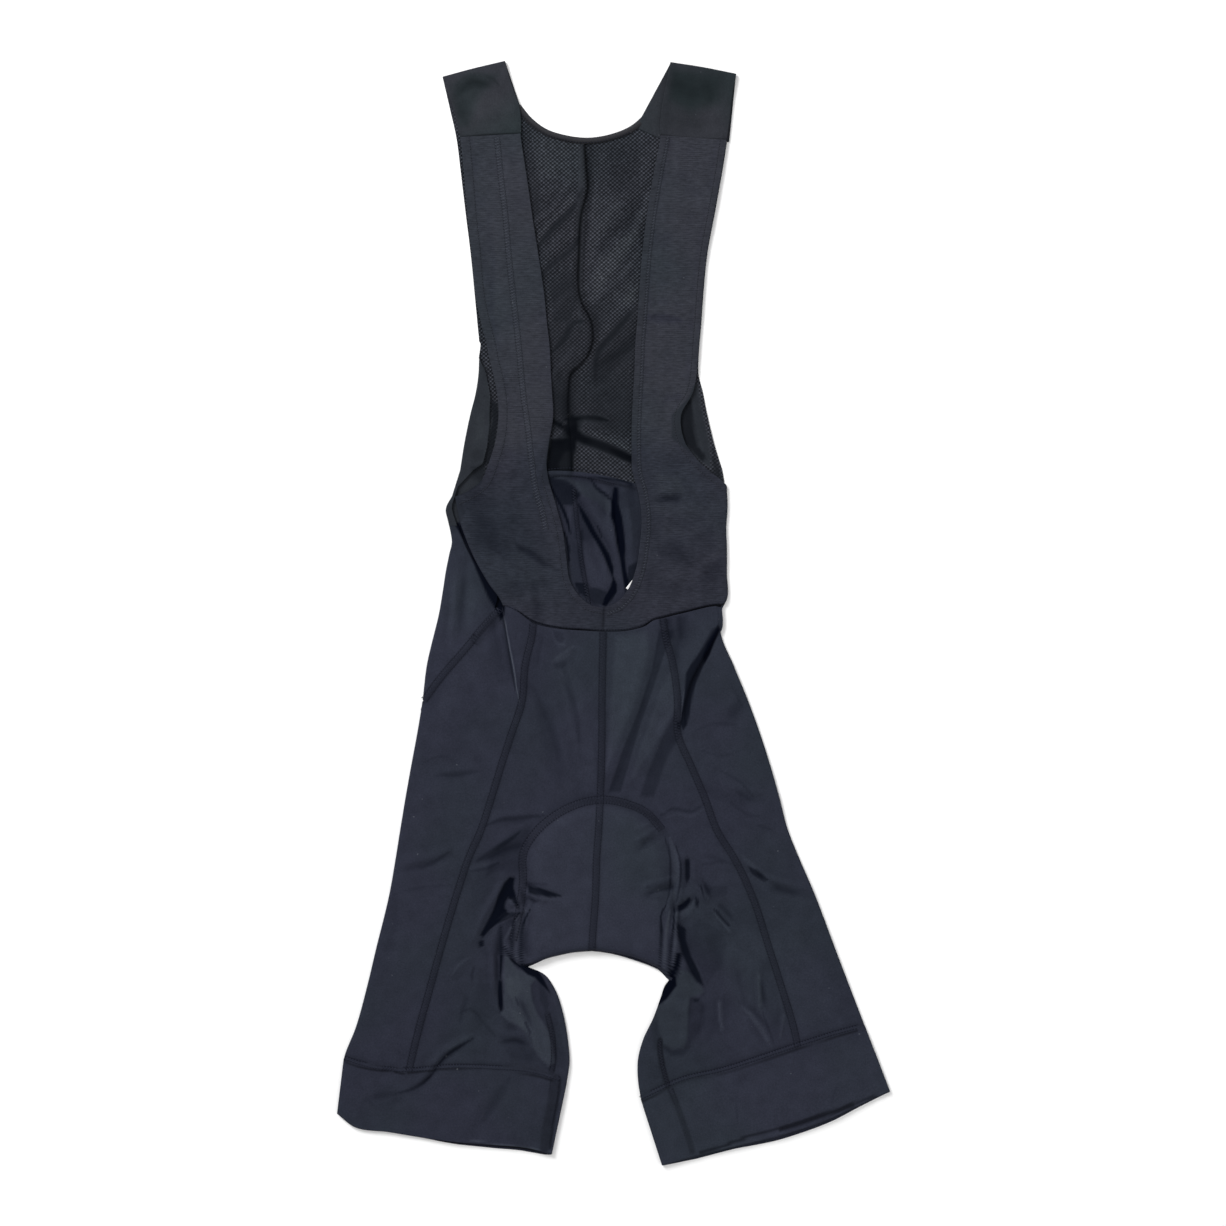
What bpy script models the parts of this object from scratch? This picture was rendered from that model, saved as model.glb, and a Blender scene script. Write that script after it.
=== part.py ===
"""Cycling bib shorts laid flat on their back, front side up.

The shorts are cut and sewn from knitted panels: shoulder yokes, ribbed braces that run into a
bib front, a mesh upper back, a lycra seat, and for each leg a front, a side, an inner leg and a
cuff. The lower layer lies flat on z = 0. The upper layer lies on it, and the cloth turns over
round the folds at the sides, the shoulders and the inside of the legs. All lengths are in
millimetres until a mesh is made. +X is to the right, +Y towards the shoulders, +Z up.
"""

import bmesh
import bpy
import numpy as np
from mathutils.bvhtree import BVHTree

MM = 0.001
CLOTH = 1.0              # wall of every knitted panel
SEAM_GAP = 0.3           # clear space between two panels at their seam
LOWER = CLOTH / 2        # height of the middle of the lower layer
UPPER = 3.2              # height of the middle of the upper layer
FOLD_RADIUS = (UPPER - LOWER) / 2
BRINK = FOLD_RADIUS + CLOTH / 2   # from a fold's outer face to where its cloth lies flat
PLEAT_WIDTH = 6.0        # cloth between the two turns of a pleat with no depth
PAD_RISE = 5.0           # how far the seat pad lifts the front of the shorts
FINE = 40                # points a curve is drawn with between two given ones

# The braces, their armholes and the mesh back behind them, one row for each level.
TORSO_COLUMNS = ("y", "back_left", "out_left", "in_left", "back_seam", "in_right", "out_right", "back_right")
TORSO = (
    (454.5, -146.5, -144.0, -84.5, -21.5, 44.5, 105.5, 105.0),
    (427.5, -140.5, -137.0, -83.0, -22.0, 43.0, 102.0, 102.5),
    (400.5, -137.0, -134.0, -79.0, -25.5, 38.0, 98.0, 98.5),
    (367.0, -133.0, -131.0, -74.0, -28.0, 32.0, 91.5, 92.0),
    (326.5, -128.0, -127.0, -68.0, -30.5, 27.0, 84.5, 85.0),
    (281.5, -123.5, -122.5, -61.5, -29.0, 23.5, 80.0, 80.5),
    (241.0, -120.0, -113.5, -57.5, -19.0, 20.5, 77.0, 77.5),
    (205.0, -122.0, -105.0, -55.5, -38.0, 19.0, 73.5, 79.0),
    (178.0, -128.5, -102.5, -54.0, -39.0, 17.5, 61.0, 84.5),
    (151.0, -134.0, -106.0, -58.0, -36.0, 17.0, 65.5, 91.0),
    (128.5, -137.5, -113.5, -60.0, -37.0, 18.0, 85.5, 98.0),
)

# The shorts from waist to cuff, one row for each level.
SHORTS_COLUMNS = ("y", "side_left", "seam_left", "centre", "seam_right", "side_right")
SHORTS = (
    (-5.0, -157.5, -70.5, -9.0, 45.0, 97.0),
    (-17.0, -160.5, -71.0, -9.0, 46.5, 97.0),
    (-47.0, -167.5, -76.0, -10.0, 55.0, 108.5),
    (-80.0, -171.5, -82.0, -10.5, 59.0, 122.0),
    (-137.0, -181.5, -101.0, -10.5, 72.5, 141.5),
    (-195.5, -191.5, -119.0, -11.5, 95.0, 157.5),
    (-249.5, -200.5, -139.0, -16.0, 124.0, 180.0),
    (-303.5, -213.5, -156.5, -19.0, 141.5, 200.5),
    (-335.0, -221.0, -164.0, -19.0, 152.0, 212.5),
    (-371.5, -231.0, -174.0, -19.0, 162.0, 226.5),
    (-402.5, -242.5, -180.0, -19.0, 168.0, 238.0),
    (-412.0, -244.0, -182.0, -19.0, 170.0, 242.0),
)

# Edges and seams that run across the garment, each from left to right, as (x, y).
NECK = ((-84, 456.5), (-75, 445.5), (-60.5, 434.5), (-44, 429), (-21.5, 426.5), (-2.5, 429.5), (17, 437.5), (34, 454.5))
WAIST = ((-99, 8), (-91.5, 7), (-87, 1), (-79, -6), (-64, -11.5), (-39.5, -15.5), (-9, -17), (19, -15.5), (39.5, -6.5),
         (66.5, 0.5), (101.5, 7))
BACK_WAIST = ((-146.5, 78.5), (-101.5, 101.5), (-61, 127), (-37, 127), (-6.5, 123), (17, 117), (60.5, 108), (96, 99))
CROTCH = ((-81, -316), (-57, -309.5), (-36.5, -305), (-19, -303.5), (-2, -306), (22.5, -313), (39.5, -319.5), (54, -328))

# Edges and seams that run down it, as (x, y).
ARMHOLE_LEFT = ((-106, 151), (-112.5, 131.5), (-118, 119), (-129.5, 110), (-141.5, 104.5))
ARMHOLE_RIGHT = ((65.5, 151), (78, 135), (86.5, 127.5), (94.5, 121.5), (102.5, 114))
BRACE_END_LEFT = ((-58, 151), (-60, 133), (-58.5, 121.5), (-52, 99), (-45, 72), (-42, 48.5), (-38.5, 28), (-29.5, 14.5),
                  (-20, 7), (-8, 5))
BRACE_END_RIGHT = ((17, 151), (18, 126), (22.5, 110), (26, 85.5), (24.5, 62), (20.5, 38), (14, 21.5), (3.5, 9.5), (-8, 5))
WAIST_SIDE_LEFT = ((-145, 105), (-150.5, 93), (-148.5, 83), (-146, 72), (-145, 64), (-147.5, 52), (-150.5, 37),
                   (-153, 20.5), (-157.5, -5))
WAIST_SIDE_RIGHT = ((102.5, 114), (103, 92.5), (102, 79), (102.5, 58.5), (102.5, 35), (102.5, 12.5), (98, 3.5), (97, -5))
SEAT_FRONT_LEFT = ((-139.5, 78.5), (-131.0, 56.5), (-118.5, 39), (-107, 27), (-104, 15), (-106.5, 4))
SEAT_SEAM_LEFT = ((-106.5, 4), (-114, -10), (-133, -32.5), (-153, -56), (-165.5, -70.0), (-171, -80))
BACK_SEAM_LEFT = ((-171, -80), (-169.6, -91), (-163, -132.5), (-164.5, -195.5), (-173.5, -258.5), (-184.5, -312.5), (-196, -366.5),
                  (-202.5, -408))
BACK_SEAM_RIGHT = ((78.5, 1), (89, -33.5), (93.5, -78.5), (103.5, -132.5), (119, -195.5), (137.5, -249.5), (162, -312.5),
                   (186, -362), (195, -381))
BIB_BACK_RIGHT = ((98, 114), (96, 99), (92, 74.5), (85.5, 47.5), (81, 20.5), (78.5, 1))
INNER_LEFT = ((-77, -318), (-60.5, -326), (-52, -338.5), (-45, -359), (-40.5, -383.5), (-39, -404), (-41.5, -422))
INNER_RIGHT = ((50.5, -330), (47.0, -334.5), (43, -345.5), (36, -364.5), (27, -383.5), (22.5, -400.5), (22.5, -421), (25, -437))
INSEAM_LEFT = ((-81, -316), (-69.5, -331), (-62, -344.5), (-56.5, -362), (-52, -383.5), (-51.5, -402.5), (-54, -416))
INSEAM_RIGHT = ((54, -328), (53, -337), (51, -350), (46, -368), (42, -386), (44, -404), (49.5, -426))

# How far the left mesh back is turned over to the front at its armhole, from its fold to its hem.
HEM_LEFT = ((245, 1.0), (229.5, 3.0), (209, 8.5), (195.5, 13.5), (168.5, 19.5), (149.5, 21.0), (134, 19.5), (128.5, 12.0),
            (113.5, 2.5), (104.5, 2.5), (92, 6.0), (78.5, 7.0))

# The edge of the long pleat at each side, row by row: where it lies, how deep it folds under and how high it stands.
PLEAT_COLUMNS = ("y", "x", "depth", "drop")
PLEAT_LEFT = (
    (104.5, -141.5, 0.0, 0.0),
    (85.0, -138.0, 0.2, 1.8),
    (66.0, -131.5, 0.6, 3.4),
    (47.0, -123.0, 1.8, 4.0),
    (27.0, -111.5, 4.5, 4.0),
    (8.0, -99.0, 6.0, 4.0),
    (-10.0, -96.5, 5.0, 4.0),
    (-27.0, -94.0, 3.5, 4.0),
    (-44.0, -91.5, 2.0, 3.8),
    (-62.0, -89.5, 0.4, 3.0),
    (-80.0, -88.0, 0.0, 0.0),
)
PLEAT_RIGHT = (
    (5.2, 91.5, 0.0, 0.0),
    (-16.0, 88.0, 0.4, 3.0),
    (-38.0, 81.0, 2.0, 3.8),
    (-60.0, 70.5, 2.0, 3.8),
    (-82.0, 67.0, 0.4, 3.0),
    (-103.0, 69.0, 0.0, 0.0),
)
PLEAT_OUT_LEFT = (-1.0, 0.0)
PLEAT_OUT_RIGHT = (0.989, 0.148)

# Where each cuff is sewn on and where its hem lies, in front, from the outer fold to the inner one.
CUFF_COLUMNS = ("seam_x", "seam_y", "hem_x", "hem_y")
CUFF_LEFT = (
    (-242.0, -400.5, -247.5, -450.0),
    (-229.5, -405.0, -233.0, -461.0),
    (-195.0, -411.5, -201.5, -466.0),
    (-143.0, -408.5, -147.0, -474.5),
    (-109.0, -409.5, -110.0, -477.5),
    (-71.0, -413.0, -76.0, -480.5),
    (-41.5, -422.0, -55.5, -486.0),
)
CUFF_RIGHT = (
    (226.5, -371.5, 248.5, -430.0),
    (201.5, -378.0, 228.5, -438.5),
    (166.5, -389.0, 187.0, -457.0),
    (132.5, -400.5, 149.0, -469.5),
    (98.0, -411.5, 98.0, -481.5),
    (63.5, -419.5, 66.5, -489.5),
    (25.0, -437.0, 44.5, -496.0),
)

YOKE_SEAM_LEFT = ((-137, 427.5), (-83, 430.5))
YOKE_SEAM_RIGHT = ((43, 429), (102, 425))
SEAT_CENTRE = ((-37, 127), (-30, 60), (-18, -20), (-14, -160), (-19, -303.5))
SEAT_SIDE_RIGHT = ((95.0, 99), (92, 74.5), (85.5, 47.5), (81, 20.5), (78.5, 1))

# Rows of a panel between two cross seams of the shorts, waist to cuff.
ROWS_PLEAT, ROWS_THIGH, ROWS_CROTCH, ROWS_LEG = 5, 5, 2, 4
CENTRE_LEVELS = (-95.0, -150.0, -195.0, -245.0, -290.0, -303.5)   # the thigh's rows at the centre seam
LEFT_LEVELS = (-80.0, -91.0, -132.0, -175.0, -218.0, -260.0)        # and at the left fold, where a seam crosses it
BIB_SIDE_ROWS = 5        # rows of the bib below its armholes
SEAT_TOP_ROWS = 4        # rows of the seat above the bib's waist seam
YOKE_ROWS = 4
BENDS = 4                # facets round a full fold
CROSSING = 0.42          # share of a full turn where a seam runs over a fold
CUFF_ROWS = 2
PLEAT_SHARES = np.linspace(0.0, 1.0, 7)
HALF_SHARES = np.linspace(0.0, 0.5, 4)
SIDE_LANE = 12.0         # from the front seam to the side panel's first lane below its pleat
FRONT_TAIL = 3.0         # the last of a panel's lanes where it ends before a fold
LEFTWARD = np.array((-1.0, 0.0))
BACK_HEM_DROP = 1.5      # how far the back of a cuff shows below its front

# The seat pad: its arch, its lower end and its half width.
PAD_TOP, PAD_WAIST, PAD_END = -171.0, -228.5, -280.0
PAD_MIDDLE, PAD_HALF = -13.0, 60.0
PAD_EDGE = 0.8           # least thickness at its rim
PROBE = 6.0              # how far round a point the panels above are felt for

# The care label.
LABEL_SIZE = (20.0, 34.0)
LABEL_CENTRE = (33.0, 19.0)
LABEL_TURN = 52.0
LABEL_WALL = 0.6
LABEL_LEVEL = 1.7

# Materials: colour, roughness.
CLOTHS = {
    "lycra": ((0.028, 0.030, 0.042), 0.55),
    "rib": ((0.035, 0.037, 0.045), 0.75),
    "mesh": ((0.030, 0.031, 0.038), 0.80),
    "foam": ((0.045, 0.045, 0.050), 0.90),
    "satin": ((0.85, 0.85, 0.86), 0.45),
}


# ---------------------------------------------------------------- curves

def rounded(points, steps):
    """steps + 1 points evenly spaced along a smooth curve through the given ones."""
    points = np.array(points, float)
    along = np.concatenate(([0.0], np.cumsum(np.linalg.norm(np.diff(points, axis=0), axis=1))))
    slope = np.gradient(points, along, axis=0)
    where = np.linspace(0.0, along[-1], FINE * len(points))
    piece = np.clip(np.searchsorted(along, where, side="right") - 1, 0, len(along) - 2)
    length = (along[piece + 1] - along[piece])[:, None]
    t = (where[:, None] - along[piece][:, None]) / length
    curve = ((2 * t**3 - 3 * t**2 + 1) * points[piece] + (t**3 - 2 * t**2 + t) * length * slope[piece]
             + (3 * t**2 - 2 * t**3) * points[piece + 1] + (t**3 - t**2) * length * slope[piece + 1])
    travelled = np.concatenate(([0.0], np.cumsum(np.linalg.norm(np.diff(curve, axis=0), axis=1))))
    stops = np.linspace(0.0, travelled[-1], steps + 1)
    return np.column_stack([np.interp(stops, travelled, curve[:, k]) for k in range(curve.shape[1])])


def joined(*runs):
    """Runs of points end to end, each starting where the one before it stops."""
    return np.concatenate([runs[0]] + [run[1:] for run in runs[1:]])


def column(table, columns, name):
    """One named column of a table against y, as (x, y) points."""
    rows = np.array(table)
    return np.column_stack((rows[:, columns.index(name)], rows[:, columns.index("y")]))


def stretch(points, start, end, axis=1):
    """The part of a line between two values of y (or of x), with its ends cut exactly there."""
    line = rounded(points, FINE * len(points))
    order = np.argsort(line[:, axis])
    line = line[order]
    low, high = min(start, end), max(start, end)
    other = 1 - axis
    ends = np.zeros((2, 2))
    ends[:, axis] = (low, high)
    ends[:, other] = np.interp((low, high), line[:, axis], line[:, other])
    inside = line[(line[:, axis] > low + 1) & (line[:, axis] < high - 1)]
    part = np.concatenate((ends[:1], inside, ends[1:]))
    return part if start <= end else part[::-1]


def run(points, start, end, steps, axis=1):
    """A stretch of a line in a number of even steps."""
    return rounded(stretch(points, start, end, axis), steps)


def at(points, value):
    """The x of a line at given values of y."""
    points = np.array(points, float)
    line = rounded(points, FINE * len(points))
    order = np.argsort(line[:, 1])
    return np.interp(value, line[order, 1], line[order, 0])


def unit(vectors):
    """Vectors of length one."""
    return vectors / np.linalg.norm(vectors, axis=-1, keepdims=True)


def ease(t):
    """A smooth step from 0 to 1."""
    t = np.clip(t, 0.0, 1.0)
    return t * t * (3 - 2 * t)


# ---------------------------------------------------------------- heights of the upper layer

def pleat_at(table, y, name):
    """A pleat's depth, drop or x at given values of y; 0 past its ends, except for x."""
    rows = np.array(table)[::-1]
    values = rows[:, PLEAT_COLUMNS.index(name)]
    return np.interp(y, rows[:, 0], values)


def pad_share(xy):
    """1 on the seat pad and 0 off it: a round arch over a straight band, easing out at its edge."""
    across = (xy[..., 0] + 13) / 71
    above = np.maximum(xy[..., 1] + 228.5, 0) / 64.5
    return ease((1 - np.hypot(across, above)) / 0.3)


def crotch_gap(xy):
    """How far a point lies above the crotch, where the shorts fold under."""
    return xy[..., 1] + 303.5 + 0.0042 * (xy[..., 0] + 19) ** 2


def height(xy, pleats=True):
    """Height of the middle of the upper layer: raised by the pad and, beside a pleat, by the pleat."""
    level = UPPER + PAD_RISE * pad_share(xy) * ease(crotch_gap(xy) / 12)
    level = level - 1.1 * (1 - ease(np.abs(crotch_gap(xy)) / 8)) * (1 - ease((np.abs(xy[..., 0] + 14) - 42) / 16))
    if pleats:
        for table, outward in ((PLEAT_LEFT, -1), (PLEAT_RIGHT, 1)):
            inside = outward * (pleat_at(table, xy[..., 1], "x") - xy[..., 0])
            level = level + pleat_at(table, xy[..., 1], "drop") * np.exp(-(np.maximum(inside, 0) / 24) ** 2)
    return level


# ---------------------------------------------------------------- panels

def spread(left, right, columns, top=None, bottom=None):
    """Points between two facing edges, bent to follow the lines that close them at either end."""
    u = np.linspace(0.0, 1.0, columns + 1)[None, :, None]
    v = np.linspace(0.0, 1.0, len(left))[:, None, None]
    grid = (1 - u) * left[:, None] + u * right[:, None]
    for line, weight in ((top, 1 - v), (bottom, v)):
        if line is not None:
            straight = (1 - u[0]) * line[0] + u[0] * line[-1]
            grid = grid + weight * (line - straight)[None]
    return grid


def lifted(grid, level):
    """A flat grid with its heights."""
    level = np.broadcast_to(level, grid.shape[:2])
    return np.concatenate((grid, level[..., None]), axis=2)


def outward_of(line, inside):
    """Unit vectors square to a line, pointing away from the inside points."""
    along = unit(np.gradient(line, axis=0))
    square = np.column_stack((along[:, 1], -along[:, 0]))
    flip = np.sign(np.sum(square * (line - inside), axis=1))
    return square * flip[:, None]


def curl(start, outward, level, turn, width, columns, down=False):
    """Cloth that goes on past start, turning over with the fold radius through a share of half a turn.

    A point at distance t round the fold stands radius x sin(t / radius) out and
    radius x (1 - cos(t / radius)) up or down; past the turn the cloth goes on straight.
    """
    arc = np.pi * FOLD_RADIUS * turn[:, None]
    share = np.arange(1, columns + 1)
    past_share = np.maximum(share - BENDS, 0) / (columns - BENDS)
    bent = arc * np.minimum(share / BENDS, 1) + (width[:, None] - arc) * past_share
    t = np.where(turn[:, None] == 1, bent, width[:, None] * (share / columns) ** 1.4)
    angle = np.minimum(t, arc) / FOLD_RADIUS
    past = t - np.minimum(t, arc)
    out = FOLD_RADIUS * np.sin(angle) + past * np.cos(angle)
    rise = FOLD_RADIUS * (1 - np.cos(angle)) + past * np.sin(angle)
    points = start[:, None] + out[..., None] * outward[:, None]
    return lifted(points, level + (-rise if down else rise))


def half_turn(fold, outward):
    """The three middle points of a fold from the upper layer to the lower one."""
    centre = fold - outward * (FOLD_RADIUS + CLOTH / 2)
    angles = np.radians((45.0, 0.0, -45.0))
    rings = [np.column_stack((centre + outward * FOLD_RADIUS * np.cos(a),
                              np.full(len(fold), (UPPER + LOWER) / 2 + FOLD_RADIUS * np.sin(a)))) for a in angles]
    return np.stack(rings, axis=1)


def pleated(edge, outward, depth, high, low, shares):
    """Cloth that turns under at a pleat's edge and back again, as shares of the way across it.

    Across it the cloth moves by width x s + depth x sin(2 pi s), and it falls from high to low
    as s - sin(4 pi s) / (4 pi), steepest at the two turns.
    """
    s = np.array(shares)[None, :]
    move = PLEAT_WIDTH * s + depth[:, None] * np.sin(2 * np.pi * s)
    move = move - move[:, s[0] <= 0.5].max(axis=1, keepdims=True)
    fall = s - np.sin(4 * np.pi * s) / (4 * np.pi)
    points = edge[:, None] + move[..., None] * outward[:, None]
    return lifted(points, high[:, None] + (low - high)[:, None] * fall)


def inset(grid, ring=False):
    """Pull a panel's border in by half the seam gap, square to the border."""
    grid = grid.copy()
    for axis in ((0,) if ring else (0, 1)):
        work = np.swapaxes(grid, 0, axis)
        for border, inner in ((0, 1), (-1, -2)):
            inwards = work[inner] - work[border]
            along = unit(np.gradient(work[border], axis=0))
            inwards = inwards - np.sum(inwards * along, axis=1, keepdims=True) * along
            work[border] += unit(inwards) * SEAM_GAP / 2
    return grid


def material(name):
    """A Principled material in one of the cloths."""
    if name in bpy.data.materials:
        return bpy.data.materials[name]
    colour, roughness = CLOTHS[name]
    made = bpy.data.materials.new(name)
    made.use_nodes = True
    shader = made.node_tree.nodes["Principled BSDF"]
    shader.inputs["Base Color"].default_value = (*colour, 1.0)
    shader.inputs["Roughness"].default_value = roughness
    shader.inputs["Metallic"].default_value = 0.0
    return made


def mesh_object(name, points, faces, cloth):
    """An object of the garment's collection, in metres."""
    mesh = bpy.data.meshes.new(name)
    mesh.from_pydata((points * MM).tolist(), [], faces)
    made = bpy.data.objects.new(name, mesh)
    made.data.materials.append(material(cloth))
    garment.objects.link(made)
    return made


def grid_faces(rows, columns, ring=False, start=0):
    """Four-sided faces of a grid of points, which may close on itself across its rows."""
    last = columns if ring else columns - 1
    return [(start + r * columns + c, start + r * columns + (c + 1) % columns,
             start + (r + 1) * columns + (c + 1) % columns, start + (r + 1) * columns + c)
            for r in range(rows - 1) for c in range(last)]


def panel(name, grid, cloth, ring=False, thickness=CLOTH):
    """A cut panel: its middle surface, with a wall of cloth put on by Solidify."""
    grid = inset(grid, ring)
    rows, columns = grid.shape[:2]
    made = mesh_object(name, grid.reshape(-1, 3), grid_faces(rows, columns, ring), cloth)
    wall = made.modifiers.new("wall", "SOLIDIFY")
    wall.thickness = thickness * MM
    wall.offset = 0.0
    return made


def slab(name, lower, upper, cloth):
    """A closed solid between two grids of the same size."""
    rows, columns = lower.shape[:2]
    count = rows * columns
    border = ([c for c in range(columns)] + [r * columns + columns - 1 for r in range(1, rows)]
              + [(rows - 1) * columns + c for c in range(columns - 2, -1, -1)]
              + [r * columns for r in range(rows - 2, 0, -1)])
    under = [face[::-1] for face in grid_faces(rows, columns)]
    over = grid_faces(rows, columns, start=count)
    rim = [(a, b, b + count, a + count) for a, b in zip(border, border[1:] + border[:1])]
    made = mesh_object(name, np.concatenate((lower.reshape(-1, 3), upper.reshape(-1, 3))), under + over + rim, cloth)
    work = bmesh.new()
    work.from_mesh(made.data)
    bmesh.ops.recalc_face_normals(work, faces=work.faces)
    work.to_mesh(made.data)
    work.free()
    return made


# ---------------------------------------------------------------- the pieces

def torso(name, start, end, steps):
    """A stretch of one of the torso's lines."""
    return run(column(TORSO, TORSO_COLUMNS, name), start, end, steps)


def shorts(name, start, end, steps):
    """A stretch of one of the shorts' lines."""
    return run(column(SHORTS, SHORTS_COLUMNS, name), start, end, steps)


def make_yoke(name, front_seam, shoulder, back_seam, outer, inner):
    """A shoulder yoke: from its seam in front, over the shoulder, to its seam on the back."""
    front, fold, back = (rounded(line, YOKE_ROWS) for line in (front_seam, shoulder, back_seam))
    outward = outward_of(fold, front)
    brink = fold - outward * BRINK
    over = spread(front, brink, 3, rounded((front[0], *outer, brink[0]), 3), rounded((front[-1], *inner, brink[-1]), 3))
    under = spread(brink, back, 2)
    grid = np.concatenate((lifted(over, height(over)), half_turn(fold, outward), lifted(under, LOWER)), axis=1)
    panel(name, grid, "rib")


def make_back_left(centre):
    """The left mesh back: flat below, with its armhole edge turned over to the front lower down."""
    inner = joined(rounded(NECK[:5], 3), centre)
    outer = joined(torso("back_left", 454.5, 427.5, 3), torso("back_left", 427.5, 128.5, 9),
                   rounded(((-137.5, 128.5), (-145.0, 104.5)), 1), run(WAIST_SIDE_LEFT, 104.5, 78.5, 2))
    y = outer[:, 1]
    turned = np.interp(y, *np.array(HEM_LEFT)[::-1].T)
    turn = ease((243.0 - y) / 30.0)
    width = np.where(turn > 0, np.pi * FOLD_RADIUS * turn + np.maximum(turned - BRINK, 0.6), BRINK)
    brink = outer - LEFTWARD * BRINK
    edge = curl(brink, np.tile(LEFTWARD, (len(outer), 1)), LOWER, turn, width, 6)[:, ::-1]
    flat = spread(brink, inner, 5, bottom=run(BACK_WAIST, brink[-1, 0], inner[-1, 0], 5, axis=0))
    panel("back_mesh_left", np.concatenate((edge, lifted(flat, LOWER)), axis=1), "mesh")


def make_back_right(centre):
    """The right mesh back, flat under the brace, out to the armhole."""
    inner = joined(rounded(NECK[4:], 3)[::-1], centre)
    outer = joined(torso("back_right", 454.5, 427.5, 3), torso("back_right", 427.5, 128.5, 9),
                   rounded(((98.0, 128.5), (99.5, 116.0)), 1), rounded(((99.5, 116.0), (96.5, 106.0), (95.0, 99.0)), 2))
    flat = spread(inner, outer, 5, bottom=run(BACK_WAIST, inner[-1, 0], outer[-1, 0], 5, axis=0))
    panel("back_mesh_right", lifted(flat, LOWER), "mesh")


def leg_lines(left):
    """The seams and folds of one leg, waist to cuff, in the rows that all its panels share."""
    steps = (ROWS_PLEAT, ROWS_THIGH, ROWS_CROTCH, ROWS_LEG)

    def down(line, *levels):
        return joined(*(run(line, a, b, n) for a, b, n in zip(levels, levels[1:], steps)))

    side, seam = ("side_left", "seam_left") if left else ("side_right", "seam_right")
    outline = np.concatenate((np.array(WAIST_SIDE_LEFT if left else WAIST_SIDE_RIGHT)[:-1],
                              column(SHORTS, SHORTS_COLUMNS, side)))
    table = PLEAT_LEFT if left else PLEAT_RIGHT
    thigh = np.column_stack((at(column(SHORTS, SHORTS_COLUMNS, "centre"), CENTRE_LEVELS), CENTRE_LEVELS))
    lines = {
        "centre": joined(shorts("centre", -17.0, -95.0, ROWS_PLEAT), thigh,
                         rounded(CROTCH[:4][::-1] if left else CROTCH[3:], ROWS_CROTCH)),
        "pleat": column(table, PLEAT_COLUMNS, "x"),
        "depth": np.array(table)[:, PLEAT_COLUMNS.index("depth")],
        "pleat_out": np.array(PLEAT_OUT_LEFT if left else PLEAT_OUT_RIGHT),
        "inseam": rounded(INSEAM_LEFT if left else INSEAM_RIGHT, ROWS_LEG),
        "inner_fold": rounded(INNER_LEFT if left else INNER_RIGHT, ROWS_LEG),
    }
    if left:
        lines["seam"] = down(column(SHORTS, SHORTS_COLUMNS, seam), -9.5, -80.0, -260.0, -300.0, -411.5)
        lines["back"] = joined(SEAT_SEAM_LEFT, np.column_stack((at(BACK_SEAM_LEFT, LEFT_LEVELS), LEFT_LEVELS)),
                               run(BACK_SEAM_LEFT, -260.0, -300.0, ROWS_CROTCH),
                               run(BACK_SEAM_LEFT, -300.0, -408.0, ROWS_LEG))
        lines["fold"] = joined(run(outline, 4.0, -80.0, ROWS_PLEAT), np.column_stack((at(outline, LEFT_LEVELS), LEFT_LEVELS)),
                               run(outline, -260.0, -300.0, ROWS_CROTCH), run(outline, -300.0, -400.5, ROWS_LEG))
    else:
        lines["seam"] = down(column(SHORTS, SHORTS_COLUMNS, seam), -5.0, -95.0, -260.0, -300.0, -389.5)
        lines["back"] = down(BACK_SEAM_RIGHT, 1.0, -95.0, -260.0, -300.0, -381.0)
        lines["fold"] = down(outline, 7.0, -95.0, -260.0, -300.0, -371.5)
    return lines


def cuff_line(table, start, end, steps, part="seam"):
    """A stretch of a cuff's seam or hem line in front, between two values of x."""
    columns = (CUFF_COLUMNS.index(part + "_x"), CUFF_COLUMNS.index(part + "_y"))
    return run(np.array(table)[:, columns], start, end, steps, axis=0)


def make_side(name, lines, left):
    """A side panel: from the front seam, over its pleat, round the outer fold, to the back seam.

    The left one starts at the waist as a narrow piece that lies wholly in front.
    """
    seam, back, fold = lines["seam"], lines["back"], lines["fold"]
    rows = len(seam)
    in_front = np.arange(rows) < (ROWS_PLEAT if left else 0)
    turn = np.where(in_front, 0.0, 1.0)
    lower_out = unit(fold - seam)[ROWS_PLEAT + 1:]
    edge = np.concatenate((lines["pleat"][-ROWS_PLEAT - 1:], seam[ROWS_PLEAT + 1:] + lower_out * SIDE_LANE))
    edge_out = np.concatenate((np.tile(lines["pleat_out"], (ROWS_PLEAT + 1, 1)), lower_out))
    depth = np.concatenate((lines["depth"][-ROWS_PLEAT - 1:], np.zeros(len(lower_out))))
    outward = unit(fold - back)
    outward[in_front] = unit(back - edge)[in_front]
    brink = np.where(in_front[:, None], back - outward * FRONT_TAIL, fold - outward * BRINK)
    width = np.where(in_front, FRONT_TAIL, np.pi * FOLD_RADIUS + np.linalg.norm(brink - back, axis=1))
    if left:
        turn[ROWS_PLEAT] = CROSSING
        width[ROWS_PLEAT] = np.pi * FOLD_RADIUS * CROSSING
    probe = pleated(edge, edge_out, depth, np.zeros(rows), np.zeros(rows), PLEAT_SHARES)
    near, far = probe[:, 0, :2], probe[:, -1, :2]
    pleat = pleated(edge, edge_out, depth, height(near), height(far, pleats=False), PLEAT_SHARES)
    table = CUFF_LEFT if left else CUFF_RIGHT
    front = spread(seam, near, 2, run(WAIST, seam[0, 0], near[0, 0], 2, axis=0),
                   cuff_line(table, seam[-1, 0], near[-1, 0], 2))
    beyond = spread(far, brink, 3, bottom=cuff_line(table, far[-1, 0], brink[-1, 0], 3))
    turned = curl(brink, outward, UPPER, turn, width, 6, down=True)
    grid = np.concatenate((lifted(front, height(front)), pleat[:, 1:-1],
                           lifted(beyond, height(beyond, pleats=False)), turned), axis=1)
    panel(name, grid, "lycra")
    return grid


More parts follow.
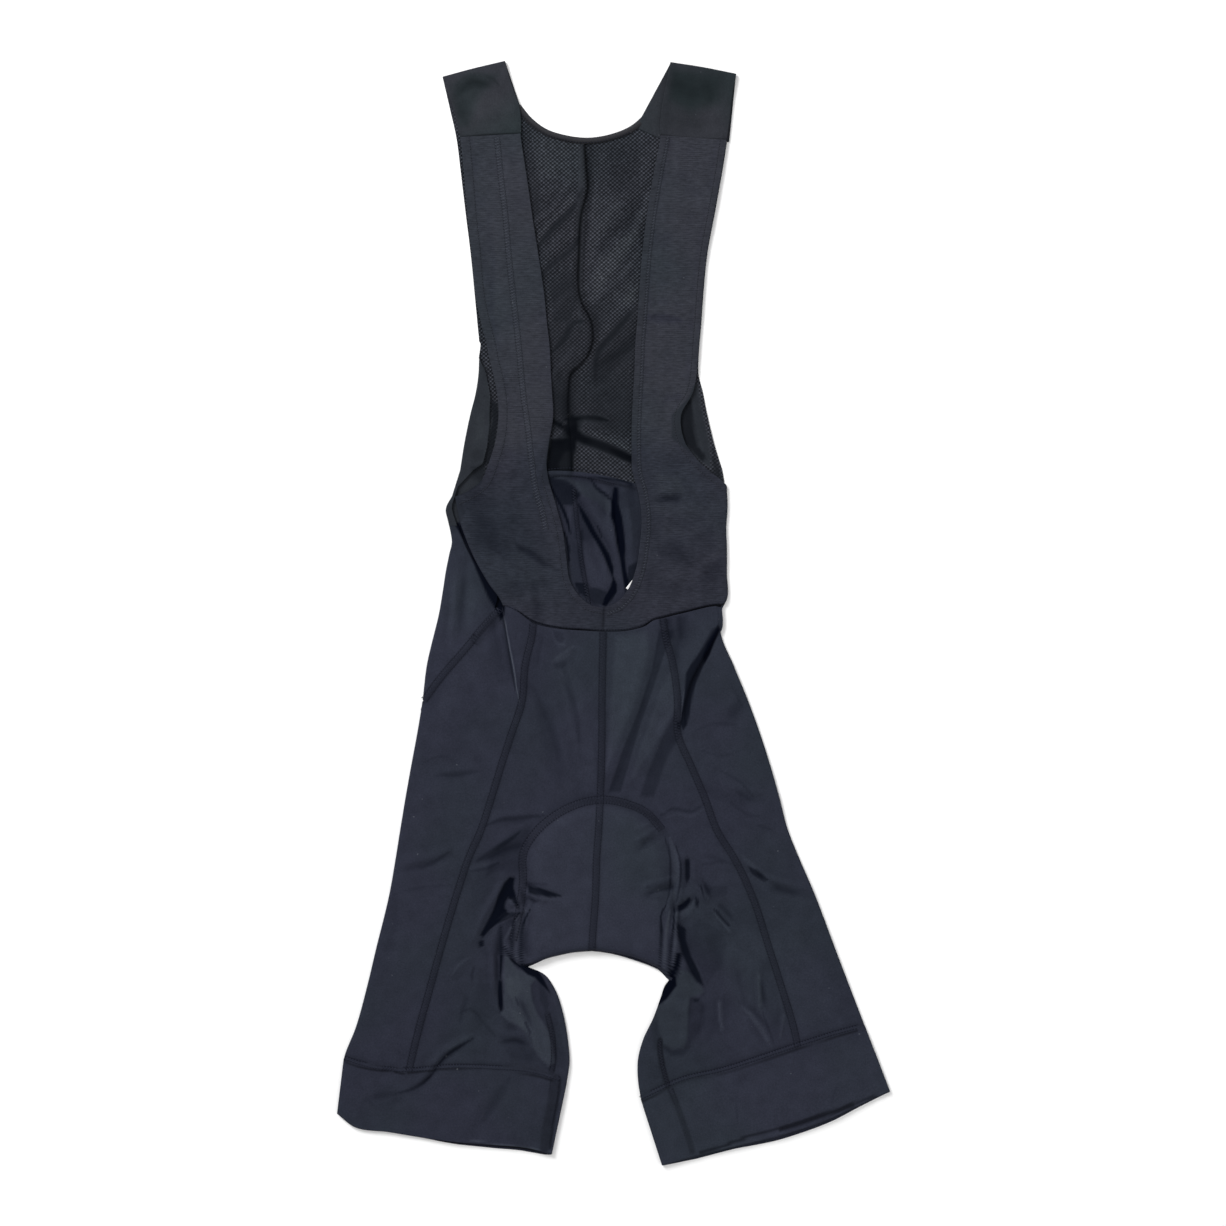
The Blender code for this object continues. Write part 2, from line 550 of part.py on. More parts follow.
def make_front(name, lines, left):
    """A front panel: from the centre seam, the crotch and the inseam out to the front seam."""
    inner = joined(lines["centre"], lines["inseam"])
    seam = lines["seam"]
    table = CUFF_LEFT if left else CUFF_RIGHT
    grid = spread(inner, seam, 6, run(WAIST, inner[0, 0], seam[0, 0], 6, axis=0),
                  cuff_line(table, inner[-1, 0], seam[-1, 0], 6))
    grid = lifted(grid, height(grid))
    panel(name, grid, "lycra")
    return grid


def make_inner_leg(name, lines, left):
    """An inner leg panel: from the inseam in front, round the inner fold, to the back seam."""
    inseam, fold, back = lines["inseam"], lines["inner_fold"], lines["back"][-ROWS_LEG - 1:]
    outward = outward_of(fold, back)
    brink = fold - outward * BRINK
    over = spread(inseam, brink, 1)
    under = spread(brink, back, 3)
    grid = np.concatenate((lifted(over, height(over)), half_turn(fold, outward), lifted(under, LOWER)), axis=1)
    panel(name, grid, "lycra")
    return grid, fold[0] + outward[0] * SEAM_GAP


def make_cuff(name, table, side, inner_leg, front):
    """A cuff: a flattened tube that starts where the leg's panels end, all round."""
    ring = np.concatenate((side[-1], inner_leg[-1][::-1][1:], front[-1][1:-1]))
    rows = np.array(table)
    outer, inner = ring[np.argmin(ring[:, 0])], ring[np.argmax(ring[:, 0])]
    if rows[0, 0] > rows[-1, 0]:
        outer, inner = inner, outer
    share = (ring[:, 0] - outer[0]) / (inner[0] - outer[0])
    hem = rounded(rows[:, 2:], FINE * len(rows))
    where = np.linspace(0.0, 1.0, len(hem))
    ends = np.array([np.interp(share, where, hem[:, k]) for k in (0, 1)]).T
    ends[:, 1] -= BACK_HEM_DROP * (ring[:, 2] < (UPPER + LOWER) / 2)
    ends = np.column_stack((ends, ring[:, 2]))
    shares = np.linspace(0.0, 1.0, CUFF_ROWS + 1)[:, None, None]
    panel(name, (1 - shares) * ring + shares * ends, "lycra", ring=True)


def make_bib_left(lines, front, side):
    """The left brace and half of the bib, down to the waist seam, its side edge folded under."""
    inner = joined(torso("in_left", 430.5, 151.0, 7), rounded(BRACE_END_LEFT, 6), rounded(((-8.0, 5.0), (-9.0, -17.0)), 2))
    arm = joined(torso("out_left", 427.5, 151.0, 7), rounded(ARMHOLE_LEFT, 3))
    edge = np.concatenate((arm, lines["pleat"][1:BIB_SIDE_ROWS + 1]))
    edge_out = unit(edge - inner)
    edge_out[len(arm):] = lines["pleat_out"]
    depth = np.concatenate((np.zeros(len(arm)), lines["depth"][1:BIB_SIDE_ROWS + 1]))
    probe = pleated(edge, edge_out, depth, np.zeros(len(edge)), np.zeros(len(edge)), HALF_SHARES)
    near = probe[:, 0, :2]
    fold = pleated(edge, edge_out, depth, height(near), np.full(len(edge), UPPER), HALF_SHARES)
    waist = joined(front[0, :, :2], side[0, :3, :2])
    grid = spread(inner, near, len(waist) - 1, bottom=waist)
    panel("bib_left", np.concatenate((lifted(grid, height(grid)), fold[:, 1:]), axis=1), "rib")


def make_bib_right(front, side):
    """The right brace and half of the bib, wrapped round the side fold to its seam on the back."""
    inner = joined(torso("in_right", 429.0, 151.0, 7), rounded(BRACE_END_RIGHT, 6), rounded(((-8.0, 5.0), (-9.0, -17.0)), 2))
    arm = joined(torso("out_right", 425.0, 151.0, 7), rounded(ARMHOLE_RIGHT, 3))
    fold = np.concatenate((arm, run(WAIST_SIDE_RIGHT, 114.0, 7.0, BIB_SIDE_ROWS)[1:]))
    back = np.concatenate((arm, run(BIB_BACK_RIGHT, 114.0, 1.0, BIB_SIDE_ROWS)[1:]))
    flat = np.arange(len(fold)) < len(arm)
    outward = unit(fold - np.where(flat[:, None], inner, back))
    tip = len(arm) - 1
    brink = fold - outward * np.where(np.arange(len(fold)) < tip, FRONT_TAIL, BRINK)[:, None]
    width = np.where(flat, FRONT_TAIL, np.pi * FOLD_RADIUS + np.linalg.norm(brink - back, axis=1))
    turn = np.where(flat, 0.0, 1.0)
    turn[tip] = CROSSING
    width[tip] = np.pi * FOLD_RADIUS * CROSSING
    turned = curl(brink, outward, UPPER, turn, width, 6, down=True)
    waist = np.concatenate((front[0, :, :2], side[0, 1:3, :2], brink[-1:]))
    grid = spread(inner, brink, len(waist) - 1, bottom=waist)
    panel("bib_right", np.concatenate((lifted(grid, height(grid)), turned), axis=1), "rib")


def make_seat_left(lines, crotch_corner):
    """The left seat: from the centre back seam out, round the side fold to the front above the hip."""
    upper_edge = rounded(SEAT_FRONT_LEFT, SEAT_TOP_ROWS)
    turned_rows = SEAT_TOP_ROWS + ROWS_PLEAT
    edge = joined(upper_edge, lines["back"][:-ROWS_LEG])
    rows = len(edge)
    outline = np.concatenate((WAIST_SIDE_LEFT[:-1], column(SHORTS, SHORTS_COLUMNS, "side_left")))
    in_front = np.arange(rows) <= turned_rows
    fold = np.where(in_front[:, None], np.column_stack((at(outline, edge[:, 1]), edge[:, 1])), edge)
    brink = fold - LEFTWARD * np.where(in_front, BRINK, FRONT_TAIL)[:, None]
    turn = np.where(in_front, 1.0, 0.0)
    width = np.where(in_front, np.pi * FOLD_RADIUS + np.linalg.norm(brink - edge, axis=1), FRONT_TAIL)
    turn[turned_rows] = CROSSING
    width[turned_rows] = np.pi * FOLD_RADIUS * CROSSING
    curled = curl(brink, np.tile(LEFTWARD, (rows, 1)), LOWER, turn, width, 7)[:, ::-1]
    centre = rounded(SEAT_CENTRE, rows - 1)
    top = run(BACK_WAIST, brink[0, 0], centre[0, 0], 5, axis=0)
    crotch = joined(rounded((brink[-1], crotch_corner), 3), rounded((crotch_corner, *CROTCH[1:4]), 2))
    flat = spread(brink, centre, 5, top, crotch)
    panel("seat_left", np.concatenate((curled, lifted(flat, LOWER)), axis=1), "lycra")


def make_seat_right(lines, crotch_corner):
    """The right seat: from the centre back seam out to the bib's back edge and the back seam."""
    edge = joined(rounded(SEAT_SIDE_RIGHT, SEAT_TOP_ROWS), lines["back"][:-ROWS_LEG])
    centre = rounded(SEAT_CENTRE, len(edge) - 1)
    top = run(BACK_WAIST, centre[0, 0], edge[0, 0], 5, axis=0)
    crotch = joined(rounded((*CROTCH[3:7], crotch_corner), 2), rounded((crotch_corner, edge[-1]), 3))
    panel("seat_right", lifted(spread(centre, edge, 5, top, crotch), LOWER), "lycra")


def make_neck_binding():
    """The binding of the back neck: a band along the mesh's neck edge, lying on it."""
    edge = rounded(NECK, 12)
    inwards = -outward_of(edge, edge + (0.0, -20.0))
    band = edge[:, None] + inwards[:, None] * np.array((0.6, 6.4))[None, :, None]
    panel("neck_binding", lifted(band, LOWER + CLOTH + SEAM_GAP), "rib")


def lowest_above(grids, xy):
    """How low the middle surfaces of the panels above come within a few millimetres of each point."""
    points, faces = [], []
    for grid in grids:
        faces += grid_faces(*grid.shape[:2], start=len(points))
        points += grid.reshape(-1, 3).tolist()
    above = BVHTree.FromPolygons(points, faces)
    level = np.full(xy.shape[:2], np.inf)
    for dx, dy in ((0, 0), (PROBE, 0), (-PROBE, 0), (0, PROBE), (0, -PROBE)):
        for where in np.ndindex(level.shape):
            hit = above.ray_cast((xy[where][0] + dx, xy[where][1] + dy, 0.0), (0.0, 0.0, 1.0))[0]
            if hit is not None:
                level[where] = min(level[where], hit.z)
    return level


def make_pad(fronts):
    """The foam seat pad between the two layers, with an arched top edge, cut off square at the crotch."""
    down = np.linspace(0.0, 1.0, 11)[:, None]
    across = np.linspace(-1.0, 1.0, 9)[None, :]
    y = PAD_TOP + (PAD_END - PAD_TOP) * down ** 1.5 + 0 * across
    half = PAD_HALF * np.sqrt(1 - np.clip((y - PAD_WAIST) / (PAD_TOP + 6.0 - PAD_WAIST), 0, 1) ** 2)
    x = PAD_MIDDLE + across * half
    y = y - 0.0042 * (x - PAD_MIDDLE) ** 2 * ease(down)
    xy = np.stack((x, y), axis=2)
    floor = LOWER + CLOTH / 2 + SEAM_GAP
    ceiling = lowest_above(fronts, xy) - CLOTH / 2 - SEAM_GAP
    slab("seat_pad", lifted(xy, floor), lifted(xy, np.maximum(ceiling, floor + PAD_EDGE)), "foam")


def make_label():
    """The small satin care label, sewn inside the seat under the right edge of the bib's opening."""
    turned = np.radians(LABEL_TURN)
    u, v = np.meshgrid((-0.5, 0.5), (-0.5, 0.0, 0.5))
    x = LABEL_CENTRE[0] + LABEL_SIZE[0] * u * np.cos(turned) - LABEL_SIZE[1] * v * np.sin(turned)
    y = LABEL_CENTRE[1] + LABEL_SIZE[0] * u * np.sin(turned) + LABEL_SIZE[1] * v * np.cos(turned)
    panel("care_label", lifted(np.stack((x, y), axis=2), LABEL_LEVEL), "satin", thickness=LABEL_WALL)


# ---------------------------------------------------------------- the garment

for thing in list(bpy.data.objects):
    bpy.data.objects.remove(thing, do_unlink=True)

garment = bpy.data.collections.new("cycling_bib_shorts")
bpy.context.scene.collection.children.link(garment)

left, right = leg_lines(True), leg_lines(False)
side_left, side_right = make_side("side_left", left, True), make_side("side_right", right, False)
front_left, front_right = make_front("front_left", left, True), make_front("front_right", right, False)
inner_left, corner_left = make_inner_leg("inner_leg_left", left, True)
inner_right, corner_right = make_inner_leg("inner_leg_right", right, False)
make_seat_left(left, corner_left)
make_seat_right(right, corner_right)
make_cuff("cuff_left", CUFF_LEFT, side_left, inner_left, front_left)
make_cuff("cuff_right", CUFF_RIGHT, side_right, inner_right, front_right)
make_bib_left(left, front_left, side_left)
make_bib_right(front_right, side_right)
back_seam = torso("back_seam", 426.5, 127.0, 12)
make_back_left(back_seam)
make_back_right(back_seam)
make_yoke("yoke_left", YOKE_SEAM_LEFT, ((-153, 482.5), (-127, 489.5), (-97.5, 496.5)), ((-146.5, 454.5), (-84, 456.5)),
          ((-142, 450),), ((-83, 443.5), (-84.5, 456.5), (-89, 468)))
make_yoke("yoke_right", YOKE_SEAM_RIGHT, ((52, 495.5), (83.5, 490.5), (110.5, 485)), ((34, 454.5), (105, 454.5)),
          ((43, 443.5), (44.5, 455.5), (47, 469)), ((104.5, 443.5), (107, 465.5)))
make_neck_binding()
make_pad((front_left, front_right))
make_label()
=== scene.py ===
"""Cycling bib shorts laid flat on their back: the cloth, its seams and folds, their materials, the floor and the light.

Every table is in millimetres, +X to the right, +Y towards the shoulders and +Z up, and meshes are made in metres.
The line or outline that ends a row of a table is written x, y, x, y and so on.
"""

import math

import bpy
import numpy as np
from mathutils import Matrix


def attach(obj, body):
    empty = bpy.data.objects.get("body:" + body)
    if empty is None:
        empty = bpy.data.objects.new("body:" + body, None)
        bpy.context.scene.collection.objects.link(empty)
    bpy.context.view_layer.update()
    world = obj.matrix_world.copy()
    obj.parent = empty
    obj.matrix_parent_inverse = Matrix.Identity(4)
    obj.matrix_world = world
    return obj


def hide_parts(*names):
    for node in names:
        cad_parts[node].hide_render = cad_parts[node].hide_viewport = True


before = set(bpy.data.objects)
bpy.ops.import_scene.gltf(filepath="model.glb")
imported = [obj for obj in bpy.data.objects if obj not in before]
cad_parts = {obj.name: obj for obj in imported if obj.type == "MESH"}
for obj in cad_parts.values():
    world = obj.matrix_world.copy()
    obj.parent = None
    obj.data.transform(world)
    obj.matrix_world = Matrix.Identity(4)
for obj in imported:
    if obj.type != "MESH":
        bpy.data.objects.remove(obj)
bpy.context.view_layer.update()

# ---------------------------------------------------------------- the mesh upper back
# Two panels of open honeycomb knit, sewn together down the middle of the back. They hang loose
# between the braces, so they lie in slanting folds, and the seam between them wanders. Outside
# the left brace the armhole's edge is turned over to the front.

MM = 0.001
LOWER, UPPER = 0.5, 3.2          # heights of the middle of the lower and the upper layer
TURN_RADIUS = (UPPER - LOWER) / 2
BRINK = TURN_RADIUS + 0.5        # from a fold's outer face to where its cloth lies flat
WALL = 0.9                       # thickness of the cloth
LOFT = 0.35                      # how far the mesh, which hangs loose, stands off the ground
TURNED_OVER = 0.9                # share of half a turn past which cloth goes on flat
BENDS = 8                        # columns of points round a fold
LEFTWARD = np.array((-1.0, 0.0))

# The braces, their armholes and the mesh back behind them, one row for each level.
TORSO_COLUMNS = ("y", "back_left", "out_left", "in_left", "back_seam", "in_right", "out_right", "back_right")
TORSO = (
    (454.5, -146.5, -144.0, -84.5, -25.0, 44.5, 105.5, 105.0),
    (427.5, -140.5, -137.0, -83.0, -25.5, 43.0, 102.0, 102.5),
    (400.5, -137.0, -134.0, -79.0, -24.0, 38.0, 98.0, 98.5),
    (383.5, -135.0, -132.5, -76.5, -22.5, 35.0, 95.0, 95.5),
    (358.5, -132.0, -130.5, -73.0, -28.5, 31.0, 90.5, 91.0),
    (326.5, -128.0, -127.0, -68.0, -30.5, 27.0, 84.5, 85.0),
    (281.5, -123.5, -122.5, -61.5, -29.0, 23.5, 80.0, 80.5),
    (260.0, -121.5, -118.0, -59.5, -19.0, 22.0, 78.5, 79.0),
    (243.0, -120.0, -113.5, -57.5, -18.5, 20.5, 77.0, 77.5),
    (227.7, -120.5, -110.5, -56.5, -25.0, 20.0, 76.0, 76.5),
    (215.5, -121.0, -107.5, -56.0, -37.5, 19.5, 75.0, 76.5),
    (198.0, -123.5, -104.0, -55.0, -40.0, 18.5, 71.5, 80.5),
    (178.0, -128.5, -102.5, -54.0, -40.0, 17.5, 61.0, 84.5),
    (151.0, -134.0, -106.0, -58.0, -37.5, 17.0, 65.5, 91.0),
    (128.5, -137.5, -113.5, -60.0, -37.0, 18.0, 85.5, 98.0),
)
NECK = ((-84, 456.5), (-75, 445.5), (-60.5, 434.5), (-44, 429), (-21.5, 426.5), (-2.5, 429.5), (17, 437.5), (34, 454.5))
BACK_WAIST = ((-146.5, 78.5), (-101.5, 101.5), (-61, 127), (-37, 127), (-6.5, 123), (17, 117), (60.5, 108), (96, 99))
WAIST_SIDE_LEFT = ((-145, 105), (-150.5, 93), (-148.5, 83), (-146, 72), (-145, 64), (-147.5, 52), (-150.5, 37),
                   (-153, 20.5), (-157.5, -5))

# How far the left mesh back is turned over to the front at its armhole, from its fold to its hem.
HEM_LEFT = ((245, 1.0), (229.5, 3.0), (209, 8.5), (195.5, 13.5), (168.5, 19.5), (149.5, 21.0), (134, 19.5),
            (128.5, 12.0), (113.5, 2.5), (104.5, 2.5), (92, 6.0), (78.5, 7.0))

# The folds of the lower layer: height, width to the left and to the right of the line, strength at its two ends, line.
MESH_FOLDS = (
    (1.9, 2.2, 5, 1, 0, -69.5, 352, -55, 362.5, -42.5, 380.5, -37, 398.5),
    (-0.6, 3.6, 2.2, 1, 0.2, -68.5, 342, -51.5, 356.5, -38.5, 376),
    (1.9, 2.9, 5.8, 0.9, 0.2, -65, 316, -51.5, 332, -34, 350),
    (-0.6, 3.6, 2.5, 1, 0.2, -64, 307, -47.5, 326, -32.5, 341),
    (1.6, 3.6, 5.8, 0.6, 0.3, -59.5, 262, -46, 279, -31.5, 292.5),
    (1.9, 6.5, 3.6, 0.4, 0.9, -21.5, 330.5, -9, 346.5, 8, 366.5, 24.5, 380.5),
    (2, 2.9, 6.5, 0.4, 1, 4.5, 319.5, 17, 335.5, 24.5, 352, 33.5, 375.5),
    (-0.6, 2.9, 2.9, 0.4, 1, 10, 316, 20.5, 330.5, 29, 348.5),
    (2.4, 3.6, 6.5, 0.5, 0.8, -22.5, 222.5, -8, 235, 7, 254, 23.5, 272),
    (1.4, 4.3, 5.8, 0.3, 0.8, -32.5, 190, -11.5, 199, 6.5, 217, 20.5, 235),
    (1.9, 2.9, 5.8, 0.3, 0.7, -57.5, 208, -47.5, 220.5, -35, 235),
    (2.8, 2.9, 7.2, 0.5, 1, -25, 170, -8, 164.5, 6.5, 155.5, 18, 146.5),
    (-0.6, 2.9, 2.2, 0.5, 1, -20.5, 155.5, -2.5, 150.5, 18, 134),
    (1.9, 2.2, 4.3, 0.2, 0.6, -54, 150.5, -46, 161, -35, 170),
    (1.5, 5.8, 5.8, 0, 0, -13.5, 416.5, -15.5, 371.5, -19, 335.5),
    (1.2, 4.3, 5.8, 0.5, 0, -75.5, 416.5, -61, 407.5, -47.5, 389.5),
    (1.2, 5.8, 4.3, 0, 0.5, -11.5, 281.5, -1, 290.5, 11, 299.5, 22.5, 316),
)

# The dark hollows of the lower layer, where the cloth is in deep shade: strength, half width, line.
MESH_SHADES = (
    (0.28, 5.4, -82, 436, -75, 401, -70, 377, -70, 349),
    (0.25, 3.5, 24, 349, 29, 318, 24, 278),
    (0.41, 3.1, -70, 326, -55, 345, -35, 366, -28, 381),
    (0.37, 3, -67, 299, -55, 313, -35, 330, -30, 339),
    (0.14, 3, -64, 284, -51, 300, -35, 313),
    (0.31, 3.2, -55, 234, -43, 248, -34, 262, -26, 262),
    (0.28, 3.5, -18, 318, -3, 341, 14, 355, 28, 368),
    (0.31, 3.5, -18, 274, 1, 292, 16, 306, 25, 322),
    (0.38, 3.5, -17, 210, -14, 233, 1, 252, 22, 276),
    (0.12, 3.5, -15, 221, 1, 231, 22, 242),
    (0.78, 4.8, -55, 173, -39, 164, -27, 156, -12, 151, 4, 144, 24, 134, 50, 122),
    (-0.25, 2.6, -32, 166, -21, 163, -9, 158, 4, 153, 19, 143),
    (0.45, 2.4, -46, 173, -34, 175, -21, 176, -3, 173),
    (0.5, 3.4, -36, 179, -36, 168, -34, 156),
    (-0.3, 1.6, -39.5, 179, -43, 171, -48.5, 162),
    (0.16, 9, -51, 217, -46, 196, -42, 176),
    (0.22, 2.7, -75, 294, -59, 310, -55, 318),
    (0.22, 3, -22, 412, -21, 385, -24, 349, -26, 318),
)
# Its flat facets between the creases: lift, how much painted shade darkens it (below 0, how much a painted highlight
# lightens it), softness of its border, outline.
MESH_FACETS = (
    # slow painted shade and light over the mesh, mostly darker towards the waist
    (0, 0.15, 12, -75, 381, -27, 375, -27, 277, -75, 277),
    (0, 0.34, 12, -75, 268, -26, 268, -26, 156, -75, 156),
    (0, -0.14, 8, -21, 375, 29, 375, 29, 282, -21, 282),
    (0, -0.26, 8, -68, 428, -29, 428, -29, 390, -66, 390),
    (0, 0.14, 6, -66, 199, -30, 199, -30, 165, -66, 165),
    (0, 0.36, 10, -22, 274, 33, 273, 33, 161, -22, 161),
    (0, 0.08, 8, -21, 202, 29, 202, 29, 163, -21, 163),
    (-0.2, 0.3, 2.2, -55, 292, -37, 306, -31, 280, -39, 262, -54, 262),
    (0.5, -0.3, 2.6, -68, 341, -55, 357, -37, 377, -33, 371, -55, 350, -68, 334),
    (0.5, -0.28, 2.6, -67, 310, -51, 328, -33, 347, -33, 341, -51, 324, -65, 308),
    (0.6, -0.14, 3, -18, 302, -3, 334, 24, 357, 26, 345, 12, 322, -3, 302, -18, 282),
    (0.5, -0.28, 3, -18, 242, -3, 270, 21, 294, 20, 280, 1, 258, -15, 238),
    (-0.2, 0.3, 2.2, -12, 326, 1, 341, 24, 357, 24, 349, 4, 334, -7, 318),
    (0.6, -0.34, 1.6, -35, 211.5, -24, 230, -15.5, 242.5, -16, 233.5, -25.5, 218.5),
    (-0.3, 0.1, 2.4, -15, 225, 1, 238, 21, 254, 21, 230, 1, 217, -17, 207),
    (0.3, 0, 3, -23, 199, 20, 214, 20, 179, -15, 179),
    (-0.3, 0.1, 1.8, -32.5, 164, -11.5, 155.5, 4.5, 149.5, 18, 145, 18, 136, 2.5, 140, -11.5, 144, -32.5, 148.5),
    (0, 0.25, 2, -42, 175, -29, 175, -28, 156, -43, 156),
    (-0.3, 0.25, 1.8, -2.5, 147.5, 8, 145, 20.5, 139.5, 20.5, 134, 8, 138.5),
    (-0.5, 0.96, 1, -56.5, 156, -32.5, 156, -33.5, 147.5, -36, 135, -38, 119.5, -65.5, 116, -61, 132.5),
    (0, -0.2, 2, -44, 144, -32, 148, -36, 133, -38, 128, -48, 128, -49, 134),
    (0, 0.3, 2, -45, 165, -32, 165, -32, 156, -53, 156),
    (0, 0.1, 2, -32, 147, -15, 145, 1, 139, 17, 130, 17, 127, -33, 129),
    (0, 0.22, 2.2, -3, 417, 24, 417, 24, 381, 12, 357, -3, 385),
    # painted shade in the hollow beside the left armhole's turned-over hem, and the right armhole's painted shadow
    (0, 0.72, 0.9, -109.5, 192, -103.5, 189, -102, 176, -104, 164.5, -109.5, 134, -116, 133.5, -112.5, 151.5, -109,
     169.5),
    (0, 0.45, 1.6, -128, 131.5, -116, 134, -111, 129, -116, 117.5, -126, 121),
    (0, 0.2, 2, -127, 145, -116, 148, -116, 139, -126, 134),
    (0, -0.15, 2, -122, 178, -116, 181, -115, 158, -124, 155),
    (0, 0.72, 1, 68, 193.5, 70.5, 191, 71.5, 177.5, 73.5, 162, 77, 149.5, 83.5, 141, 80.5, 135.5, 73, 143.5, 60.5, 157,
     55.5, 168.5, 60.5, 177.5),
    (0.3, 0.12, 1.2, 71, 191, 74.5, 202.5, 79, 186, 83.5, 168.5, 86, 152, 85.5, 141, 81.5, 147, 76.5, 157, 73.5, 169.5),
    (0, 0.6, 0.8, 89, 149.5, 91.5, 147, 92, 139.5, 100.5, 115.5, 90, 125.5),
)

# Where the cloth shows no knit pattern and takes its cool colour: the back's smooth knit facings, turned over at the
# left armhole, along the right one and on its seam's lip; the mesh's fold and pocket in deep painted shade; patches on
# the yokes; and the lit folds in the seat's opening and inside the thighs, painted as cool highlights.
PLAIN_AND_SHADED_FACETS = (
    (0, 0.8, 1.6, -42.5, 176.5, -29, 175.5, -27, 162, -11.5, 155, 4.5, 148.5, 20.5, 140.5, 20.5, 132.5, 3.5, 139.5,
     -11.5, 146, -27, 150.5, -35, 150.5),
    (0, 0.6, 1.2, -44, 177.5, -6.5, 178, -5.5, 171, -42.5, 170),
    (0, 0.9, 1.2, -40.5, 119.5, -23.5, 119.5, -2, 101, -3.5, 88, -13.5, 99, -28, 106, -33.5, 112.5),
    (0, 0.9, 1.2, -57.5, 157.5, -32.5, 157.5, -33.5, 147.5, -36, 135, -38, 116, -66.5, 114.5),
    (0, 1, 8, 53, 489, 100, 487, 98, 458, 69, 451, 50, 462),
    (0, 0.8, 6, -145, 474, -129, 485, -104, 483, -120, 465, -129, 436, -140, 436),
    (0, 1, 2, 59, -321, 68, -321, 79, -335, 81, -341, 69, -346, 68, -379, 64, -391, 50, -392, 37, -393, 33, -366, 42,
     -351, 53, -339),
    (0, 0.6, 2, -97, -305, -86, -320, -68, -328, -74, -334, -68, -360, -55, -390, -52, -404, -68, -398, -83, -373, -100,
     -361, -98, -341),
    (0, 1, 1, -121, 226.5, -116, 224.5, -112.5, 208.5, -110, 192, -109.5, 173, -112, 155, -115.5, 138, -117.5, 116,
     -148.5, 100, -151.5, 82, -155, 83.5, -155, 106.5, -140.5, 126, -127.5, 184),
    (0, 1, 1, 72.5, 205, 76.5, 206.5, 79, 186, 83.5, 168.5, 87.5, 147, 88.5, 129.5, 81.5, 134.5, 52.5, 157, 52.5, 177.5,
     68, 193.5),
    (0, 0.7, 1.2, -29.5, 424, -25, 424, -28, 335.5, -29.5, 281.5, -28, 254.5, -30.5, 254.5, -32.5, 326.5),
    (0, 1, 1, -157.5, 110.5, -139.5, 109, -132.5, 91, -141.5, 71, -155.5, 73),
)


def smooth(points, count):
    """count points evenly spaced along a smooth curve through the given ones.

    Between neighbours P and Q, t of the way across, with slopes S and T, the curve is
    (2t3 - 3t2 + 1) P + (t3 - 2t2 + t) S + (3t2 - 2t3) Q + (t3 - t2) T.
    """
    points = np.array(points, float).reshape(-1, 2) if np.ndim(points) < 2 else np.array(points, float)
    along = np.concatenate(([0.0], np.cumsum(np.linalg.norm(np.diff(points, axis=0), axis=1))))
    slope = np.gradient(points, along, axis=0)
    where = np.linspace(0.0, along[-1], 40 * len(points))
    piece = np.clip(np.searchsorted(along, where, side="right") - 1, 0, len(along) - 2)
    length = (along[piece + 1] - along[piece])[:, None]
    t = (where[:, None] - along[piece][:, None]) / length
    curve = ((2 * t**3 - 3 * t**2 + 1) * points[piece] + (t**3 - 2 * t**2 + t) * length * slope[piece]
             + (3 * t**2 - 2 * t**3) * points[piece + 1] + (t**3 - t**2) * length * slope[piece + 1])
    travelled = np.concatenate(([0.0], np.cumsum(np.linalg.norm(np.diff(curve, axis=0), axis=1))))
    stops = np.linspace(0.0, travelled[-1], count)
    return np.column_stack([np.interp(stops, travelled, curve[:, k]) for k in range(curve.shape[1])])


def joined(*runs):
    """Runs of points end to end, each starting where the one before it stops."""
    return np.concatenate([runs[0]] + [run[1:] for run in runs[1:]])


def column(table, columns, name):
    """One named column of a table against y, as (x, y) points."""
    rows = np.array(table)
    return np.column_stack((rows[:, columns.index(name)], rows[:, columns.index("y")]))


def run(points, start, end, steps, axis=1):
    """steps + 1 points along a smooth line, cut exactly at two values of y (or of x)."""
    line = smooth(points, 40 * len(points))
    line = line[np.argsort(line[:, axis])]
    low, high = min(start, end), max(start, end)
    ends = np.zeros((2, 2))
    ends[:, axis] = (low, high)
    ends[:, 1 - axis] = np.interp((low, high), line[:, axis], line[:, 1 - axis])
    inside = line[(line[:, axis] > low + 0.5) & (line[:, axis] < high - 0.5)]
    part = np.concatenate((ends[:1], inside, ends[1:]))
    return smooth(part if start <= end else part[::-1], steps + 1)


def torso(name, start, end, steps):
    """A stretch of one of the torso's lines."""
    return run(column(TORSO, TORSO_COLUMNS, name), start, end, steps)


def unit(vectors):
    """Vectors of length one."""
    return vectors / np.linalg.norm(vectors, axis=-1, keepdims=True)


def ease(t):
    """The smooth step 3t2 - 2t3 from 0 to 1."""
    t = np.clip(t, 0.0, 1.0)
    return t * t * (3 - 2 * t)


def spread(left, right, columns, top=None, bottom=None):
    """Points between two facing edges, bent to follow the lines that close them at either end.

    Each is (1 - u) left + u right, plus what the top line stands off its own chord, fading
    with the distance v from it, and the same from the bottom line.
    """
    u = np.linspace(0.0, 1.0, columns + 1)[None, :, None]
    v = np.linspace(0.0, 1.0, len(left))[:, None, None]
    grid = (1 - u) * left[:, None] + u * right[:, None]
    for line, weight in ((top, 1 - v), (bottom, v)):
        if line is not None:
            grid = grid + weight * (line - (1 - u[0]) * line[0] - u[0] * line[-1])[None]
    return grid


def from_line(points, line):
    """Of each point: its distance from a line, whether it lies to its left, and how far along it."""
    start, step = line[:-1][None], np.diff(line, axis=0)[None]
    t = np.clip(np.sum((points[:, None] - start) * step, axis=2) / np.sum(step * step, axis=2), 0, 1)
    gap = points[:, None] - start - t[..., None] * step
    distance = np.hypot(gap[..., 0], gap[..., 1])
    nearest = distance.argmin(axis=1)
    rows = np.arange(len(points))
    gap, step = gap[rows, nearest], step[0, nearest]
    left = step[:, 0] * gap[:, 1] - step[:, 1] * gap[:, 0] > 0
    return distance[rows, nearest], left, (nearest + t[rows, nearest]) / (len(line) - 1)


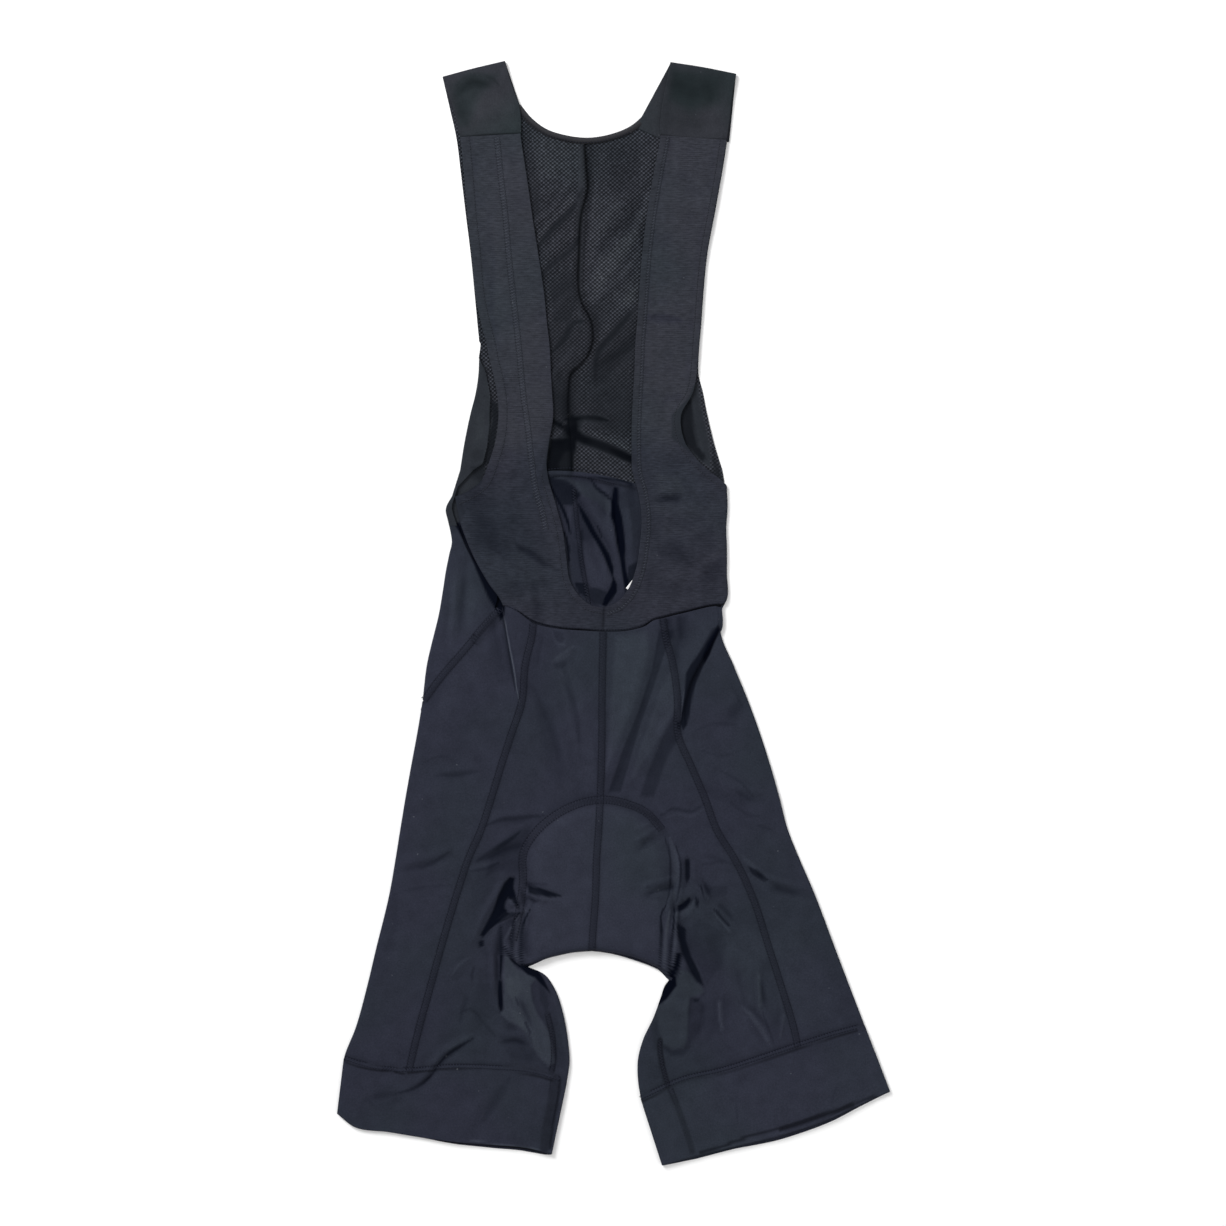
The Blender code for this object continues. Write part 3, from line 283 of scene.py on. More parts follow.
def dense(line):
    """A given line as a smooth one with a point every 3 mm or so."""
    line = np.array(line, float).reshape(-1, 2)
    length = np.linalg.norm(np.diff(line, axis=0), axis=1).sum()
    return smooth(line, max(8, int(length / 3))) if len(line) > 2 else np.linspace(line[0], line[-1], 8)


def near(points, line, reach):
    """Which points lie within reach of a line's box."""
    return np.all((points > line.min(axis=0) - reach) & (points < line.max(axis=0) + reach), axis=1)


def relief(xy, folds):
    """How far a table of folds lifts each point: height x strength x exp(-(distance / width)^1.5), summed.

    The width is the one for the point's side of the line; the strength eases from its start
    value to 1 over the line's first third and from 1 to its end value over the last.
    """
    points = xy.reshape(-1, 2)
    lift = np.zeros(len(points))
    for height, left_width, right_width, start, end, *line in folds:
        line = dense(line)
        close = near(points, line, 3 * max(left_width, right_width))
        if close.any():
            distance, left, along = from_line(points[close], line)
            strength = start + (1 - start) * ease(along * 3)
            strength = strength * (end + (1 - end) * ease((1 - along) * 3))
            lift[close] += height * strength * np.exp(-(distance / np.where(left, left_width, right_width)) ** 1.5)
    return lift.reshape(xy.shape[:-1])


def band(line, half_width, lift=0.0, dark=0.0):
    """A band along a line, as wide to either side: how far it is lifted and how much darker it is."""
    return {"line": np.array(line, float).reshape(-1, 2), "half_width": half_width, "lift": lift, "dark": dark}


def bands(xy, table, value):
    """The greatest of a named value among the bands of a table that each point lies on, as
    value x exp(-(distance / half width)^6)."""
    points = xy.reshape(-1, 2)
    found = np.zeros(len(points))
    for row in table:
        line = dense(row["line"])
        close = near(points, line, 2 * row["half_width"])
        if row[value] and close.any():
            amount = row[value] * np.exp(-(from_line(points[close], line)[0] / row["half_width"]) ** 6)
            found[close] = np.where(np.abs(amount) > np.abs(found[close]), amount, found[close])
    return found.reshape(xy.shape[:-1])


def hollows(xy, table):
    """How deep in shade each point lies: strength x exp(-(distance / width)^4), the greatest.

    A strength below 0 is a crest that catches the light. The width is a third of the half
    width at the line's ends and swells as a sine to its middle.
    """
    points = xy.reshape(-1, 2)
    shade = np.zeros(len(points))
    for strength, half_width, *line in table:
        line = dense(line)
        close = near(points, line, 3 * half_width)
        if close.any():
            distance, _, along = from_line(points[close], line)
            spread_out = half_width * (0.35 + 0.65 * np.sin(np.pi * along))
            amount = strength * np.exp(-(distance / spread_out) ** 4)
            shade[close] = np.where(np.abs(amount) > np.abs(shade[close]), amount, shade[close])
    return shade.reshape(xy.shape[:-1])


LIFT, SHADE = 0, 1               # the two values of a facet


def facets(xy, table, value):
    """The sum of one of the values over a table of flat facets between creases.

    Each counts fully inside its outline and eases to 0 across a border twice as wide as its softness.
    """
    points = xy.reshape(-1, 2)
    total = np.zeros(len(points))
    for row in table:
        soft, outline = row[2], np.array(row[3:], float).reshape(-1, 2)
        loop = np.concatenate((outline, outline[:1]))
        close = near(points, outline, soft)
        if not close.any():
            continue
        distance = from_line(points[close], loop)[0]
        x, y = points[close, 0][:, None], points[close, 1][:, None]
        a, b = loop[:-1], loop[1:]
        crossed = (a[:, 1] > y) != (b[:, 1] > y)
        rise = np.where(a[:, 1] == b[:, 1], 1.0, b[:, 1] - a[:, 1])
        inside = np.sum(crossed & (x < a[:, 0] + (y - a[:, 1]) * (b[:, 0] - a[:, 0]) / rise), axis=1) % 2 == 1
        total[close] += row[value] * ease(0.5 + np.where(inside, distance, -distance) / (2 * soft))
    return total.reshape(xy.shape[:-1])


def cavity(grid, window=11, depth=1.6):
    """How deep each point of a grid lies below the mean height of the window around it, as a share of depth."""
    z = np.pad(grid[..., 2], window // 2, mode="edge")
    for axis in (0, 1):
        total = np.cumsum(np.insert(z, 0, 0.0, axis=axis), axis=axis)
        z = (np.take(total, range(window, total.shape[axis]), axis=axis)
             - np.take(total, range(0, total.shape[axis] - window), axis=axis)) / window
    return np.clip((z - grid[..., 2]) / depth, 0.0, 1.0)


def uneven(xy, size, seed, cells=64):
    """Random heights from -1 to 1 on a square lattice of a given size, eased smoothly between its corners."""
    lattice = np.random.default_rng(seed).uniform(-1, 1, (cells, cells))
    place = xy / size + cells // 2
    cell = np.floor(place).astype(int)
    u, v = ease(place[..., 0] - cell[..., 0]), ease(place[..., 1] - cell[..., 1])
    i, j = cell[..., 0] % cells, cell[..., 1] % cells
    next_i, next_j = (i + 1) % cells, (j + 1) % cells
    near_row = lattice[i, j] * (1 - u) + lattice[next_i, j] * u
    far_row = lattice[i, next_j] * (1 - u) + lattice[next_i, next_j] * u
    return near_row * (1 - v) + far_row * v


# The slow unevenness of cloth on a table: height, size and seed of its random heights, and the way they lean.
LEAN, CROSSWISE = np.array(((0.9, 0.3), (-0.35, 0.75))), np.array(((0.5, -0.8), (0.9, 0.45)))
SWAYS = ((0.42, 41.0, 3, LEAN), (0.34, 19.0, 5, CROSSWISE), (0.16, 9.0, 8, LEAN))


def sway(xy):
    """The slow unevenness of the cloth: its random heights, each over its own size, summed."""
    return sum(height * uneven(xy @ way, size, seed) for height, size, seed, way in SWAYS)


def lifted(grid, level):
    """A flat grid with its heights."""
    return np.concatenate((grid, np.broadcast_to(level, grid.shape[:2])[..., None]), axis=2)


def curl(start, outward, level, turn, width, columns, down=False):
    """Cloth that goes on past start, turning over with the fold radius through a share of half a turn.

    At distance t round the fold it stands radius x sin(t / radius) out and
    radius x (1 - cos(t / radius)) up or down; past the turn it goes on straight. What the level
    differs from its layer's own fades out round the turn.
    """
    arc = np.pi * TURN_RADIUS * turn[:, None]
    share = np.arange(1, columns + 1)
    past_share = np.maximum(share - BENDS, 0) / (columns - BENDS)
    bent = arc * np.minimum(share / BENDS, 1) + (width[:, None] - arc) * past_share
    t = np.where(turn[:, None] > TURNED_OVER, bent, width[:, None] * share / columns)
    angle = np.minimum(t, arc) / TURN_RADIUS
    past = t - np.minimum(t, arc)
    out = TURN_RADIUS * np.sin(angle) + past * np.cos(angle)
    rise = TURN_RADIUS * (1 - np.cos(angle)) + past * np.sin(angle)
    flat = UPPER if down else LOWER
    level = flat + (level - flat)[:, None] * (1 - ease(angle / np.pi))
    return lifted(start[:, None] + out[..., None] * outward[:, None], level + (-rise if down else rise))


def tight(grid, ring=False, share=0.2):
    """A grid with one more line of points a share of a cell inside each of its borders, so the edge shades crisply."""
    for axis in ((0,) if ring else (0, 1)):
        work = np.swapaxes(grid, 0, axis)
        first = work[:1] + (work[1:2] - work[:1]) * share
        last = work[-1:] + (work[-2:-1] - work[-1:]) * share
        grid = np.swapaxes(np.concatenate((work[:1], first, work[1:-1], last, work[-1:])), 0, axis)
    return grid


def mesh_object(name, points, faces, material, values):
    """An object made of four-sided faces, in metres, smooth, with named values at its points."""
    mesh = bpy.data.meshes.new(name)
    mesh.vertices.add(len(points))
    mesh.vertices.foreach_set("co", (points * MM).ravel())
    mesh.loops.add(faces.size)
    mesh.loops.foreach_set("vertex_index", faces.ravel().astype(np.int32))
    mesh.polygons.add(len(faces))
    mesh.polygons.foreach_set("loop_start", np.arange(0, faces.size, 4, dtype=np.int32))
    mesh.update(calc_edges=True)
    mesh.validate()
    mesh.shade_smooth()
    for label, amounts in values.items():
        mesh.attributes.new(label, "FLOAT", "POINT").data.foreach_set("value", amounts.ravel().astype(np.float32))
    mesh.materials.append(material)
    made = bpy.data.objects.new(name, mesh)
    bpy.context.scene.collection.objects.link(made)
    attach(made, "root")
    return made


def quads(index):
    """The four-sided faces between neighbours in a grid of point numbers."""
    return np.stack((index[:-1, :-1], index[:-1, 1:], index[1:, 1:], index[1:, :-1]), axis=-1).reshape(-1, 4)


def border(index):
    """The point numbers round a grid, back to the first."""
    return np.concatenate((index[0], index[1:, -1], index[-1, -2::-1], index[-2:0:-1, 0], index[:1, 0]))


OFF_GROUND = 0.05                # least gap under a panel
CREVICE_SHADE = 0.55             # how much the surface's own small hollows add to the shade
DEEP_SHADE, DEEP_FADE = 0.2, 1.5  # the shade past which the knit's pattern fades, and how fast
BRIGHTEST = -1.6                 # the least shade, on a crest


def cloth(name, grid, material, seams=(), shades=(), planes=(), wall=WALL, ring=False):
    """A cut panel: the middle surface given by a grid of points, a wall on either side and a rounded rim.

    The normal at a point is the step across its row x the step down its column.
    """
    grid = tight(grid, ring)
    grid[..., 2] = np.maximum(grid[..., 2], wall / 2 + OFF_GROUND)
    rows, columns = grid.shape[:2]
    if ring:
        across = (np.roll(grid, -1, axis=1) - np.roll(grid, 1, axis=1)) / 2
    else:
        across = np.gradient(grid, axis=1)
    normal = unit(np.cross(across, np.gradient(grid, axis=0)))
    index = np.arange(rows * columns).reshape(rows, columns)
    if ring:
        index = np.concatenate((index, index[:, :1]), axis=1)
    top = quads(index)
    loops = [index[0], index[-1][::-1]] if ring else [border(index)]
    inner = np.concatenate((grid[1:2], grid[1:-1], grid[-2:-1]))
    if not ring:
        inner = np.concatenate((inner[:, 1:2], inner[:, 1:-1], inner[:, -2:-1]), axis=1)
    middle = (grid + unit(grid - inner + 1e-9) * wall / 2).reshape(-1, 3)
    size = rows * columns
    faces = [top, top[:, ::-1] + size]
    rims = []
    for loop in loops:
        start = 2 * size + sum(map(len, rims))
        rims.append(loop)
        a, b = loop[:-1], loop[1:]
        i = np.arange(len(a)) + start
        faces.append(np.column_stack((i, i + 1, b, a)))
        faces.append(np.column_stack((a + size, b + size, i + 1, i)))
    rim = np.concatenate(rims)
    points = np.concatenate(((grid + normal * wall / 2).reshape(-1, 3), (grid - normal * wall / 2).reshape(-1, 3),
                             middle[rim]))
    flat = points[:, :2]
    # Painted shade for the material, from the tables of shades and facets and from the cloth's own small hollows; below
    # 0 it is a painted highlight. Deep painted shade also counts as plain, which hides the knit's pattern and turns the
    # colour cool.
    deep = cavity(grid).ravel()
    deep = np.concatenate((deep, deep, deep[rim]))
    shade = hollows(flat, shades) + facets(flat, planes, SHADE)
    plain = facets(flat, PLAIN_AND_SHADED_FACETS, SHADE) + DEEP_FADE * np.maximum(shade - DEEP_SHADE, 0.0)
    values = {"seam": bands(flat, seams, "dark"), "plain": np.clip(plain, 0.0, 1.0),
              "shade": np.clip(1 - (1 - shade) * (1 - CREVICE_SHADE * deep), BRIGHTEST, 1.0)}
    return mesh_object(name + "_cloth", points, np.concatenate(faces), material, values)


def laid(panel, slot, flat, area, *rests_on, trimmings=()):
    """Hide the part's own piece, in whose place a panel is shown: the panel's cloth gives the part's name.
    The size it is cut to in metres, its area in square metres, the names of what it lies on and the small pieces
    sewn to it are not used."""
    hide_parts(panel.name.rsplit("_", 1)[0])


def node(tree, kind, inputs=None, **settings):
    """A shader node with its settings, and its inputs linked to sockets or set to values."""
    made = tree.nodes.new("ShaderNode" + kind)
    for key, value in settings.items():
        setattr(made, key, value)
    for key, value in (inputs or {}).items():
        if isinstance(value, bpy.types.NodeSocket):
            tree.links.new(value, made.inputs[key])
        else:
            made.inputs[key].default_value = value
    return made


def maths(tree, operation, *values):
    """The result of one Math node."""
    return node(tree, "Math", dict(enumerate(values)), operation=operation).outputs[0]


def noise(tree, point, scale, detail=2.0, **more):
    """Smooth noise from 0 to 1, scale cells to the metre."""
    return node(tree, "TexNoise", {"Vector": point, "Scale": scale, "Detail": detail, **more}).outputs[0]


def ranged(tree, value, low, high, to_low=0.0, to_high=1.0):
    """A value moved from one range to another and kept inside it."""
    ends = {"From Min": low, "From Max": high, "To Min": to_low, "To Max": to_high}
    return node(tree, "MapRange", {"Value": value, **ends}).outputs[0]


def new_group(name, outputs, **pitches):
    """A node group that reads a point and named pitches and gives numbers: its tree, its inputs and its results."""
    tree = bpy.data.node_groups.new(name, "ShaderNodeTree")
    tree.interface.new_socket("Point", in_out="INPUT", socket_type="NodeSocketVector")
    for label, value in pitches.items():
        tree.interface.new_socket(label, in_out="INPUT", socket_type="NodeSocketFloat").default_value = value
    for label in outputs:
        tree.interface.new_socket(label, in_out="OUTPUT", socket_type="NodeSocketFloat")
    return tree, tree.nodes.new("NodeGroupInput").outputs, tree.nodes.new("NodeGroupOutput").inputs


def honeycomb_group():
    """Open honeycomb knit: cos(x) cos(y) on a staggered lattice, unsettled by fine noise and sharpened.

    It is near 1 on the raised dots and near -1 in the holes; the pitches are in millimetres.
    """
    tree, given, result = new_group("honeycomb", ("Tone", "Height"), Across=4.0, Down=3.5)
    place = node(tree, "SeparateXYZ", {0: given["Point"]}).outputs
    x = maths(tree, "DIVIDE", maths(tree, "MULTIPLY", place["X"], 2000 * math.pi), given["Across"])
    y = maths(tree, "DIVIDE", maths(tree, "MULTIPLY", place["Y"], 2000 * math.pi), given["Down"])
    dots = maths(tree, "MULTIPLY", maths(tree, "COSINE", x), maths(tree, "COSINE", y))
    fuzz = maths(tree, "SUBTRACT", noise(tree, given["Point"], 420.0), 0.5)
    grain = maths(tree, "ADD", dots, maths(tree, "MULTIPLY", fuzz, 1.6))
    tree.links.new(maths(tree, "POWER", ranged(tree, grain, -0.8, 1.4), 1.7), result["Tone"])
    tree.links.new(dots, result["Height"])
    return tree


def tint_group():
    """How the dye and the dust vary: slow cool patches, sparse pale specks of lint, and a fine grain over blotches."""
    tree, given, result = new_group("tint", ("Cool", "Lint", "Grain"))
    point = given["Point"]
    tree.links.new(ranged(tree, noise(tree, point, 9.0, 1.0), 0.42, 0.62), result["Cool"])
    tree.links.new(ranged(tree, noise(tree, point, 260.0, 1.0, Roughness=0.3), 0.8, 0.85), result["Lint"])
    fine = maths(tree, "MULTIPLY", noise(tree, point, 700.0), 0.55)
    tree.links.new(maths(tree, "MULTIPLY_ADD", noise(tree, point, 85.0, 3.0), 0.45, fine), result["Grain"])
    return tree


def new_material(name, roughness):
    """A material: itself, its tree, its shader and the point in the piece's own space."""
    made = bpy.data.materials.new(name)
    made.use_nodes = True
    tree = made.node_tree
    shader = tree.nodes["Principled BSDF"]
    shader.inputs["Roughness"].default_value = roughness
    return made, tree, shader, node(tree, "TexCoord").outputs["Object"]


def coloured(tree, shader, colour, height=None, depth=0.0):
    """Link the shader's colour and, where a height is given, the dents that it makes, depth metres deep."""
    tree.links.new(colour, shader.inputs["Base Color"])
    if height is not None:
        tree.links.new(node(tree, "Bump", {"Height": height, "Distance": depth}).outputs[0], shader.inputs["Normal"])


def grey(tree, tone, blue=None):
    """A colour of one tone, or with a blue of its own."""
    return node(tree, "CombineColor", {0: tone, 1: tone, 2: tone if blue is None else blue}).outputs[0]


def mixed(tree, share, first, second):
    """Two colours mixed."""
    return node(tree, "Mix", {0: share, 6: first, 7: second}, data_type="RGBA").outputs[2]


TINT = tint_group()
LINT = (0.12, 0.13, 0.15, 1)     # its colour
PAINTED_SHADE_COLOUR = (0.0006, 0.0014, 0.0050)  # the colour of painted shade deep in a fold's hollow
HIGHLIGHT_TINT = (0.99, 1.02, 0.88)       # the tint of a painted highlight on a crest, times the cloth's own colour


def fabric(name, pattern, colour, cool, lift, depth, roughness, deep=PAINTED_SHADE_COLOUR, highlight_tint=HIGHLIGHT_TINT):
    """A dark knit. Its colour runs from colour to cool in slow patches; the pattern group's Tone
    lightens it by up to lift and its Height dents it by depth metres, both less where it is plain (on smooth
    facings, and in deep painted shade); seams darken it, and so do the painted shadow lines along grooves and
    hems; painted shade in hollows turns it to the colour deep, and painted highlights on crests lighten it and
    make it less blue."""
    made, tree, shader, point = new_material(name, roughness)
    tint = node(tree, "Group", {"Point": point}, node_tree=TINT).outputs
    knit = node(tree, "Group", {"Point": point}, node_tree=pattern).outputs
    seam, shade, plain = (node(tree, "Attribute", attribute_name=label).outputs["Fac"]
                          for label in ("seam", "shade", "plain"))
    open_knit = maths(tree, "SUBTRACT", 1.0, plain)
    base = mixed(tree, maths(tree, "MAXIMUM", tint["Cool"], plain), (*colour, 1), (*cool, 1))
    grain = maths(tree, "MULTIPLY_ADD", maths(tree, "SUBTRACT", tint["Grain"], 0.5), 0.9, 1.0)
    stitches = maths(tree, "MULTIPLY", maths(tree, "SUBTRACT", knit["Tone"], 0.5), open_knit)
    light = maths(tree, "MULTIPLY", maths(tree, "MULTIPLY_ADD", stitches, lift, 1.0), grain)
    light = maths(tree, "MULTIPLY", light, maths(tree, "MULTIPLY_ADD", plain, -lift * 0.32, 1.0))
    # Painted highlight: where the shade is below 0 the colour is lightened by 1 - shade and mixed that far towards the
    # highlight tint.
    crest = maths(tree, "MULTIPLY_ADD", maths(tree, "MINIMUM", shade, 0.0), -1.0, 1.0)
    # The seam value darkens the seams' own stitching and also paints shadow lines along grooves and hems.
    seam_tone = maths(tree, "MULTIPLY_ADD", seam, -1.0, 1.0)
    tone = maths(tree, "MULTIPLY", maths(tree, "MULTIPLY", light, crest), seam_tone)
    lit = node(tree, "VectorMath", {0: base, "Scale": tone}, operation="SCALE").outputs[0]
    pale = node(tree, "VectorMath", {0: lit, 1: highlight_tint}, operation="MULTIPLY").outputs[0]
    lit = mixed(tree, maths(tree, "MAXIMUM", maths(tree, "MULTIPLY", shade, -1.0), 0.0), lit, pale)
    linted = mixed(tree, maths(tree, "MULTIPLY", tint["Lint"], 0.4), lit, LINT)
    # Painted shade: where the shade is above 0 the colour is mixed that far towards the dark shade colour.
    hollow = mixed(tree, maths(tree, "MAXIMUM", shade, 0.0), linted, (*deep, 1))
    shader.inputs["Specular IOR Level"].default_value = 0.02
    shader.inputs["Sheen Weight"].default_value = 0.01
    shader.inputs["Sheen Roughness"].default_value = 0.45
    shader.inputs["Sheen Tint"].default_value = (0.75, 0.85, 1.0, 1.0)
    height = maths(tree, "MULTIPLY_ADD", knit["Height"], open_knit, maths(tree, "MULTIPLY", tint["Grain"], 0.6))
    coloured(tree, shader, hollow, height, depth)
    return made


mesh_knit = fabric("mesh_knit", honeycomb_group(), (0.0500, 0.0531, 0.0665), (0.0383, 0.0441, 0.0548), 1.5, 0.0006, 0.6,
                   deep=(0.0018, 0.0025, 0.0042))

SHOULDER_Y, YOKE_Y, ARM_Y = 454.5, 427.5, 128.5      # where the armholes start, the yokes end and the hips start
ROWS_SHOULDER, ROWS_ARMHOLE, ROWS_HIP = 45, 123, 14
ROWS_BACK_SEAM = ROWS_ARMHOLE + 2 * ROWS_HIP - 1
MESH_COLUMNS, HEM_COLUMNS = 48, 18
HEM_START, HEM_EASE = 243.0, 30.0                    # where the left armhole starts to turn over, and over what length

back_seam = torso("back_seam", 426.5, 127.0, ROWS_BACK_SEAM)
# The seam between the two mesh panels stands up as a narrow lip with a groove at its right. Painted shade fills the
# groove; the lip and the cloth beyond the groove are darkened a little.
BACK_SEAM_LIP_AND_SHADE = (
    band(back_seam - (2.8, 0.0), 2.2, 0.8, 0.30),
    band(back_seam + (0.2, 0.0), 1.3, -0.2, 0.80),
    band(back_seam + (3.4, 0.0), 2.4, 0.0, 0.30),
)


def beneath(xy):
    """Height of the middle of the lower layer of the mesh back: folds, facets and the lip of its seam."""
    level = LOWER + LOFT + sway(xy) + relief(xy, MESH_FOLDS) + facets(xy, MESH_FACETS, LIFT)
    return np.maximum(np.maximum(level, LOWER) + bands(xy, BACK_SEAM_LIP_AND_SHADE, "lift"), LOWER)


inner = joined(smooth(NECK[:5], ROWS_SHOULDER + 1), back_seam)
outer = joined(torso("back_left", SHOULDER_Y, YOKE_Y, ROWS_SHOULDER), torso("back_left", YOKE_Y, ARM_Y, ROWS_ARMHOLE),
               smooth(((-137.5, 128.5), (-145.0, 104.5)), ROWS_HIP), run(WAIST_SIDE_LEFT, 104.5, 78.5, ROWS_HIP))
turned = np.interp(outer[:, 1], *np.array(HEM_LEFT)[::-1].T)
turn = ease((HEM_START - outer[:, 1]) / HEM_EASE)
width = np.where(turn > 0, np.pi * TURN_RADIUS * turn + np.maximum(turned - BRINK, 0.6), BRINK)
brink = outer - LEFTWARD * BRINK
edge = curl(brink, np.tile(LEFTWARD, (len(outer), 1)), np.full(len(outer), LOWER), turn, width, HEM_COLUMNS)[:, ::-1]
waist = run(BACK_WAIST, brink[-1, 0], inner[-1, 0], MESH_COLUMNS, axis=0)
flat = spread(brink, inner, MESH_COLUMNS, bottom=waist)
away = np.linspace(0.0, 1.0, MESH_COLUMNS + 1)[None, :]
level = LOWER + (beneath(flat) - LOWER) * ease(away * 8)
grid = np.concatenate((edge, lifted(flat, level)), axis=1)
back_mesh_left = cloth("back_mesh_left", grid, mesh_knit, BACK_SEAM_LIP_AND_SHADE, MESH_SHADES, MESH_FACETS)
laid(back_mesh_left, "mesh", (0.133, 0.393), 0.0365, "floor")

inner = joined(smooth(NECK[4:], ROWS_SHOULDER + 1)[::-1], back_seam)
outer = joined(torso("back_right", SHOULDER_Y, YOKE_Y, ROWS_SHOULDER),
               torso("back_right", YOKE_Y, ARM_Y, ROWS_ARMHOLE),
               smooth(((98.0, 128.5), (99.5, 116.0), (96.5, 106.0), (95.0, 99.0)), 2 * ROWS_HIP))
waist = run(BACK_WAIST, inner[-1, 0], outer[-1, 0], MESH_COLUMNS, axis=0)
flat = spread(inner, outer, MESH_COLUMNS, bottom=waist)
grid = lifted(flat, beneath(flat))
back_mesh_right = cloth("back_mesh_right", grid, mesh_knit, BACK_SEAM_LIP_AND_SHADE, MESH_SHADES, MESH_FACETS)

# ---------------------------------------------------------------- the shorts
# Stretch lycra, cut as a front and a side panel for each leg, two seat panels behind and a small
# panel round the inside of each leg. Flatlock seams join them edge to edge. The cloth turns over
# at the folds on either side, and a long pleat has formed at each hip where it lies slack.

# The shorts from waist to cuff, one row for each level.
SHORTS_COLUMNS = ("y", "side_left", "seam_left", "centre", "seam_right", "side_right")
SHORTS = (
    (-5.0, -157.5, -71.5, -9.0, 45.0, 97.0),
    (-17.0, -160.5, -72.5, -9.0, 46.5, 97.0),
    (-47.0, -167.5, -79.0, -9.5, 54.0, 108.5),
    (-80.0, -171.5, -82.0, -10.0, 58.0, 122.0),
    (-107.5, -176.0, -91.0, -10.0, 58.0, 132.0),
    (-137.0, -181.5, -100.5, -10.5, 70.0, 141.5),
    (-165.0, -186.5, -109.0, -11.5, 82.0, 149.5),
    (-195.5, -191.5, -119.0, -13.0, 93.5, 157.5),
    (-220.5, -195.5, -130.0, -14.8, 109.0, 167.5),
    (-249.5, -200.5, -139.5, -15.5, 123.0, 180.0),
    (-303.5, -213.5, -155.5, -19.0, 141.0, 200.5),
    (-335.0, -221.0, -164.0, -19.0, 151.0, 212.5),
    (-371.5, -231.0, -174.0, -19.0, 162.0, 226.5),
    (-402.5, -242.5, -181.5, -19.0, 168.5, 238.0),
    (-412.0, -244.0, -183.5, -19.0, 170.5, 242.0),
)
WAIST = ((-99, 6), (-92, 3), (-86, -0.5), (-71, -9), (-49.5, -14), (-25, -16), (-9, -17), (18.5, -15), (29.5, -11.5),
         (36, -7), (45, -4.5), (67.5, 1), (89, 6), (101.5, 7))
CROTCH = ((-81, -316), (-57, -309.5), (-36.5, -305), (-19, -303.5), (-2, -306), (22.5, -313), (39.5, -319.5),
          (54, -328))
WAIST_SIDE_RIGHT = ((102.5, 114), (103, 92.5), (102, 79), (102.5, 58.5), (102.5, 35), (102.5, 12.5), (98, 3.5),
                    (97, -5))
SEAT_FRONT_LEFT = ((-139.5, 78.5), (-131.0, 56.5), (-118.5, 39), (-107, 27), (-104, 15), (-106.5, 4))
SEAT_SEAM_LEFT = ((-106.5, 4), (-114, -10), (-133, -32.5), (-153, -56), (-165.5, -70), (-171, -80))
BACK_SEAM_LEFT = ((-171, -80), (-169.6, -91), (-163, -132.5), (-164.5, -195.5), (-173.5, -258.5), (-184.5, -312.5),
                  (-196, -366.5), (-202.5, -408))
BACK_SEAM_RIGHT = ((78.5, 1), (89, -33.5), (93.5, -78.5), (103.5, -132.5), (119, -195.5), (137.5, -249.5),
                   (162, -312.5), (186, -362), (195, -381))
INNER_LEFT = ((-77, -318), (-60.5, -326), (-52, -338.5), (-45, -359), (-40.5, -383.5), (-39, -404), (-41.5, -422))
INNER_RIGHT = ((50.5, -330), (47, -334.5), (43, -345.5), (36, -364.5), (27, -383.5), (22.5, -400.5), (22.5, -421),
               (25, -437))
INSEAM_LEFT = ((-81, -316), (-69.5, -331), (-62, -344.5), (-56.5, -362), (-52, -383.5), (-51.5, -402.5), (-54, -416))
INSEAM_RIGHT = ((54, -328), (53, -337), (51, -350), (46, -368), (42, -386), (44, -404), (49.5, -426))
SEAT_CENTRE = ((-37, 127), (-30, 60), (-18, -20), (-14, -160), (-19, -303.5))
SEAT_SIDE_RIGHT = ((95, 99), (92, 74.5), (85.5, 47.5), (81, 20.5), (78.5, 1))
PAD_ARCH = (-90, -294.5, -83.5, -263, -81, -242, -80, -213.5, -67.5, -194.5, -47, -178.5, -27, -170, -9, -167.5,
            11.5, -171, 29, -178.5, 44, -194.5, 53, -213.5, 56.5, -240.5, 53, -269, 48.5, -294.5)

# The edge of the long pleat at each side: where it lies, how deep it folds under and how high it stands.
PLEAT_COLUMNS = ("y", "x", "depth", "drop")
PLEAT_LEFT = (
    (104.5, -141.5, 0.0, 0.0),
    (85.0, -138.0, 0.4, 1.8),
    (66.0, -131.5, 1.0, 3.2),
    (47.0, -123.0, 2.0, 3.8),
    (27.0, -111.5, 4.5, 4.0),
    (8.0, -99.0, 6.0, 4.0),
    (-10.0, -96.5, 5.0, 3.6),
    (-27.0, -94.0, 3.5, 3.2),
    (-44.0, -91.5, 2.0, 2.8),
    (-62.0, -89.5, 0.8, 2.2),
    (-80.0, -88.0, 0.0, 0.4),
    (-92.0, -86.5, 0.0, 0.0),
)
PLEAT_RIGHT = (
    (16.0, 95.0, 0.0, 0.0),
    (5.2, 95.0, 0.0, 0.6),
    (-12.0, 95.5, 0.8, 2.4),
    (-26.0, 89.0, 2.0, 3.2),
    (-39.0, 81.5, 3.0, 3.8),
    (-52.0, 74.0, 3.0, 3.8),
    (-63.0, 69.0, 2.4, 3.6),
    (-76.0, 65.5, 1.6, 3.0),
    (-88.0, 63.5, 0.8, 2.2),
    (-103.0, 63.0, 0.0, 0.4),
    (-115.0, 63.0, 0.0, 0.0),
)
PLEAT_OUT_RIGHT = np.array((0.975, -0.222))
PLEAT_WIDTH = 6.0        # cloth between the two turns of a pleat with no depth
PLEAT_SHARES = np.linspace(0.0, 1.0, 25)
HALF_SHARES = np.linspace(0.0, 0.5, 13)

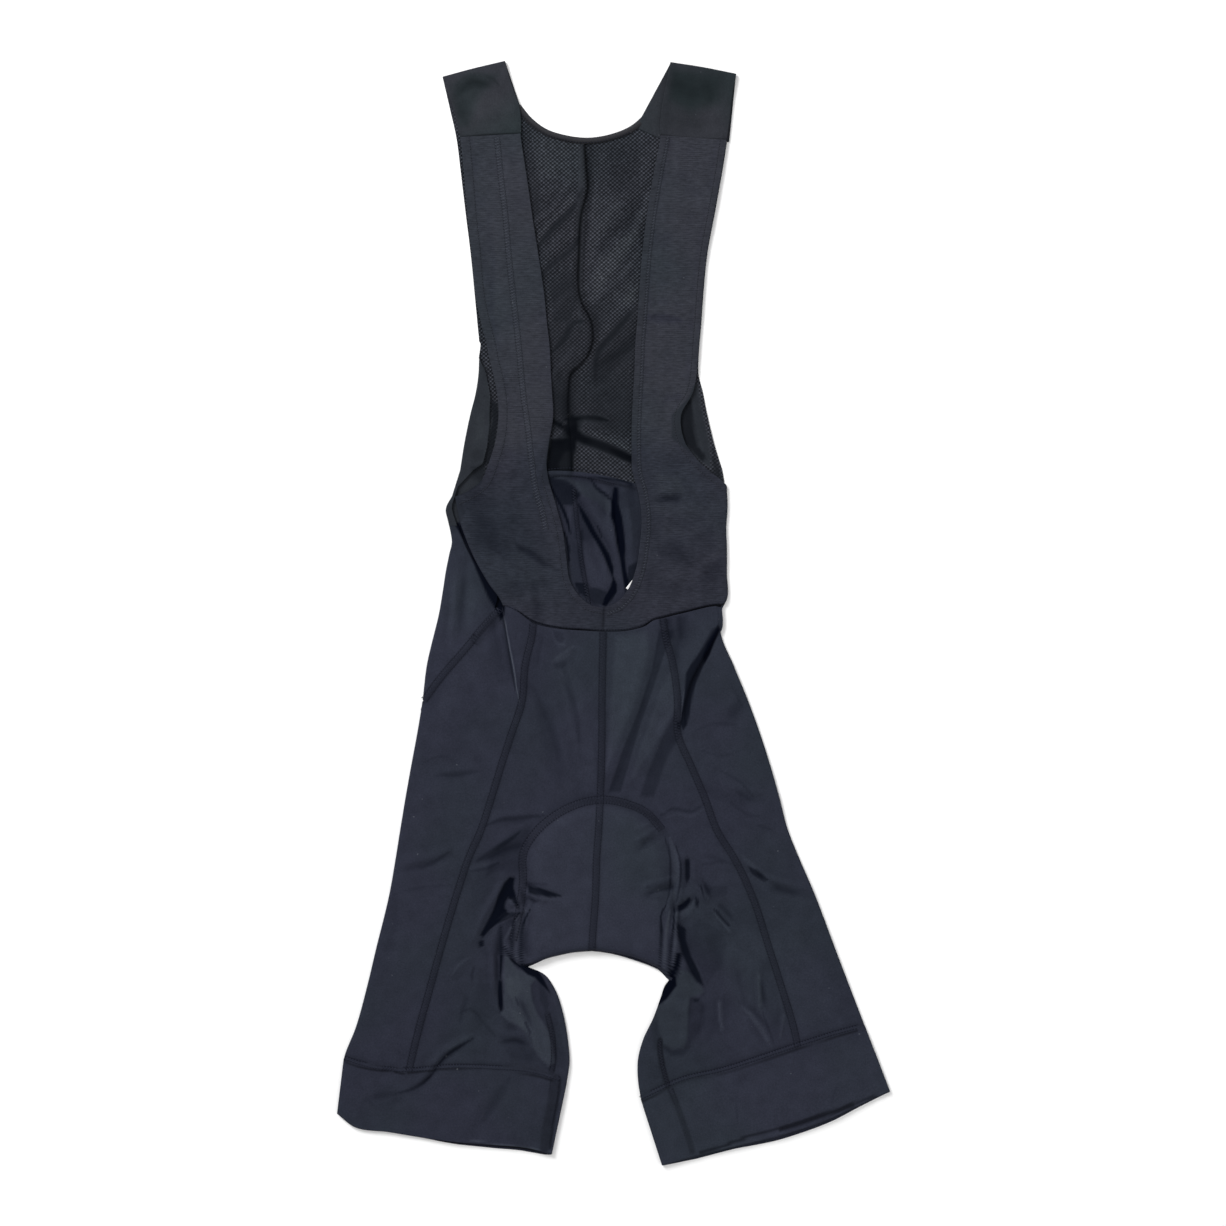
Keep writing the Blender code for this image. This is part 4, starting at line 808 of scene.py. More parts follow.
# Where each cuff is sewn on and where its hem lies, in front, from the outer fold to the inner one.
CUFF_COLUMNS = ("seam_x", "seam_y", "hem_x", "hem_y")
CUFF_LEFT = (
    (-242.0, -400.5, -247.5, -450.0),
    (-229.5, -405.0, -233.0, -461.0),
    (-195.0, -411.5, -201.5, -466.0),
    (-143.0, -408.5, -147.0, -474.5),
    (-109.0, -409.5, -110.0, -477.5),
    (-71.0, -413.0, -76.0, -480.5),
    (-41.5, -422.0, -55.5, -486.0),
)
CUFF_RIGHT = (
    (226.5, -371.5, 248.5, -430.0),
    (201.5, -378.0, 228.5, -438.5),
    (166.5, -389.0, 187.0, -457.0),
    (132.5, -400.5, 149.0, -469.5),
    (98.0, -411.5, 98.0, -481.5),
    (63.5, -419.5, 66.5, -489.5),
    (25.0, -437.0, 44.5, -496.0),
)

# Rows of a panel: beside the pleat, down the thigh, past the crotch and down the leg, and the levels between them.
ROWS_PLEAT, ROWS_THIGH, ROWS_CROTCH, ROWS_LEG = 48, 96, 20, 56
PLEAT_END_LEFT, PLEAT_END_RIGHT, THIGH_END, CROTCH_END = -80.0, -95.0, -260.0, -300.0
SEAM_COLUMNS, SIDE_COLUMNS, UNDER_COLUMNS, INNER_COLUMNS, FRONT_COLUMNS = 10, 30, 26, 36, 100
TURN_STEPS = 7           # columns of points round an inner fold
SIDE_LANE = 12.0         # from the front seam to where the side panel's pleat would be, below it
LANE_ROWS = 30           # the rows over which that place moves there
FRONT_TAIL = 3.0         # the last of a panel that ends before a fold
CROSSING = 0.45          # share of a full turn where a seam runs over a fold
CROSSING_ROWS = 5        # the rows over which it comes to the full turn

# The crotch: its middle, its level there and how it bows; the pad: its middle, the foot of its arch and its reach.
CROTCH_X, CROTCH_Y, CROTCH_BOW = -19.0, -303.5, 0.0042
PAD_X, PAD_Y, PAD_REACH, PAD_RISE = -13.0, -228.5, 71.0, 64.5
PAD_LIFT = 5.0           # how far the pad lifts the front
CROTCH_DIP = 1.1         # how far the front falls on either side of the crotch
PLEAT_REACH = 20.0       # how far from its edge a pleat still lifts the cloth

# The folds of the upper layer.
SHORTS_FOLDS = (
    # the front, below the bib
    (-0.9, 3.6, 4.4, 0.6, 0.8, 42.5, -21.5, 35, -49.5, 29, -77.5, 19, -110, 8, -138.5, 0, -157.5),
    (0.8, 7.2, 4.8, 0.5, 0.6, 31.5, -24.5, 20.5, -60.5, 11, -92, -1, -125),
    (0.8, 4, 7.2, 0.4, 0.7, 49.5, -47, 40.5, -83, 29, -114.5, 18, -146),
    (-0.7, 9.6, 6.4, 0.8, 0.2, 64, -92, 51.5, -116, 38, -137, 28, -158.5),
    (0.6, 4.8, 4.8, 0.2, 0.6, 60.5, -78.5, 44, -103.5, 29.5, -125),
    (-1.4, 5.6, 5.6, 0.3, 0.3, -74, -65, -60.5, -92, -51.5, -119, -47.5, -155),
    (1.3, 5.6, 5.6, 0.3, 0.3, -65, -53, -51.5, -83, -40.5, -119, -35, -155),
    (-1.1, 4.8, 4.8, 0.2, 0.3, -46, -44, -38, -69.5, -30.5, -101, -28, -132.5),
    (1.1, 4, 4, 0.2, 0.2, -51.5, -38, -42.5, -42.5, -36, -33.5),
    (-1, 2.4, 2.4, 0.5, 0.5, 59.5, -6.5, 61, -17, 62, -29),
    (-1, 2, 2, 0.5, 0.5, 50.5, -4.5, 52, -15.5),
    (-0.8, 4, 4, 0.3, 0.3, -61, -17, -65.5, -33.5, -67.5, -53),
    # the left hip and side
    (1.4, 4, 2.8, 0.3, 0.2, -142, 37, -142, 11.5, -144, -11, -146, -38),
    (-1.6, 7.2, 4, 0.4, 0.3, -132.5, 43, -136, 11.5, -138.5, -24.5),
    (-1.2, 4.8, 7.2, 0.6, 0.3, -116, 22.5, -109, 1, -104.5, -24.5, -99, -49.5),
    (0.8, 3.2, 3.2, 0, 0, -141.5, -92.5, -137.5, -98, -135, -102.5),
    (-0.8, 2.4, 2.4, 0.2, 0.2, -157.5, -146, -145, -146, -136, -145, -121.5, -143),
    (0.8, 3.2, 3.2, 0.2, 0.2, -155.5, -141.5, -139.5, -141.5, -123.5, -138.5),
    (0.8, 11.2, 11.2, 0.2, 0.2, -145, -69.5, -148.5, -105.5, -155.5, -137),
    (-1, 3.2, 4, 0.2, 0.6, -191.5, -231.5, -177.5, -228.5, -163, -224, -148.5, -218),
    (1, 4.8, 4, 0.2, 0.6, -190, -226, -175.5, -223, -161, -218.5, -146.5, -211.5),
    (1.3, 16, 16, 0.1, 0.1, -166.5, -168.5, -178, -222.5, -187, -267.5),
    (-0.8, 6.4, 6.4, 0.1, 0.1, -195.5, -263, -199, -290, -206, -312.5),
    (0.8, 7.2, 7.2, 0.1, 0.1, -185.5, -263, -190, -303.5, -199, -339.5),
    # the left thigh
    (0.9, 4, 5.6, 0.2, 0.5, -112.5, -185.5, -97, -182, -81, -181, -65, -179),
    (-0.9, 3.2, 3.2, 0.2, 0.5, -111.5, -190, -97, -187, -82, -186.5, -67.5, -183.5),
    (1.3, 4, 6.4, 0.8, 0.2, -82, -198, -96.5, -204.5, -110.5, -212.5, -125, -219.5),
    (-1.2, 4, 3.6, 0.8, 0.2, -83, -209, -97, -213.5, -110.5, -219.5, -126, -225),
    (1, 4.8, 4.8, 0.3, 0.3, -86.5, -220.5, -101.5, -224, -116, -229.5, -132.5, -234),
    (1.6, 2.8, 4, 0.4, 0.4, -95.5, -233, -104.5, -252, -116, -272, -125, -292.5),
    (-2.4, 4, 3.6, 0.6, 0.3, -89, -239.5, -95.5, -256.5, -106, -275.5, -119.5, -298),
    (3.5, 2.8, 2.4, 0.9, 0.3, -81, -266.5, -93.5, -272, -107, -278),
    (2.7, 2.8, 2.4, 0.8, 0.2, -85.5, -258.5, -90, -261, -94.5, -262),
    (-3.5, 2.4, 2.4, 0.2, 0.2, -101, -278, -102.5, -299, -102.5, -326, -101, -357.5),
    (2.4, 2.8, 2.8, 0.1, 0.2, -107, -285.5, -108, -312.5, -107, -344),
    (1.6, 7.2, 2.4, 0.5, 0.2, -95.5, -305, -90, -317.5, -77.5, -344, -65, -370, -54, -406),
    (1.9, 4, 3.2, 0.2, 0.2, -99, -348.5, -88, -366.5, -76.5, -386, -65.5, -404),
    (-1.6, 2.4, 2.4, 0.1, 0.1, -85.5, -344, -78.5, -359, -71, -375.5),
    (-2.6, 2.4, 2.4, 0.5, 0.4, -94.5, -308.5, -83.5, -317, -72, -322, -62, -329.5),
    (1.1, 2.8, 2.8, 0.2, 0.2, -131.5, -312.5, -139.5, -319.5, -146.5, -325),
    (-1, 3.2, 3.2, 0.1, 0.1, -128.5, -339.5, -135, -357.5, -137, -375.5),
    (1.1, 5.6, 5.6, 0.1, 0.1, -121.5, -326, -125, -353, -124, -380),
    (1.1, 3.2, 3.2, 0.2, 0.2, -99, -380.5, -87.5, -379, -76.5, -381.5),
    (-1.1, 2.4, 2.4, 0.2, 0.2, -101.5, -386, -89, -384.5, -74.5, -388),
    (1.8, 2.4, 4, 0.2, 0.2, -128, -379, -139.5, -387, -150.5, -394, -163, -407.5, -173.5, -420.5, -186.5, -427.5),
    (-1.9, 2.4, 2.4, 0.2, 0.2, -126, -383.5, -137.5, -390.5, -148.5, -398, -160, -410.5, -171, -423, -182.5, -430),
    # the seat pad's slits and its upper right
    (-1.6, 2.4, 2.4, 0.9, 0.2, -77.5, -244, -68.5, -247.5, -59.5, -251, -47, -254.5),
    (1.6, 2.8, 2.8, 0.9, 0.2, -77.5, -251, -67.5, -254.5, -56.5, -258.5),
    (-1.6, 2, 2, 0.9, 0.1, -76.5, -256.5, -68.5, -257.5, -62, -256.5),
    (-1.6, 2.4, 2.4, 0.2, 0.8, 27, -254, 38, -250, 53, -246.5),
    (1.3, 2.8, 2.8, 0.2, 0.8, 24.5, -245.5, 38, -244, 53, -239.5),
    (1.4, 2.8, 2.8, 0.2, 0.3, 19, -206, 29, -200.5, 39.5, -195.5),
    (-1.4, 2.4, 2.4, 0.2, 0.3, 22.5, -210.5, 31.5, -205, 41.5, -200),
    (1.1, 2.4, 2.4, 0.2, 0.3, 17, -197, 26, -192.5, 35, -188),
    # the right thigh
    (-2.6, 2.4, 2.4, 0.3, 0.3, 66.5, -220.5, 67.5, -229.5, 67.5, -244),
    (1.9, 3.2, 3.2, 0.3, 0.3, 73, -222.5, 73, -233, 72, -245.5),
    (-3.5, 2.8, 2.8, 0.6, 0.3, 58.5, -266.5, 65.5, -263, 72, -256.5),
    (2.6, 2.8, 2.8, 0.3, 0.3, 75.5, -242, 81, -253, 86.5, -263.5),
    (-1.6, 2.4, 2.4, 0.2, 0.2, 81, -241, 84.5, -247.5, 88, -255.5),
    (1.6, 2.4, 2.4, 0.2, 0.2, 89, -262, 97, -271, 105.5, -280, 112.5, -290),
    (-1.4, 2.4, 2.4, 0.2, 0.2, 92.5, -259, 101, -268, 109, -277),
    (-2, 8.8, 2.4, 0.5, 0.2, 59.5, -273.5, 62, -294.5, 67.5, -314, 78.5, -339.5),
    (1.6, 3.2, 5.6, 0.5, 0.2, 56.5, -281, 58.5, -303.5, 62, -321.5, 69.5, -337.5, 77.5, -350),
    (1.2, 4.8, 4, 0.3, 0.2, 56.5, -326, 63, -335, 67.5, -348.5, 64, -364.5),
    (-1.8, 2.8, 3.6, 0.8, 0.3, 62, -305, 57.5, -323, 50.5, -341, 41.5, -359),
    (1.6, 6.4, 6.4, 0.2, 0.2, 67.5, -357.5, 69.5, -380, 65.5, -398),
    (-1.4, 4.8, 4.8, 0.2, 0.2, 81, -344, 81, -366.5, 75.5, -384.5),
    (2.2, 2.8, 4, 0.2, 0.1, 112.5, -216, 123.5, -227, 136, -236, 152, -242, 173.5, -248.5),
    (-2.7, 2.4, 2.4, 0.3, 0.1, 121.5, -228.5, 129.5, -234, 138.5, -239.5),
    (-1, 4, 4, 0.1, 0.1, 139.5, -245.5, 154, -249.5, 172, -255.5),
    (1.4, 3.2, 3.2, 0.1, 0.1, 78.5, -272, 85.5, -303.5, 92, -335),
    (1.6, 2, 2, 0.2, 0.2, 129.5, -324, 130.5, -339.5, 132.5, -355.5),
    (-1.1, 2.4, 2.4, 0.2, 0.2, 133, -328.5, 135, -341, 137, -355.5),
    (1.6, 2, 2, 0.2, 0.2, 115, -353.5, 125, -362.5, 135, -375.5, 143, -391.5),
    (-1.1, 2.4, 2.4, 0.2, 0.2, 119.5, -352, 129.5, -361, 139.5, -372.5),
    (1.4, 2, 2, 0.2, 0.2, 94.5, -348.5, 96.5, -361, 99, -375.5),
    (1.3, 2, 2, 0.2, 0.2, 153, -360, 152, -370, 150.5, -381.5),
    (-1, 4.8, 4.8, 0.1, 0.1, 110, -312.5, 116, -339.5, 123.5, -366.5),
    (1.1, 5.6, 5.6, 0.1, 0.1, 101, -299, 105.5, -330.5, 111.5, -357.5),
    (-1.1, 2.4, 2.4, 0.2, 0.2, 108, -159.5, 118, -164.5, 128.5, -171),
    (1.1, 3.2, 3.2, 0.2, 0.2, 110, -155, 121.5, -159.5, 132.5, -167.5),
    (-0.8, 7.2, 7.2, 0.1, 0.1, 115, -78.5, 110, -89, 103.5, -98),
    (1, 12.8, 12.8, 0.1, 0.1, 119, -114.5, 134, -159.5, 150.5, -204.5),
    (0.8, 14.4, 14.4, 0.1, 0.1, 159.5, -222.5, 179, -267.5, 195.5, -312.5),
    (-0.8, 3.2, 3.2, 0.1, 0.1, 78.5, -218.5, 92, -220.5, 105.5, -227.5),
    # the cuffs
    (-0.8, 6.4, 6.4, 0.1, 0.2, -92.5, -418.5, -103.5, -436.5, -116, -456.5),
    (1, 7.2, 7.2, 0.1, 0.2, -103.5, -418.5, -116, -438.5, -128.5, -458),
    (-1, 4, 5.6, 0.4, 0.1, -191.5, -431, -205, -434.5, -220.5, -435.5),
    (0.8, 4.8, 4.8, 0.1, 0.1, 107, -438.5, 110, -449, 111.5, -461),
)
# Painted shade in the creases, slits and hollows of the shorts, and painted highlights (below 0) on crests and along
# the left pleat's edge: strength, half width, line.
SHORTS_SHADES = (
    (-1.35, 0.7, -99.5, 4.5, -96, -12.5, -93, -29.5, -88.5, -53, -86, -71, -84, -80),
    (0.3, 1.3, -101, 2.5, -97.5, -12.5, -94.5, -29.5, -90.5, -53, -88, -69.5),
    (0.6, 1.1, -101, -282.5, -100.5, -305.5, -101.5, -330.5),
    (-0.7, 1.3, -83.5, -270.5, -92, -284, -97.5, -298, -96, -302),
    (0.72, 1.2, -97.5, -299, -95.5, -304, -91, -312, -83.5, -318),
    (0.9, 1.1, -83.5, -268, -88.5, -276.5, -90.5, -288.5, -91, -310.5),
    (-0.85, 1.7, -78, -267, -84.5, -280.5, -86.5, -292, -86.5, -314),
    (0.9, 1.1, -74, -265, -80.5, -279.5, -82.5, -292, -82, -316),
    (-0.45, 1.2, -81.5, -268.5, -85.5, -269, -103, -279, -110.5, -285),
    (0.9, 1.2, 48.5, -261, 44, -268, 43.5, -288, 42, -318.5),
    (-0.8, 1.8, 51, -267, 48.5, -282.5, 47, -302, 45.5, -319),
    (0.9, 1.1, 55, -263, 54.5, -278.5, 52.5, -298, 50, -323),
    (-0.8, 1.3, 57, -268.5, 56.5, -284.5, 55, -305.5, 52.5, -321),
    (-0.45, 3, 51, -202, 56, -220, 57, -239, 55, -258),
    (0.55, 1, 46, -200.5, 50.5, -215, 51.5, -233, 50.5, -251, 47, -263),
    (0.5, 1, 56.5, -209, 60.5, -224, 60.5, -240.5, 57.5, -258.5),
    (0.55, 1.6, -126, -382.5, -137.5, -389.5, -148.5, -397, -158.5, -407.5),
    (-0.22, 1.6, -128, -379, -139.5, -386, -150.5, -393.5),
    (0.4, 1.8, -158.5, -409.5, -168.5, -420.5, -182.5, -428.5, -195.5, -432),
    (0.14, 9, -192, -435, -205, -438, -220, -437),
    (0.26, 2.2, -174, -230, -161, -224, -148, -215),
    (0.18, 3, -158, -146, -138, -145, -120, -142),
    (0.34, 2.2, -116, -192, -102, -186, -87, -184, -62, -182),
    (0.34, 2.6, -123, -224, -111, -215, -96, -206, -84, -197),
    (0.1, 9, -129, -222, -102, -213, -87, -210),
    (0.3, 2, -129, -232, -116, -230, -102, -224),
    (-0.9, 1.2, -142, 40.5, -143, 20.5, -144, 1, -145, -15.5, -144, -38.5),
    (0.14, 5, -138, 34, -140, 3, -140, -33),
    (0.2, 2.4, 19, -206, 30, -201, 40, -194),
    (0.2, 2, 22, -213, 32, -208, 42, -202),
    (0.16, 2, -103, -386, -89, -384, -76, -387),
    (0.16, 5, -93, -418, -104, -436, -116, -456),
    (0.34, 1.5, 42.5, -182, 55, -176, 69.5, -178.5, 82.5, -171),
    (-0.2, 1.4, 44, -186.5, 56.5, -180.5, 70.5, -182.5, 82.5, -176),
    (0.22, 1.5, 105.5, -170.5, 121.5, -181, 136, -183.5),
    (0.2, 1.3, 129.5, -190.5, 144, -195.5),
    (0.2, 1.5, 74.5, -105.5, 89, -100, 111.5, -100),
    (0.18, 1.4, 80, -123.5, 96.5, -128.5, 114.5, -123.5),
    (0.22, 1.5, 96.5, -141.5, 114.5, -152, 126, -164.5),
    (0.16, 1.5, -170, -134, -152, -128.5, -137, -136),
    (0.14, 1.5, -197, -253, -177.5, -247.5, -145, -244.5),
    (0.24, 1.3, -138.5, -360, -128.5, -356, -119, -363.5),
    (0.2, 1.3, -120.5, -363.5, -105.5, -380.5),
    (-0.22, 1.2, -145, -325.5, -137.5, -315, -127, -308.5),
    (0.32, 1.3, 134, -357.5, 139.5, -373.5, 144, -386),
    (0.16, 1.3, 110.5, -441, 112, -456.5),
    (0.16, 1.3, 201.5, -424, 195.5, -442.5),
    (0.2, 1.5, 80, -226.5, 96.5, -223.5, 112.5, -226.5),
    (-0.28, 2.2, -55, -44, -48, -39, -41, -34, -35, -29),
    (-0.3, 1.3, -55, -15.5, -51.5, -26, -42.5, -29.5),
    (-0.5, 0.8, 64, -67.5, 62.5, -80, 60.5, -98),
    (-0.2, 1.3, -49.5, -42.5, -38.5, -37),
    (0.1, 2.6, -48, -55, -39, -73, -33, -94, -30, -120),
    (0.2, 1.4, 58.5, -80, 62, -91.5),
    (0.16, 1.6, 107, -65.5, 118.5, -87.5),
    (-0.7, 0.8, -142, -471.5, -106, -477, -70, -481.5, -55, -484),
    (-0.25, 1.2, 74.5, -489.5, 105.5, -479.5, 125, -474, 152, -467, 173.5, -461.5),
)

# The flat facets between the deeper creases, with their lift and their painted shade and painted highlights.
SHORTS_FACETS = (
    # slow changes of light: the pad and the right cuff lie lighter, the hollows inside the thighs darker
    (0, -0.16, 8, -71, -201, -48, -183, -9, -174, 29, -184, 46, -204, 50, -240, 42, -303, -75, -303, -76, -240),
    (0, -0.13, 10, 24, -431, 248, -375, 258, -429, 42, -501),
    (0, -0.08, 8, -156, 48, -120, 12, -111, -24, -138, -78, -183, -132, -174, -33),
    (0, -0.1, 8, 96, -294, 168, -276, 204, -366, 114, -402),
    (0, 0.3, 3, -114, -237, -111, -219, -100, -204, -85, -194, -73, -190, -78, -209, -83, -231, -91, -234, -102, -230),
    (0, 0.04, 5, -156, -339, -129, -294, -104, -285, -102, -375, -129, -393, -165, -384),
    # the front
    (-0.3, 0.38, 1.3, 41.5, -15.5, 56, -15.5, 46, -37, 34.5, -73, 24.5, -101.5, 7, -161, -4, -161, 8.5, -123.5, 23,
     -87.5, 35, -51.5),
    (-0.2, 0.34, 2, 57, -89, 62, -109, 49, -130, 37, -165, 24, -165, 32, -141, 44, -112),
    (0.3, -0.3, 3, 3, -22, 30, -17, 33, -37, 19, -84, 4, -120, -6, -141),
    (0, -0.28, 2.4, 44, -66, 53, -51, 57, -84, 44, -109, 21, -145, 15, -152, 28, -112),
    (0, 0.09, 3, -71, -66, -57, -87, -48, -112, -42, -152, -57, -152, -66, -109),
    (0.15, -0.08, 2.5, -53, -37, -33, -51, -19, -109, -15, -152, -33, -152, -40, -102),
    (0, 0.22, 1.2, 40.5, -6.5, 53, -4.5, 60.5, -29.5, 56.5, -51.5, 50, -37),
    (0, 0.26, 1, 57.5, -2.5, 65, -2.5, 65.5, -22.5, 61, -24.5),
    (0, -0.1, 1.8, -53, -26, -42.5, -24.5, -37, -31.5, -47.5, -37),
    # painted shadow on the left hip beside the pleat, and in the right pleat's hollow
    (-0.4, 0.95, 1.2, -146.5, 86.5, -138.5, 73, -131.5, 58.5, -125, 44, -119, 29.5, -112.5, 14.5, -105.5, 2.5, -101,
     -6.5, -97.5, -1.5, -96.5, 10, -101, 20, -114.5, 40.5, -123.5, 62, -134, 78.5),
    (0, 0.14, 1.4, -100, 1, -95, -11.5, -88, -37, -83.5, -65.5, -87.5, -69.5, -94, -47.5, -99.5, -22.5),
    (-0.3, 0.77, 0.9, 94.5, -10, 87, -20, 83, -27, 76.5, -37, 69.5, -46.5, 65.5, -54, 64.5, -67.5, 63.5, -77.5, 62,
     -86.5, 60, -98, 63, -105.5, 67, -100, 69.5, -86.5, 72, -72.5, 75, -62, 81.5, -47, 87, -37.5, 91, -26.5, 96.5,
     -14.5),
    (0, 0.24, 1.4, 93.5, -13.5, 84.5, -28, 80, -39.5, 83, -45, 91, -26, 96.5, -14.5),
    (0, 0.6, 0.8, 56.5, -97, 60.5, -98, 61, -104.5, 57.5, -103.5),
    (0, 0.2, 1.2, -55, -15.5, -45, -18, -44, -24.5, -50.5, -29.5, -55, -24.5),
    (0, 0.26, 0.9, -54, -46, -47.5, -44, -41.5, -43, -42.5, -48.5, -50.5, -50.5),
    (0, 0.07, 4, -70, -15, -55, -14, -58, -42, -55, -78, -48, -132, -58, -132, -71, -89, -74, -66),
    (0, 0.1, 1.6, -47, -46, -41.5, -46, -36, -65.5, -30.5, -92, -28, -116, -32.5, -116, -38, -89, -43, -64),
    (0, -0.1, 3, -141, 46, -129, 35, -122, 14, -129, -15, -145, -30, -147, 6),
    (0, 0.1, 3, -170, -51, -148, -30, -145, -51, -159, -87, -174, -109),
    (0, 0.1, 2.5, -111, -8, -100, -15, -89, -58, -102, -66, -111, -37),
    # the left thigh
    (-0.9, 0.92, 0.9, -92.5, -237, -88.5, -238, -89.5, -246.5, -86.5, -257, -83.5, -265.5, -85, -265.5, -90.5, -258.5,
     -94.5, -256, -97, -260, -97.5, -265, -94.5, -269, -83.5, -269, -93.5, -274, -103, -279.5, -111, -285, -117, -292,
     -119.5, -290, -114, -279.5, -108, -268, -103, -253.5, -97.5, -242.5),
    (0.3, -0.12, 0.8, -94, -257.5, -90.5, -259, -85, -266, -86, -268.5, -94, -268, -96.5, -264),
    (-0.4, 0.8, 0.8, -121, -295, -116.5, -294.5, -116, -299.5, -120, -300.5),
    (0.1, 0.24, 1, -103, -281, -90.5, -275, -88.5, -277.5, -93, -290, -96, -297.5, -97, -305.5, -98, -323.5, -101.5,
     -326, -102.5, -302),
    (-0.8, 0.92, 0.8, -103, -330.5, -100, -331.5, -99.5, -342.5, -98, -356.5, -101, -358.5, -103, -352.5, -103.5,
     -340.5),
    (-0.5, 0.94, 0.9, -85, -317, -75.5, -316, -68, -320.5, -61, -331.5, -56, -342, -64, -334, -70, -327.5, -76.5, -325),
    (1.1, -0.5, 1.3, -97.5, -305.5, -93.5, -309.5, -85.5, -320, -76, -325, -69, -328.5, -74, -334, -72.5, -348.5, -68,
     -360, -58.5, -374, -54, -389.5, -52, -404.5, -58, -407.5, -68, -397.5, -73.5, -380.5, -82, -372.5, -93.5, -367.5,
     -100.5, -361, -97.5, -340.5, -99.5, -325),
    (0, -0.3, 1.2, -96.5, -329, -85.5, -325, -81.5, -339, -88.5, -348.5, -95.5, -340.5),
    (0, -0.25, 0.9, -88.5, -355.5, -81.5, -365, -74, -379, -69, -392.5, -71.5, -393.5, -77.5, -381, -85.5, -368.5, -91,
     -358),
    (0, 0.7, 0.5, -89, -344, -87, -345, -84, -352.5, -85.5, -353),
    (0, 0.75, 0.5, -80, -367.5, -78, -367.5, -73, -377.5, -75, -379),
    (0.2, 0.12, 1.4, -68, -329, -61, -337, -54, -350.5, -48.5, -372, -44.5, -389.5, -42, -410.5, -50.5, -407, -55.5,
     -383.5, -66, -360, -72, -348.5, -73, -335),
    (0, 0.22, 1.4, -66, -332, -61, -339, -57, -352.5, -60.5, -358, -66, -348.5),
    (0, 0.14, 2, -103, -380, -93, -370, -84, -375, -75, -381, -69, -396, -74, -405, -93, -399),
    (0, 0.1, 2.2, -128, -247, -121, -236, -103, -226, -93, -232, -103, -242, -113, -255, -125, -271),
    (0, 0.1, 2.5, -130, -348, -121, -333, -109, -333, -105, -360, -121, -372),
    (0, 0.3, 0.8, -128.5, -325, -125.5, -317.5, -124, -319.5, -127, -333),
    # the pad's slits
    (-0.3, 0.93, 0.8, -76.5, -245.5, -66, -247, -54.5, -251, -45, -254, -54.5, -255, -65, -253.5, -75.5, -251.5),
    (0, 0.28, 0.9, -76, -241, -59, -242.5, -59, -244.5, -76, -244.5),
    (0.3, -0.22, 0.9, -73, -253, -54.5, -256, -48.5, -257.5, -62.5, -258, -70.5, -256),
    (0, 0.5, 0.8, -74, -256, -64.5, -258.5, -71.5, -261),
    (0, 0.26, 1.1, 30.5, -242.5, 42, -240.5, 53, -238.5, 53, -244.5, 40.5, -246.5, 28.5, -247.5),
    (0, 0.22, 1, 28.5, -253, 40.5, -253.5, 48, -255, 42, -257.5, 30, -257),
    # the right thigh
    (-0.4, 0.7, 0.9, 65, -221, 69, -221.5, 69, -237.5, 66.5, -242.5, 65, -237.5),
    (0, 0.22, 1, 60.5, -222, 65, -221, 65, -237.5, 66.5, -245.5, 62.5, -251.5, 60.5, -239.5),
    (0, 0.2, 1.4, 70, -237.5, 83, -246.5, 102.5, -244.5, 102.5, -252.5, 87, -257, 77, -245.5),
    (-0.7, 0.92, 0.9, 58.5, -263.5, 65, -259, 68.5, -255.5, 70, -259, 65.5, -265, 59, -269),
    (-0.3, 0.7, 0.8, 74, -255, 77.5, -259, 76.5, -265, 74, -263),
    (0.8, -0.12, 1.2, 59, -269.5, 66.5, -265.5, 72.5, -258, 73.5, -265, 70, -272, 62, -275.5),
    (-0.3, 0.55, 0.7, 77, -244, 79, -244.5, 84, -257, 82.5, -257.5),
    (0.3, -0.25, 0.7, 79, -244.5, 80.5, -245, 86, -257, 84.5, -258),
    (-0.3, 0.6, 0.7, 89.5, -265.5, 93.5, -266.5, 105.5, -281, 103.5, -282, 93, -270.5),
    (0.3, -0.3, 0.7, 89.5, -268.5, 93, -270.5, 103, -282.5, 106.5, -286, 104.5, -287.5, 92, -273),
    (-0.5, 0.78, 1, 56, -277, 65.5, -284, 65.5, -294, 70.5, -309.5, 77.5, -323, 81.5, -335.5, 75, -331.5, 67.5, -317.5,
     61.5, -304, 58, -290),
    (0.2, 0.2, 1.6, 68, -284.5, 77, -274.5, 96.5, -284.5, 102.5, -298, 96.5, -317.5, 83, -335, 78, -321, 71, -305.5,
     66.5, -294),
    (-0.8, 0.99, 0.8, 57, -305.5, 61.5, -306, 60, -317.5, 56, -325, 57, -335, 48, -347, 39.5, -354, 43.5, -340.5, 49,
     -326, 54, -317.5),
    (1.1, -0.3, 1.6, 59.5, -321, 67.5, -321.5, 79.5, -335, 81.5, -341, 77, -345, 69.5, -345.5, 67.5, -361, 67.5, -379,
     64, -390.5, 53, -392.5, 46, -388, 41.5, -375.5, 39, -360.5, 40.5, -354, 50, -346.5, 58, -335),
    (-0.3, 0.2, 1.6, 46, -389.5, 54, -394, 64, -392.5, 68.5, -380.5, 70, -389.5, 64, -398.5, 51.5, -398.5),
    (0, 0.22, 1.2, 68.5, -345.5, 79.5, -346, 81.5, -356, 78, -375.5, 68.5, -387.5, 66.5, -375.5, 67.5, -360),
    (-0.2, 0.45, 0.7, 72.5, -347, 78, -347, 76.5, -350, 73, -349),
    (0.3, -0.3, 0.8, 94.5, -348.5, 96.5, -350.5, 96.5, -368, 100, -372.5, 98, -373.5, 94.5, -366),
    (0, 0.12, 2.5, 83, -345, 94, -350, 94, -372, 85, -387, 80, -368),
    (0.3, -0.28, 0.8, 129.5, -323, 132.5, -325, 134, -353.5, 130.5, -355.5),
    (0.3, -0.28, 0.8, 115, -353, 125, -360, 136, -373.5, 143, -391.5, 137.5, -384.5, 123.5, -364.5),
    (0.3, -0.24, 0.8, 94.5, -348.5, 98, -349, 100, -375.5, 96.5, -375.5),
    (0.3, -0.24, 0.8, 153, -360, 155, -361, 151, -382.5, 149.5, -380.5),
